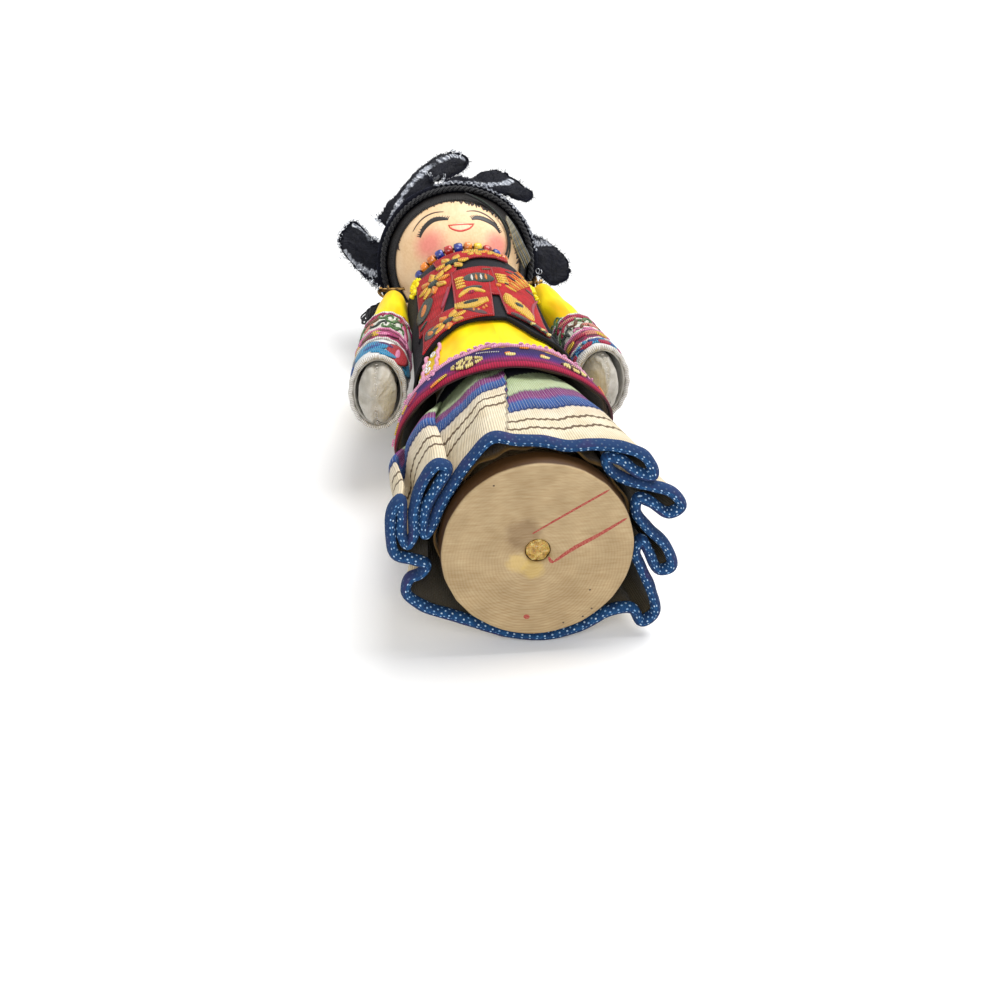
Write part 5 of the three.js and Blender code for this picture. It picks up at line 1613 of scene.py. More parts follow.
PALE_BROCADE = brocade("pale_green_brocade", "efeee2", "c9cfae", 0.57)
BURGUNDY_BROCADE = brocade("burgundy_brocade", "5c0f33", "a3204f", 0.52)
WHITE_BROCADE = brocade("white_leaf_brocade", "f4f3f0", "dfe3ec", 0.6)
CUFFS = {
    "lower": (WHITE_BROCADE, "cuff_blue_leaf"),
    "middle": (BURGUNDY_BROCADE, "cuff_burgundy"),
    "upper": (PALE_BROCADE, "cuff_green_scroll"),
}
CUFF_WIDTHS = {"right": (11.6, 6.4, 13.0), "left": (5.6, 6.4, 13.0)}


def cuff_places(side):
    foot = ARM_LENGTH[side]
    for level, wide in zip(CUFFS, CUFF_WIDTHS[side]):
        yield level, foot - wide + 0.3, foot
        foot -= wide


def cuff_ripple(angle, below):
    return 0.1 * lump(angle / 14, below / 3, 2)


def make_cuff(side, level, top, foot):
    wide = foot - top
    cloth, slot = CUFFS[level]
    piece = Piece(f"{level}_cuff_{side}")
    steps = 10
    rows = []
    for k in range(steps + 1):
        swell = 0.14 * math.sin(math.pi * k / steps) ** 0.5
        rows.append(ring_of(side, top + wide * k / steps, 0.75 + swell, 96, cuff_ripple))
    piece.rows(rows, cloth, lambda r, c: (c * 0.5, r * wide / steps), True)
    made = piece.make(
        f"arm_{side}", f"cuff_{level}_{side}", slot=slot, thickness=0.4, smooth=180, inside=SLEEVE_LINING
    )


for side in SIDE:
    for level, top, foot in cuff_places(side):
        make_cuff(side, level, top, foot)

# %% [markdown]
# The marks on the cuffs are placed by an angle round the arm and a distance below the shoulder. Both wrists
# end in a rolled white edge, and a pink or white braid lies over each seam between two cuffs.
# %% Marks of the cuffs
MARKS = {
    "right": {
        "lines": [
            ([(-34, 26.2), (-48, 29.4), (-62, 36)], 1.3, "crimson"),
            ([(-40, 30.6), (-52, 34.4), (-64, 41)], 1.1, "pink"),
        ],
        "scrolls": [
            (-30, 34.6, 2.0, "leafgreen"), (22, 27.4, 1.9, "crimson"), (-40, 28.5, 1.7, "leafgreen"),
            (-22, 31, 2.0, "leafgreen"), (-2, 28.6, 1.7, "leafgreen"), (12, 33.4, 1.9, "green"),
            (-12, 35.2, 1.6, "leafgreen"), (60, 30, 1.9, "leafgreen"), (84, 33, 1.9, "green"),
        ],
        "petals": [],
        "blobs": [
            (-36, 29.0, 3.0, 2.0, "crimson", 30), (-52, 24.8, 4.0, 1.6, "crimson", -20),
            (-46, 26.6, 3.2, 1.2, "pink", -20), (24, 30, 3.2, 1.8, "brown", 20),
            (34, 33, 3.6, 2.0, "salmon", 30), (40, 29, 3.0, 1.4, "brown", 30),
            (-16, 40.6, 5.8, 3.2, "magenta", 10), (-4, 41.0, 4.2, 2.4, "pink", -10),
            (-45, 40, 3.6, 1.6, "pink", 0), (12, 40.4, 2.6, 3.4, "gold", 0), (30, 40.6, 4.0, 2.6, "brown", 0),
            (-30, 40.2, 2.6, 2.0, "crimson", 0), (18, 49.6, 10.4, 6.2, "skyblue", 4),
            (13, 49.8, 5.0, 3.2, "blue", 4), (27, 49.2, 4.4, 2.8, "paleblue", 8),
            (-10, 48.6, 5.2, 3.0, "purple", 0), (-6, 53.0, 5.4, 2.6, "skyblue", 0),
            (58, 48.6, 8.4, 3.4, "greyblue", -18), (80, 50.0, 6.6, 3.6, "blue", -10),
            (-42, 50.6, 11.0, 7.4, "red", 86), (-40, 50.4, 6.0, 2.4, "pink", 86),
            (-22, 54.0, 5.0, 3.4, "skyblue", 20), (-70, 50.0, 8.0, 5.6, "skyblue", 80),
            (62, 41, 3.6, 2.4, "gold", 0), (110, 50, 8.0, 4.0, "teal", 0),
        ],
    },
    "left": {
        "lines": [
            ([(-60, 36.6), (-38, 33.2), (-10, 32.6)], 1.3, "crimson"),
            ([(-56, 40.6), (-38, 36.4), (-8, 36.0)], 1.3, "crimson"),
            ([(-10, 43.2), (2, 44.0), (12, 43.0)], 0.8, "pink"),
            ([(-30, 43.2), (-22, 42.2), (-14, 43.2)], 0.8, "pink"),
        ],
        "scrolls": [
            (-70, 31.4, 1.9, "leafgreen"), (-52, 30.8, 1.9, "leafgreen"), (-62, 39.4, 1.9, "leafgreen"),
            (-44, 40.6, 1.7, "green"), (-15, 38.4, 1.9, "brown"), (-8, 41.4, 1.7, "brown"),
            (-66, 35.6, 2.6, "green"), (-50, 33.0, 2.4, "leafgreen"), (-60, 42.6, 2.6, "green"),
            (8, 36.6, 1.9, "leafgreen"), (34, 39, 1.9, "leafgreen"), (60, 37, 1.9, "green"),
            (88, 38, 1.9, "leafgreen"),
        ],
        "petals": [
            (-62, 54.4, 6.4, 5.0, ("blue", "skyblue"), "crimson"),
            (-26, 54.2, 6.2, 4.8, ("skyblue", "blue"), "crimson"),
            (12, 54.2, 6.0, 4.8, ("skyblue", "blue"), "crimson"),
            (50, 54.2, 6.0, 4.8, ("blue", "skyblue"), "magenta"),
        ],
        "blobs": [
            (-30, 34.8, 7.0, 1.5, "salmon", 4), (6, 34.0, 5.4, 2.4, "crimson", 8),
            (14, 40.6, 5.4, 2.2, "salmon", -8), (-55, 47.6, 5.2, 3.2, "gold", 0),
            (-55, 47.6, 2.4, 1.6, "green", 0), (-26, 47.0, 6.4, 2.6, "crimson", 4),
            (0, 47.0, 5.4, 2.8, "salmon", -4), (22, 47.0, 4.0, 2.6, "gold", 0),
            (-90, 54.2, 5.0, 3.4, "crimson", 60), (100, 54.2, 6.0, 3.4, "blue", 0),
        ],
    },
}
SCROLL = (
    (-1.0, -0.9, 0.3), (-1.1, 0.2, 0.55), (-0.2, 0.7, 0.7), (0.2, -0.3, 0.7), (1.0, -0.7, 0.55),
    (1.2, 0.5, 0.3),
)


# %% Scrolls, leaves and braids
def arm_spot(side, angle, below):
    surface = arm(side)
    return on(lambda a, b, lift: surface(a, b, 1.0 + lift), angle, below)


def fan(piece, place, wide, tall, hues, heart):
    """Five petals over half a circle, with a heart at their foot."""
    for k in range(5):
        t = math.pi * k / 4 - math.pi / 2
        x, y = math.sin(t) * wide, -math.cos(t) * tall * 0.6
        points = [(0.3 * x, 0.3 * y, 0.4), (0.7 * x, 0.8 * y, 1.7), (x, y, 0.4)]
        stitch(piece, place, points, hues[k % 2], 0.34)
    blob(piece, place, 0, 0, 0.62 * wide, 0.5 * tall, heart, height=0.45)


def sew_marks(side):
    piece = Piece(f"cuff_embroidery_{side}")
    marks = MARKS[side]
    surface = arm(side)
    for line, wide, hue in marks["lines"]:
        a, b = line[0]
        per_degree = (surface(a + 1, b, 1) - surface(a, b, 1)).length
        points = [((p - a) * per_degree, q - b, wide) for p, q in line]
        stitch(piece, arm_spot(side, a, b), points, hue, 0.3)
    for a, b, size, hue in marks["scrolls"]:
        points = [(SIDE[side] * x * size, y * size, w * size * 0.8) for x, y, w in SCROLL]
        stitch(piece, arm_spot(side, a, b), points, hue, 0.3, steps=3)
    for a, b, *facts in marks["petals"]:
        fan(piece, arm_spot(side, a, b), *facts)
    for a, b, *facts in marks["blobs"]:
        blob(piece, arm_spot(side, a, b), 0, 0, *facts)
    piece.make(f"arm_{side}", smooth=180)


def braid_round(piece, side, below, radius, hue, lift):
    path = ring_of(side, below, lift, 72, lambda a, b: 0.12 * math.sin(a / 3.4))
    surface = arm(side)
    ups = [(surface(5 * i, below, 2) - surface(5 * i, below, 1)).normalized() for i in range(72)]
    tube(piece, path, radius, THREADS[hue], 8, True, ups=ups)


for side in SIDE:
    sew_marks(side)
    braids = Piece(f"cuff_braids_{side}")
    foot = ARM_LENGTH[side]
    first, second, third = (foot - sum(CUFF_WIDTHS[side][:k]) for k in (1, 2, 3))
    for below, radius, hue, lift in (
        (foot, 0.62, "white", 0.55), (first + 0.1, 0.38, "white", 1.0), (second, 0.4, "pink", 1.0),
        (third + 0.2, 0.45, "white", 0.85), (third + 1.3, 0.32, "magenta", 0.95),
        (first - 0.7, 0.3, "magenta", 1.0),
    ):
        braid_round(braids, side, below, radius, hue, lift)
    braids.make(f"arm_{side}", smooth=180)

# %% [markdown]
# ## Stuffed hands
# The hands are plain cotton, cut in two halves, sewn round the edge and stuffed, so they swell between the
# seams and pucker along them. The shape is blown up by Cloth pressure from the solid's own, in a copy
# twenty times as large, because the solver works best at that size, and the result is kept as a mesh.
# %% Hand cotton
def drawn_hand(tree, space):
    folds = noise_at(tree, space, 2.6, 4.0, (1, 1, 0.45))
    soil = noise_at(tree, space, 5.0, 3.0)
    colour = ramp(tree, soil, [(0.3, "b6b2a8"), (0.55, "c6c2b9"), (0.75, "d2cfc7")])
    threads = plus(tree, bands(tree, space, 0.42, "X"), bands(tree, space, 0.42, "Z"))
    height = plus(tree, times(tree, folds, 1.1), times(tree, threads, 0.03))
    # Painted shade: the cotton is tinted a little darker where the folds dip, as shade in the creases.
    return tint(tree, colour, folds, "d8d4cc", "ffffff"), height, None


HAND_COTTON = finish("hand_cotton", drawn_hand, own_uv=False, **{"Roughness": 0.95, "Sheen Weight": 0.1})
HAND_OUT = 6.0
SOLVER_SIZE = 20.0
SEAM_PITCH = 1.6


def hand_rings(side):
    length = ARM_LENGTH[side]
    sections = []
    for k in range(6):
        t = math.pi / 2 * (1 - k / 6)
        sections.append((-3.6 * math.sin(t), 2.7 * math.cos(t), 4.1 * math.cos(t)))
    for k in range(13):
        below = 0.6 * length * k / 12
        wide, deep = sleeve_axes(side, below)
        sections.append((below, min(wide - 1.0, 5.0), deep - 1.0))
    shape = [
        (0.85 * length, 4.4, 7.4), (length, 4.5, 8.1), (length + 0.35 * HAND_OUT, 4.35, 7.9),
        (length + 0.68 * HAND_OUT, 3.7, 7.0), (length + 0.88 * HAND_OUT, 2.5, 5.6),
        (length + 0.97 * HAND_OUT, 1.1, 3.2),
    ]
    sections += smooth_path([sections[-1]] + shape, 6)[1:]
    sections.append((length + 0.99 * HAND_OUT, 0, 0))
    return sections


def swollen(points, faces, pinned, limit):
    """The stuffed cloth after its solver has blown it up, with no point moved further than the limit."""
    mesh = bpy.data.meshes.new("stuffing")
    mesh.from_pydata([tuple(p * MM * SOLVER_SIZE) for p in points], [], faces)
    work = bpy.data.objects.new("stuffing", mesh)
    bpy.context.scene.collection.objects.link(work)
    group = work.vertex_groups.new(name="held")
    for i, weight in pinned.items():
        group.add([i], weight, "REPLACE")
    cloth = work.modifiers.new("Cloth", "CLOTH")
    cloth.settings.quality = 5
    cloth.settings.use_pressure = True
    cloth.settings.uniform_pressure_force = 6.0
    cloth.settings.vertex_group_mass = "held"
    cloth.settings.tension_stiffness = 12
    cloth.settings.bending_stiffness = 0.25
    cloth.settings.shrink_min = -0.05
    cloth.settings.effector_weights.gravity = 0
    cloth.collision_settings.use_self_collision = False
    scene = bpy.context.scene
    for step in range(1, 17):
        scene.frame_set(step)
    graph = bpy.context.evaluated_depsgraph_get()
    moved = work.evaluated_get(graph).to_mesh()
    out = []
    for p, vertex in zip(points, moved.vertices):
        shift = vertex.co / (MM * SOLVER_SIZE) - p
        out.append(p + shift * min(1.0, limit / max(shift.length, 1e-6)))
    scene.frame_set(1)
    bpy.data.objects.remove(work)
    return out


def hand_surface(side):
    """Rings of the hand, drawn in along the seam where its two halves are sewn."""
    steps = 56
    rings = []
    for below, wide, deep in hand_rings(side):
        x = arm_axis(side, below)
        out = min(1.0, max(0.0, below - ARM_LENGTH[side] + 3) / 4)
        row = []
        for t in circle(steps)[:steps if wide else 1]:
            seam = 0.9 * math.exp(-(math.sin(t) / 0.16) ** 2) * out
            pucker = 0.22 * out * lump(3 * math.cos(t), 3 * math.sin(t) + 4 * SIDE[side], below / 3.2)
            swell = pucker - seam
            across = (wide + swell) * math.cos(t + math.pi / 2)
            ahead = (deep + swell) * math.sin(t + math.pi / 2)
            row.append(Vector((SIDE[side] * (x + across), ahead, SHOULDER - below)))
        rings.append(row)
    return rings


def held_points(side, points):
    """The sleeve holds the hand above the wrist, and the seam gives less than the cloth beside it."""
    held = {}
    for i, p in enumerate(points):
        below = SHOULDER - p.z
        near_seam = abs(p.x / SIDE[side] - arm_axis(side, below)) < 0.9 and abs(p.y) > 1.5
        if below < ARM_LENGTH[side] - 2:
            held[i] = 1.0
        elif near_seam:
            held[i] = 0.75
    return held


def sew_hand_seam(side):
    stitches = Piece(f"hand_seam_{side}")
    end = [(below, deep) for below, _, deep in hand_rings(side) if below > ARM_LENGTH[side] - 0.5]
    seam = [
        Vector((SIDE[side] * arm_axis(side, below), way * (deep + 0.1), SHOULDER - below - 0.1))
        for way, half in ((-1, end), (1, end[::-1])) for below, deep in half
    ]
    at = lengths(seam)
    for k in range(int(at[-1] / SEAM_PITCH)):
        middle = point_at(seam, at, 0.6 + SEAM_PITCH * k)
        across = Vector((0.45, 0.25 * math.sin(5 * k), 0.0))
        path = [middle + s * across - Vector((0, 0, 0.1 * (1 - abs(s)))) for s in (-1, -0.4, 0.4, 1)]
        tube(stitches, path, 0.14, THREADS["white"], 6)
    stitches.make(f"arm_{side}", smooth=180)


def make_hand(side):
    piece = Piece(f"stuffed_hand_{side}")
    piece.rows(hand_surface(side), HAND_COTTON, lambda r, c: (c, r), True)
    held = held_points(side, piece.points)
    piece.points = swollen(piece.points, piece.faces, held, 0.45)
    made = piece.make(f"arm_{side}", f"stuffed_arm_{side}", slot="hand_cotton", smooth=180)
    sew_hand_seam(side)


for side in SIDE:
    make_hand(side)
# %% [markdown]
# ## Head and face
# The head is a turned ball, painted a warm cream. The face is painted as a doll's: arched dark eyes with
# lashes, thin brows, a small red mouth and soft pink cheeks. The blush fades out, so it is drawn in the
# paint's own finish by its distance from each cheek, and the rest is laid on as flat brush strokes.
# %% Face paint
CHEEKS = [(head(-39, -43), 8.0), (head(44, -43), 6.6)]


def drawn_face(tree, space):
    base = ramp(tree, noise_at(tree, space, 6.0), [(0.3, "edc99c"), (0.7, "f6d8b0")])
    for cheek, reach in CHEEKS:
        far = distance_to(tree, space, tuple(cheek))
        rough = plus(tree, far, times(tree, noise_at(tree, space, 1.5), 1.2))
        near = fade(tree, rough, 1.8, reach, 0.85, 0.0, "SMOOTHSTEP")
        base = blend_colours(tree, near, base, rgb(tree, "ea8580"))
    grain = noise_at(tree, space, 0.6, 3.0, (1, 1, 0.3))
    return tint(tree, base, grain, "f2ece4", "ffffff"), times(tree, grain, 0.06), None


def drawn_paint(colour, dark):
    def draw(tree, space):
        streak = noise_at(tree, space, 0.5, 3.0, (1, 0.25, 1))
        return ramp(tree, streak, [(0.3, dark), (0.65, colour)]), times(tree, streak, 0.05), None
    return draw


FACE_PAINT = finish("cream_face_paint", drawn_face, own_uv=False, **{
    "Roughness": 0.48, "Specular IOR Level": 0.35,
})
BLACK_PAINT = finish("black_brush_paint", drawn_paint("221a16", "0a0808"), **{"Roughness": 0.45})
BROWN_PAINT = finish("brown_brush_paint", drawn_paint("4a3024", "2c1a12"), **{"Roughness": 0.5})
RED_PAINT = finish("red_lip_paint", drawn_paint("dc4434", "c03426"), **{"Roughness": 0.4})
PALE_PAINT = finish("pale_lip_paint", drawn_paint("f8d2ae", "efbc98"), **{"Roughness": 0.45})
ball_rows = []
for k in range(65):
    latitude = -68 + 158 * k / 64
    ball_rows.append([head(360 * i / 96, latitude) for i in range(96 if k < 64 else 1)])
seat = [Vector((0, 0, NECK_TOP + 0.35))]
ball = Piece("painted_head")
ball.rows([seat] + ball_rows, FACE_PAINT, lambda r, c: (c, r), True)
ball.make("doll", "head_ball", slot="head_paint", smooth=60)

# %% Brush strokes of the face
# A stroke lies straight on the ball: its places are longitudes and latitudes, its widths millimetres.
EYES = (
    (-1, [(-43, -31.5), (-40, -28.6), (-34, -25.4), (-26, -23.4), (-20, -24.2), (-14, -26.6), (-11, -28.4)],
     [(-46, -21), (-38, -17.2), (-30, -15.2), (-21, -16), (-13, -19)]),
    (1, [(11, -29.4), (14, -27.4), (18, -25.8), (26, -25.6), (34, -26.6), (39, -29.2), (42, -31.4)],
     [(6, -21.2), (15, -19), (24, -20), (32, -22.8), (37, -25.6)]),
)
UPPER_LIP = [(-13, -34.4, 0.35), (-7, -35.3, 0.6), (0, -35.5, 0.5), (8, -35, 0.6), (14, -33.8, 0.35)]
LOWER_LIP = [(-12.4, -35, 0.35), (-9, -38.9, 0.6), (-1, -41.4, 0.7), (8, -39.2, 0.6), (13, -34.8, 0.35)]
LASHES = 15
face = Piece("painted_face")
for side, lid, brow in EYES:
    last = len(lid) - 1
    drawn = [(x, y - 0.5, 0.4 + 1.5 * math.sin(math.pi * k / last)) for k, (x, y) in enumerate(lid)]
    stitch(face, head, drawn, BLACK_PAINT, 0.1, 6, 8)
    arch = smooth_path(lid, 8)
    for k in range(LASHES):
        x, y = arch[3 * (k + 1)]
        lean = (x - 27 * side) * 0.09
        lash = [(x, y - 0.4, 0.42), (x + lean, y + 1.4, 0.3), (x + 2.1 * lean, y + 2.8, 0.06)]
        stitch(face, head, lash, BLACK_PAINT, 0.09, 3)
    drawn = [(x, y, 0.3 + 0.4 * math.sin(math.pi * k / 4)) for k, (x, y) in enumerate(brow)]
    stitch(face, head, drawn, BROWN_PAINT, 0.08, 6, 8)
blob(face, head, 0, -37.6, 20, 3.0, PALE_PAINT, 0, 0.07)
for lip in (UPPER_LIP, LOWER_LIP):
    stitch(face, head, lip, RED_PAINT, 0.12, 5, 8)
face.make("doll", slot="head_paint", smooth=180)

# %% [markdown]
# ## Hair
# The hair is black paint brushed over the crown, with a fringe of single strokes that end unevenly over
# the brow. The crown's axis leans back and to one side, square to the hairline.
# %% Painted hair
CROWN = Vector((0.092, 0.40, 1)).normalized()
CROWN_TURN = Vector((0, 0, 1)).rotation_difference(CROWN)


def on_crown(longitude, radius, depth):
    """The place on the crown at an angle round its axis and a distance below the head's centre."""
    ring = math.sqrt(max(radius * radius - depth * depth, 0))
    t = math.radians(longitude)
    return HEAD + CROWN_TURN @ Vector((ring * math.sin(t), -ring * math.cos(t), -depth))


def drawn_hair(tree, space):
    streak = bands(tree, space, 0.55, "X", 2.5)
    broad = noise_at(tree, space, 3.0, 2.0, (1, 0.2, 1))
    colour = ramp(tree, broad, [(0.3, "080606"), (0.7, "17110e")])
    height = plus(tree, times(tree, streak, 0.1), times(tree, broad, 0.25))
    return tint(tree, colour, streak, "9a9a9a", "ffffff"), height, None


HAIR_PAINT = finish("black_hair_paint", drawn_hair, **{"Roughness": 0.5, "Specular IOR Level": 0.25})
HAIRLINE_DEPTH = 9.7
HAIR_RADIUS, HAIR_INSIDE = 21.1, 20.75
HAIR_ROWS = 40


def down_to(depth, radius, share):
    """The latitude at a share of the way from the crown's top down to a depth below the centre."""
    return math.pi / 2 - (math.pi / 2 + math.asin(depth / radius)) * share


hair_rows = []
for k in range(HAIR_ROWS + 1):
    latitude = down_to(HAIRLINE_DEPTH, 21.25, k / HAIR_ROWS)
    ring = []
    for i in range(144 if k else 1):
        radius = HAIR_RADIUS + 0.12 * lump(i / 3.0, 1.5, k / 9)
        low = 0.35 * lump(i / 2.5, 3, 0) if k == HAIR_ROWS else 0
        ring.append(on_crown(2.5 * i, radius, -radius * math.sin(latitude) - abs(low)))
    hair_rows.append(ring)
for k in range(12, -1, -1):
    depth = -HAIR_INSIDE * math.sin(down_to(HAIRLINE_DEPTH, HAIR_INSIDE, k / 12))
    hair_rows.append([on_crown(2.5 * i, HAIR_INSIDE, depth) for i in range(144 if k else 1)])
hair = Piece("painted_hair")
hair.rows(hair_rows, HAIR_PAINT, lambda r, c: (c * 0.9, r * 0.8), True)
hair.make("doll", "hair", slot="hair_paint", smooth=80)

FRINGE = [
    (-66, -16), (-56, -9), (-44, -4.5), (-30, -4), (-18, -4.5), (-9, -4), (4, -8), (18, -12), (31, -14),
    (43, -17), (54, -24), (68, -30), (78, -32),
]
FRINGE_STROKES = 74


def fringe_foot(longitude):
    """The height of the hairline at a longitude, running straight on before the first corner."""
    for (a, low), (b, high) in zip(FRINGE, FRINGE[1:]):
        if longitude <= b:
            return low + (high - low) * (longitude - a) / (b - a)


fringe = Piece("brushed_fringe")
random.seed(23)
for k in range(FRINGE_STROKES):
    longitude = -68 + 146 * k / (FRINGE_STROKES - 1) + random.uniform(-0.8, 0.8)
    edge = fringe_foot(longitude) if longitude <= FRINGE[-1][0] else edge
    tip = edge - random.uniform(0.3, 4.2)
    sway = random.uniform(-1.2, 1.2)
    wide = random.uniform(0.6, 1.25)
    hair_stroke = [
        (longitude, edge + 7, wide), (longitude + 0.4 * sway, edge + 1.5, wide), (longitude + sway, tip, 0.1)
    ]
    stitch(fringe, head, hair_stroke, BLACK_PAINT if k % 4 else BROWN_PAINT, 0.16, 4, 6, lift=0.05)
fringe.make("doll", slot="hair_paint", smooth=180)

# %% [markdown]
# At the left side of the face a few long strands have come loose from the hair and catch the light.
# %% Loose strands
OLIVE_STRAND = finish("glossy_olive_strand", drawn_paint("a2946a", "4a4430"), **{"Roughness": 0.3})
GREY_STRAND = finish("glossy_grey_strand", drawn_paint("8b8e88", "34363a"), **{"Roughness": 0.3})
strands = Piece("loose_hair_strands")
for k in range(6):
    aside = 2.3 * k - 4.0
    line = [
        (40, -17 + 0.4 * aside, 0.25), (54, -28 + aside, 0.42), (68, -31 + 1.1 * aside, 0.42),
        (84, -27 + 1.4 * aside, 0.25),
    ]
    stitch(strands, head, line, (OLIVE_STRAND, GREY_STRAND)[k % 2], 0.3, 6, 6, lift=1.9)
strands.make("doll", slot="hair_paint", smooth=180)

# %% [markdown]
# ## Hat
# A cap of near-black velvet covers the crown, with a shiny twisted cord round it. Four stiff flaps stand
# up from the cap's edge, bound with silver lace that has loops and stray curls of thread. Velvet is dark
# where it is seen straight on and pale at its edges, which Sheen gives, and its pile shows at the rim.
# %% Velvet, cord and lace
def drawn_velvet(colour, dark):
    def draw(tree, space):
        pile = noise_at(tree, space, 0.45, 3.0)
        crush = noise_at(tree, space, 3.5, 3.0)
        shade = ramp(tree, crush, [(0.3, dark), (0.7, colour)])
        height = plus(tree, times(tree, pile, 0.35), times(tree, crush, 0.8))
        return shade, height, None
    return draw


def drawn_laced_velvet(tree, space):
    """Velvet with a band of crinkled silver lace, drawn by the distance from it in the piece's UV."""
    shade = ramp(tree, noise_at(tree, space, 3.5, 3.0), [(0.3, "05060d"), (0.7, "10121e")])
    frayed = times(tree, noise_at(tree, space, 0.9, 3.0, (1, 0.4, 1)), 2.0)
    ragged = plus(tree, part(tree, space, 1), frayed)
    laced = fade(tree, ragged, 1.9, 2.3, 1.0, 0.0)
    crinkle = noise_at(tree, space, 0.7, 4.0)
    lace = ramp(tree, crinkle, [(0.34, "24262e"), (0.46, "7c808a"), (0.56, "b9bdc6"), (0.68, "f2f4f8")])
    height = plus(tree, times(tree, laced, 0.5), times(tree, crinkle, 0.9))
    return blend_colours(tree, laced, shade, lace), height, None


BLACK_VELVET = finish("black_velvet", drawn_velvet("10121e", "05060d"), own_uv=False, **{
    "Roughness": 0.95, "Sheen Weight": 0.2, "Sheen Roughness": 0.35, "Sheen Tint": linear("8a90b0"),
    "Specular IOR Level": 0.15,
})
LACED_VELVET = finish("lace_on_black_velvet", drawn_laced_velvet, **{
    "Roughness": 0.8, "Specular IOR Level": 0.25,
})
GREY_FACING = finish("grey_glossy_facing", drawn_velvet("3c3e46", "181a20"), own_uv=False, Roughness=0.45)
BLACK_CORD = thread("black_glossy_cord", "15151b", "050508", 0.35)
for socket, value in (("Roughness", 0.4), ("Specular IOR Level", 0.35)):
    BLACK_CORD.node_tree.nodes["Principled BSDF"].inputs[socket].default_value = value
BAND_DEPTH = 3.3
BAND_CENTRE = 22.45
BAND_STRAND = 0.42
BAND_TWISTS = 44
cord = Piece("twisted_headband")
band_ring = math.sqrt(BAND_CENTRE ** 2 - BAND_DEPTH ** 2)
for strand in range(2):
    path = []
    for t in circle(720):
        twist = BAND_TWISTS * t + math.pi * strand
        radius = band_ring + BAND_STRAND * math.cos(twist)
        down = -BAND_DEPTH + BAND_STRAND * math.sin(twist)
        path.append(HEAD + CROWN_TURN @ Vector((radius * math.sin(t), -radius * math.cos(t), down)))
    tube(cord, path, 0.46, BLACK_CORD, 8, True)
cord.make("doll", "headband_cord", slot="black_cord", smooth=180)

CAP_ROWS = 32
cap_rows = []
for k in range(CAP_ROWS + 1):
    latitude = down_to(2.1, 22.4, k / CAP_ROWS)
    ring = []
    for i in range(120 if k else 1):
        t = i * math.pi / 60
        dent = 0.3 * lump(math.cos(t) * 2, math.sin(t) * 2, k / 7)
        radius = 22.25 + dent * math.sin(math.pi * k / CAP_ROWS)
        ring.append(on_crown(3 * i, radius, -radius * math.sin(latitude)))
    cap_rows.append(ring)
cap = Piece("velvet_cap")
cap.rows(cap_rows, BLACK_VELVET, lambda r, c: (c, r), True)
cap_piece = cap.make("doll", "hat_cap", slot="black_velvet", thickness=0.6, smooth=180)

brim = Piece("velvet_brim")
brim_path = []
for i, t in enumerate(circle(240)):
    bulge = 23.0 + 0.35 * lump(3 * math.cos(t), 3 * math.sin(t), 6)
    brim_path.append(on_crown(1.5 * i, bulge, 1.0))
tube(brim, brim_path, 1.25, BLACK_VELVET, 12, True)
brim_piece = brim.make("doll", slot="black_velvet", smooth=180)

# %% The hat's flaps
FLAPS = {
    "front": (-64, -13, (-3, -4, -2), [
        (-21.5, -12, 8.5), (-16.5, -15.2, 14.5), (-9.5, -18.8, 23), (-2.6, -22.4, 30),
        (4, -22.4, 34), (7, -20, 33.5), (3.3, -18.6, 27.5), (-5, -20, 16.5)]),
    "side": (-7, 34, (0, -2, 0), [
        (-1.5, -21, 13), (3.1, -20.8, 14), (9.7, -20.4, 13.5), (13.7, -21.9, 18),
        (19, -20, 14), (23.5, -17.3, 9), (20.8, -16.6, 5.5), (15.4, -19, 5.5)]),
    "right": (-74, -104, (-2, 0, 0), [
        (-24.6, -5.5, 8), (-26, -6, 11), (-29.5, -8.5, 15.5), (-33.2, -6, 13.5),
        (-33.8, -3, 9.5), (-31, 0.5, 6), (-27.5, 3, 1), (-24.4, 3.5, -5)]),
    "left": (70, 98, (1, 0, 1), [
        (24.2, -4.8, 3), (25.6, -4, 5.5), (29.7, -1, 8), (34, 3.5, 6),
        (33.5, 7, 2), (28.5, 7.4, -2), (25.4, 4, -4), (24.4, 2.5, -6.5)]),
}
LACE_LINES = {
    "front": [
        [(0.1, 0.0), (0.18, 0.02), (0.33, 0.15), (0.45, 0.33), (0.5, 0.5), (0.55, 0.7), (0.58, 0.88),
         (0.66, 0.95)],
    ],
    "side": [[(0.1, 0.05), (0.5, 0.04), (0.65, 0.12), (0.65, 0.4), (0.6, 0.8)]],
    "right": [
        [(0.0, 0.9), (0.14, 0.95), (0.28, 0.92)], [(0.6, 0.86), (0.7, 0.7), (0.76, 0.42), (0.76, 0.05)]
    ],
    "left": [[(0.22, 0.0), (0.25, 0.3), (0.25, 0.62), (0.3, 0.95)]],
}
FOOT_RADIUS = 23.35
FOOT_DEPTH = 0.9


def crown_point(longitude, radius, depth):
    t = math.radians(longitude)
    level = CROWN.x * math.sin(t) - CROWN.y * math.cos(t)
    reach = math.hypot(level, CROWN.z)
    latitude = math.atan2(CROWN.z, level) - math.acos(-depth / radius / reach)
    out = radius * math.cos(latitude)
    return HEAD + Vector((out * math.sin(t), -out * math.cos(t), radius * math.sin(latitude)))


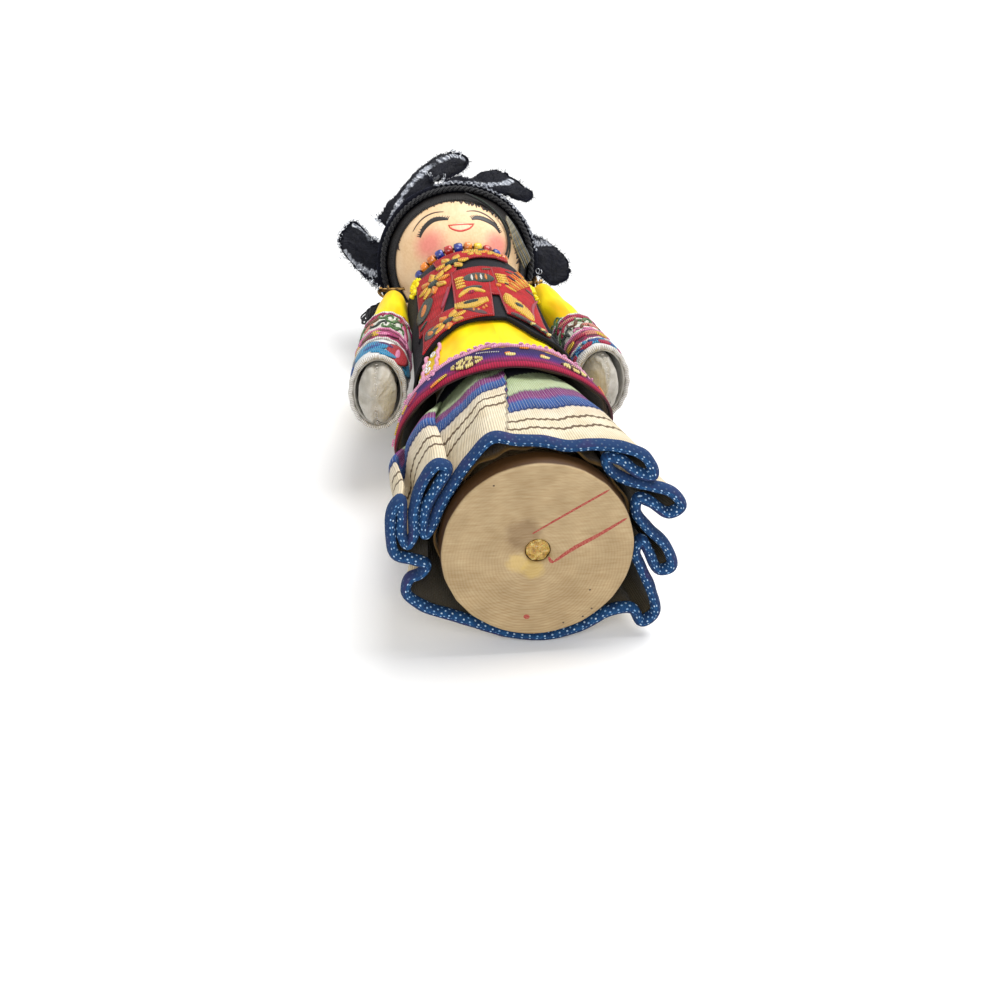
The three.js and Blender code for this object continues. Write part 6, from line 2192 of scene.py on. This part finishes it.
def flap_surface(name):
    """A flap as a sheet bent from its foot on the cap to its ragged free edge."""
    start, end, bow, edge = FLAPS[name]
    places = [tuple(HEAD + Vector(p) + 0.35 * Vector(p).normalized()) for p in edge]
    free = []
    for k, place in enumerate(smooth_path(places, 12)):
        ragged = 1.1 * lump(k / 2.3, len(name), 0) + 0.5 * lump(k / 1.1, 7, 0)
        free.append(Vector(place) + ragged * (Vector(place) - HEAD).normalized())

    def surface(u, v, lift=0.0):
        foot = crown_point(start + (end - start) * u, FOOT_RADIUS, FOOT_DEPTH)
        t = min(max(u, 0), 1) * (len(free) - 1)
        i = min(int(t), len(free) - 2)
        tip = free[i].lerp(free[i + 1], t - i)
        pull = foot.lerp(tip, 0.5) + Vector(bow)
        place = (1 - v) ** 2 * foot + 2 * v * (1 - v) * pull + v * v * tip
        if lift:
            e = 0.02
            across = surface(u + e, v) - surface(u - e, v)
            up = surface(u, v + e) - surface(u, v - e)
            place = place + lift * across.cross(up).normalized()
        return place
    return surface


FLAP_OUT = {"front": 1, "side": 1, "right": -1, "left": 1}


def off_lace(place, lace):
    """How far along the nearest lace line a place is, and how far off it."""
    best = (0.0, 99.0)
    for line in lace:
        for k, p in enumerate(line):
            far = (place - p).length
            if far < best[1]:
                best = (0.5 * k, far)
    return best


def make_flap(name):
    surface = flap_surface(name)
    lace = [[surface(u, v) for u, v in smooth_path(line, 10)] for line in LACE_LINES[name]]
    columns, rows = 60, 24
    piece = Piece(f"velvet_flap_{name}")
    for lift, material in ((0.5, LACED_VELVET), (-0.5, LACED_VELVET if name == "right" else GREY_FACING)):
        grid = []
        own = len(name) + lift
        for v in (r / rows for r in range(rows + 1)):
            row = []
            for u in (c / columns for c in range(columns + 1)):
                edge = min(1, min(u, 1 - u, v, 1 - v) * 8)
                crush = 0.55 * lump(u * 6, v * 5, own) + 0.25 * lump(u * 17, v * 13, own)
                row.append(surface(u, v, FLAP_OUT[name] * edge * (lift + crush)))
            grid.append(row)
        marks = [[off_lace(place, lace) for place in row] for row in grid]
        piece.rows(grid, material, lambda r, c: marks[r][c])
    made = piece.make("doll", f"hat_flap_{name}", slot="black_velvet", smooth=180, weld=True)
    tall = (surface(0.5, 0) - surface(0.5, 1)).length * MM
    return made, surface


flap_surfaces = {}
flap_pieces = {}
for name in FLAPS:
    flap_pieces[name], flap_surfaces[name] = make_flap(name)
# %% [markdown]
# The lace on the flaps is a row of small silver loops on a bound edge, made with the same tree as the pink
# scallops. Stray silver threads curl up from it, each a thin tube along a loose spiral.
# %% Silver lace on the flaps
def drawn_loop(piece):
    path = [Vector((0.62 * math.cos(t), 0.1 * math.sin(2 * t), 0.5 + 0.55 * math.sin(t))) for t in circle(14)]
    tube(piece, path, 0.15, SILVER, 6, True)


SILVER_LOOP = spare_item("silver_loop", drawn_loop)


def rim_places(name, count=90):
    """The three free sides of a flap, from its foot round to its foot again."""
    surface = flap_surfaces[name]
    rim = [(0, v / 20) for v in range(5, 20)] + [(u / count, 1) for u in range(count + 1)]
    rim += [(1, 1 - v / 20) for v in range(1, 16)]
    out = []
    for u, v in rim:
        place = surface(u, v)
        inside = surface(u + (0.5 - u) * 0.15, v + (0.4 - v) * 0.15)
        out.append((place, (place - inside).normalized()))
    return out


random.seed(31)
LACED_SHARE = {"front": 0.6, "side": 0.35, "right": 1.0, "left": 0.45}
flap_edges = {}
for name in FLAPS:
    path, ups = zip(*rim_places(name))
    edge = Piece(f"flap_binding_{name}")
    tube(edge, path, 0.42, BLACK_VELVET, 8)
    flap_edges[name] = edge.make("doll", slot="black_velvet", smooth=180)
    reach = int(LACED_SHARE[name] * len(path))
    braid = [p + 0.15 * u for p, u in zip(path[:reach], ups)]
    lace = f"flap_lace_{name}"
    along_line(lace, braid, ups[:reach], SILVER_LOOP, 1.25, SILVER, "doll", None, 0.7, 1.6, seed=len(name))

strip = Piece("brim_lace")
strip_path = [
    on_crown(a, 23.9 + 0.3 * math.sin(1.7 * a), 1.7 + 0.3 * math.sin(2.3 * a)) for a in range(-14, 84)
]
at = lengths(strip_path)
last = len(strip_path) - 1
rings = []
for k, p in enumerate(strip_path):
    out = (p - HEAD).normalized()
    along = (strip_path[min(k + 1, last)] - strip_path[max(k - 1, 0)]).normalized()
    across = along.cross(out) * (0.95 + 0.4 * lump(k / 1.7, 2, 0))
    rings.append([p + math.cos(t) * across + 0.3 * math.sin(t) * out for t in circle(8)])
rings = [[strip_path[0]]] + rings + [[strip_path[-1]]]
strip.rows(rings, LACED_VELVET, lambda r, c: (at[min(r, last)], 0.2 * abs(c % 8 - 4)), True)
strip.make("doll", smooth=180)

CURL_SPOTS = {
    "front": (0.03, 0.12, 0.22, 0.3, 0.42, 0.55, 0.9), "side": (0.15, 0.4, 0.6),
    "right": (0.1, 0.35, 0.6, 0.8), "left": (0.2, 0.5, 0.8),
}


def curl_path(start, away):
    """A loose spiral that drifts off the lace it starts in."""
    drift = Vector((random.uniform(-1, 1), random.uniform(-1, 0.2), random.uniform(-0.6, 1))).normalized()
    turns = random.uniform(1.2, 2.4)
    size = random.uniform(0.5, 1.0)
    side = away.cross(drift).normalized()
    other = side.cross(away)
    path = []
    for t in (i / 39 for i in range(40)):
        a = 2 * math.pi * turns * t
        swirl = min(1, 4 * t) * size * ((math.cos(a) - 1) * side + math.sin(a) * other)
        path.append(start + away * (2.0 * t * size) + drift * (1.6 * t) + swirl)
    return path


curls = Piece("silver_curls")
for name, spots in CURL_SPOTS.items():
    for spot in spots:
        tube(curls, curl_path(*rim_places(name, 40)[int(spot * 69)]), 0.1, SILVER, 5)
curls.make("doll", smooth=180)

# %% [markdown]
# Velvet's pile stands out at its edges. A second small tree scatters short hairs over the flaps and the
# cap, leaning a little each way. Each hair is a three-sided spike, so that thousands stay light.
# %% Pile of the velvet
def scatter_tree(name):
    """Hairs scattered over the faces that lie further than Bare off the lace."""
    tree, given = group_tree(name, "Density", "Lean", "Bare")
    off = part(tree, named_vector(tree, "cloth"), 1)
    density = times(tree, given["Density"], sums(tree, "GREATER_THAN", off, given["Bare"]))
    spots = add(tree, "GeometryNodeDistributePointsOnFaces", {
        "Mesh": given["Geometry"], "Density": density, "Seed": given["Seed"],
    }, distribute_method="RANDOM").outputs
    inputs = {0: (-1, -1, -1), 1: (1, 1, 1), "Seed": given["Seed"]}
    sway = add(tree, "FunctionNodeRandomValue", inputs, data_type="FLOAT_VECTOR").outputs[0]
    tilt = add(tree, "ShaderNodeVectorMath", {0: sway, "Scale": given["Lean"]}, operation="SCALE").outputs[0]
    upright = add(tree, "FunctionNodeRotationToEuler", {"Rotation": spots["Rotation"]}).outputs[0]
    size = random_number(tree, given, 0.5, 1.3)
    return copies(tree, given, spots["Points"], turned_by(tree, upright, tilt), size)


SCATTER = scatter_tree("scattered_pile")


def hair_spike(long):
    def draw(piece):
        corners = (0, 2.1, 4.2)
        foot = [Vector((0.05 * math.cos(t), 0.05 * math.sin(t), -0.05)) for t in corners]
        bend = Vector((0.13 * long, 0, 0.5 * long))
        waist = [bend + Vector((0.04 * math.cos(t), 0.04 * math.sin(t), 0)) for t in corners]
        root, tip = Vector((0, 0, -0.1)), Vector((0.35 * long, 0, long))
        piece.rows([[root], foot, waist, [tip]], BLACK_VELVET, lambda r, c: (c, r), True)
    return draw


SPIKE = spare_item("velvet_hair", hair_spike(0.8))
LONG_SPIKE = spare_item("long_velvet_hair", hair_spike(1.7))


def pile_on(carrier, name, density, seed, item=SPIKE, bare=-1.0):
    """Pile over a piece, with its density in hairs to a square millimetre."""
    fur = bpy.data.objects.new(name, carrier.data.copy())
    bpy.context.scene.collection.objects.link(fur)
    grown(fur, SCATTER, {
        "Item": item, "Density": density / MM ** 2, "Lean": 0.6, "Bare": bare, "Seed": seed,
        "Finish": BLACK_VELVET,
    })
    outwards(fur.data)
    return attach(fur, "doll", slot="black_velvet")


for k, name in enumerate(FLAPS):
    pile_on(flap_pieces[name], f"flap_pile_{name}", 2.2, 5 + k, bare=1.4)
    pile_on(flap_edges[name], f"edge_pile_{name}", 5.0, 15 + k, LONG_SPIKE)
pile_on(cap_piece, "cap_pile", 0.6, 3)
pile_on(brim_piece, "brim_pile", 2.0, 4)

# %% [markdown]
# ## Tassel and loose threads
# A black yarn tassel hangs from the band at the right temple. It is a knot with over thirty strands that
# spread and end unevenly. On the left a few glossy strands run down from the hat beside the cheek.
# %% Tassel
YARN = thread("black_yarn", "1c1a22", "060608", 0.45)
YARN.node_tree.nodes["Principled BSDF"].inputs["Roughness"].default_value = 0.85
TASSEL_TOP = crown_point(-113, BAND_CENTRE + 0.9 + 0.3 + 0.4, BAND_DEPTH)
TASSEL_STRANDS = 34
SECTIONS = (
    (0, 0, 0.35), (1, -0.6, 0.75), (3, -2.2, 1.2), (5.2, -4.4, 2.3), (6, -7.4, 2.6), (5.8, -9.7, 1.9)
)
tassel = Piece("yarn_tassel")
random.seed(17)
for k in range(TASSEL_STRANDS):
    t = 2 * math.pi * random.random()
    share = math.sqrt(random.random())
    end = random.uniform(0.86, 1.0)
    points = []
    for out, down, radius in SECTIONS:
        wander = 0.15 * radius * Vector((random.uniform(-1, 1), random.uniform(-1, 1), 0))
        aside = share * radius * Vector((math.cos(t), math.sin(t), 0))
        points.append(tuple(TASSEL_TOP + Vector((-out, 0.35 * out, down * end)) + aside + wander))
    tube(tassel, [Vector(p) for p in smooth_path(points, 6)], 0.26, YARN, 6)
knot = TASSEL_TOP + Vector((-2.4, 0.85, -1.6))
knot_path = [knot + 1.15 * Vector((math.cos(t), math.sin(t), 0.2 * math.sin(t))) for t in circle(24)]
tube(tassel, knot_path, 0.3, YARN, 8, True)
tassel.make("doll", "side_tassel", slot="black_yarn", smooth=180)

LOOSE_STRANDS = (
    (0.34, BLACK_CORD, [
        (6, -2, 1.6), (16, -6, 1.0), (30, -14, 0.7), (44, -24, 0.5), (54, -36, 0.5), (60, -47, 0.4)]),
    (0.28, THREADS["green"], [
        (10, -3, 1.4), (22, -9, 1.0), (36, -18, 0.8), (48, -27, 0.6), (58, -38, 0.6), (66, -50, 0.6)]),
    (0.24, BLACK_CORD, [(50, -20, 1.0), (60, -27, 1.1), (70, -33, 1.2), (80, -36, 1.4)]),
)
strands = Piece("loose_strands")
for radius, material, points in LOOSE_STRANDS:
    path = [head(a, b, lift + 0.3) for a, b, lift in smooth_path(points, 8)]
    tube(strands, path, radius, material, 8)
strands.make("doll", smooth=180)

# %% [markdown]
# ## Earrings
# Each earring is a hoop of brass wire with a faceted crystal, hung on a pin in the side of the head. The
# wire is worn brown in places, so its finish runs from gold to brown.
# %% Brass and crystal
def drawn_brass(tree, space):
    patch = noise_at(tree, space, 1.2, 3.0)
    return ramp(tree, patch, [(0.35, "3c2c18"), (0.62, "86683a")]), times(tree, patch, 0.05), None


def drawn_crystal(tree, space):
    patch = noise_at(tree, space, 2.0)
    return ramp(tree, patch, [(0.3, "e4ecf4"), (0.7, "ffffff")]), None, None


BRASS = finish("antique_brass", drawn_brass, own_uv=False, **{"Roughness": 0.32, "Metallic": 0.95})
CRYSTAL = finish("cut_crystal", drawn_crystal, own_uv=False, **{
    "Roughness": 0.03, "Transmission Weight": 0.75, "IOR": 1.6,
})
EAR_DROP = 11
EAR_BACK = 3.0
PIN_END = math.sqrt(HEAD_RADIUS ** 2 - EAR_DROP ** 2 - EAR_BACK ** 2) + 6.6
EYE_RADIUS = 0.45 + 0.3 + 0.42
HOOP_RADIUS = 3.4
STONE_RADIUS = 1.25
UP = Vector((0, 0, 1))


def wire_ring(piece, centre, radius, across, wire, steps, sides):
    path = [centre + radius * (math.cos(t) * across + math.sin(t) * UP) for t in circle(steps)]
    tube(piece, path, wire, BRASS, sides, True)


def make_hoop(side, hang, middle, hoop_turn):
    """An eye on the pin, a double hoop under it, and a row of small grains along the hoop's foot."""
    hoop = Piece(f"brass_hoop_{side}")
    wire_ring(hoop, hang, EYE_RADIUS, Vector((0, 1, 0)), 0.3, 24, 10)
    turned = math.radians(90 - hoop_turn)
    across = Vector((math.cos(turned), math.sin(turned), 0))
    wire_ring(hoop, middle, HOOP_RADIUS, across, 0.34, 56, 10)
    wire_ring(hoop, middle - 0.1 * UP, 2.75, across, 0.2, 56, 10)
    for k in range(9):
        t = math.radians(200 + 17.5 * k)
        spot = middle + (HOOP_RADIUS + 0.02) * (math.cos(t) * across + math.sin(t) * UP)
        wire_ring(hoop, spot, 0.3, across, 0.18, 8, 6)
    hoop.make(f"earring_{side}", f"earring_hoop_{side}", slot="antique_brass", smooth=180)


def make_earring(side, hoop_turn):
    hang = Vector((SIDE[side] * (PIN_END - 1.9), EAR_BACK, HEAD.z - EAR_DROP))
    middle = hang - (EYE_RADIUS + HOOP_RADIUS) * UP
    make_hoop(side, hang, middle, hoop_turn)
    stone = Piece(f"crystal_{side}")
    seat_at = middle - (HOOP_RADIUS - 0.42 - 0.3 - STONE_RADIUS) * UP
    rings = [[seat_at + STONE_RADIUS * UP]]
    for height, radius, shift in ((0.85, 0.7, 0), (0.15, STONE_RADIUS, 0.39), (-0.35, 1.1, 0)):
        rings.append([
            seat_at + Vector((radius * math.cos(t + shift), radius * math.sin(t + shift), height))
            for t in circle(8)
        ])
    rings.append([seat_at - 1.2 * UP])
    stone.rows(rings, CRYSTAL, lambda r, c: (c, r), True)
    stone.make(f"earring_{side}", f"earring_crystal_{side}", slot="crystal", smooth=5)


make_earring("right", 68)
make_earring("left", 0)

# %% [markdown]
# ## Hidden wood and pins
# The trunk, the dowel, the shoulder pegs and the ear pins keep the solids' own shape, and take the wood and
# brass of the pieces round them.
# %% Finishes for the kept solids
KEPT_SOLIDS = {
    "body_core": BODY_WOOD, "centre_dowel": BODY_WOOD, "shoulder_peg_right": BODY_WOOD,
    "shoulder_peg_left": BODY_WOOD, "ear_pin_right": BRASS, "ear_pin_left": BRASS,
}
for name, material in KEPT_SOLIDS.items():
    for place in bpy.data.objects[name].material_slots:
        place.material = material
    print(name, "takes", material.name)

# %% [markdown]
# ## Table, lamps and world
# The doll lies on a pale table, which is a wall behind its back here. The wall is seen from the front only,
# so that it doesn't hide the doll from behind. A broad lamp stands above to the right, and a weaker one at
# the feet fills the disc. The world is plain pale light, and shows white to the camera and in gloss.
# %% Pale table
def pale_table():
    material = bpy.data.materials.new("pale_table")
    material.use_nodes = True
    tree = material.node_tree
    tree.nodes.clear()
    matt = add(tree, "ShaderNodeBsdfDiffuse", {"Color": linear("f3f3f3")})
    glow = add(tree, "ShaderNodeEmission", {"Color": linear("ffffff"), "Strength": 0.12})
    both = add(tree, "ShaderNodeAddShader", {0: matt.outputs[0], 1: glow.outputs[0]})
    rays = add(tree, "ShaderNodeLightPath").outputs
    shown = {0: rays["Is Camera Ray"], 1: matt.outputs[0], 2: both.outputs[0]}
    seen = add(tree, "ShaderNodeMixShader", shown)
    clear = add(tree, "ShaderNodeBsdfTransparent")
    faces = add(tree, "ShaderNodeNewGeometry").outputs["Backfacing"]
    sided = add(tree, "ShaderNodeMixShader", {0: faces, 1: seen.outputs[0], 2: clear.outputs[0]})
    add(tree, "ShaderNodeOutputMaterial", {"Surface": sided.outputs[0]})
    return material


table_mesh = bpy.data.meshes.new("table")
reach, back_at = 2.2, 0.0268
table_mesh.from_pydata(
    [(-reach, back_at, -reach), (reach, back_at, -reach), (reach, back_at, reach), (-reach, back_at, reach)],
    [], [(0, 1, 2, 3)],
)
table_mesh.materials.append(pale_table())
table = bpy.data.objects.new("table", table_mesh)
bpy.context.scene.collection.objects.link(table)
print("table faces", [round(v) for v in table_mesh.polygons[0].normal])


# %% Lamps and world
def lamp(name, place, aim, size, watts):
    data = bpy.data.lights.new(name, "AREA")
    data.shape = "SQUARE"
    data.size = size
    data.energy = watts
    thing = bpy.data.objects.new(name, data)
    thing.location = place
    thing.rotation_euler = (Vector(aim) - Vector(place)).to_track_quat("-Z", "Y").to_euler()
    bpy.context.scene.collection.objects.link(thing)
    return thing


MIDDLE = (0, 0, 0.1)
lamp("key", (0.35, -0.9, 0.3), MIDDLE, 0.8, 12.0)
lamp("feet", (-0.15, -0.45, -0.75), (0, 0, 0.02), 0.5, 4.5)
world = bpy.data.worlds.new("pale_world")
bpy.context.scene.world = world
world.use_nodes = True
sky = world.node_tree
sky.nodes.clear()
rays = add(sky, "ShaderNodeLightPath").outputs
shown = sums(sky, "MAXIMUM", rays["Is Camera Ray"], rays["Is Glossy Ray"])
shown = sums(sky, "MAXIMUM", shown, rays["Is Transmission Ray"])
strength = plus(sky, times(sky, shown, 0.6), 0.4)
light = add(sky, "ShaderNodeBackground", {"Color": linear("ffffff"), "Strength": strength})
add(sky, "ShaderNodeOutputWorld", {"Surface": light.outputs[0]})
bpy.context.scene.view_settings.view_transform = "Standard"
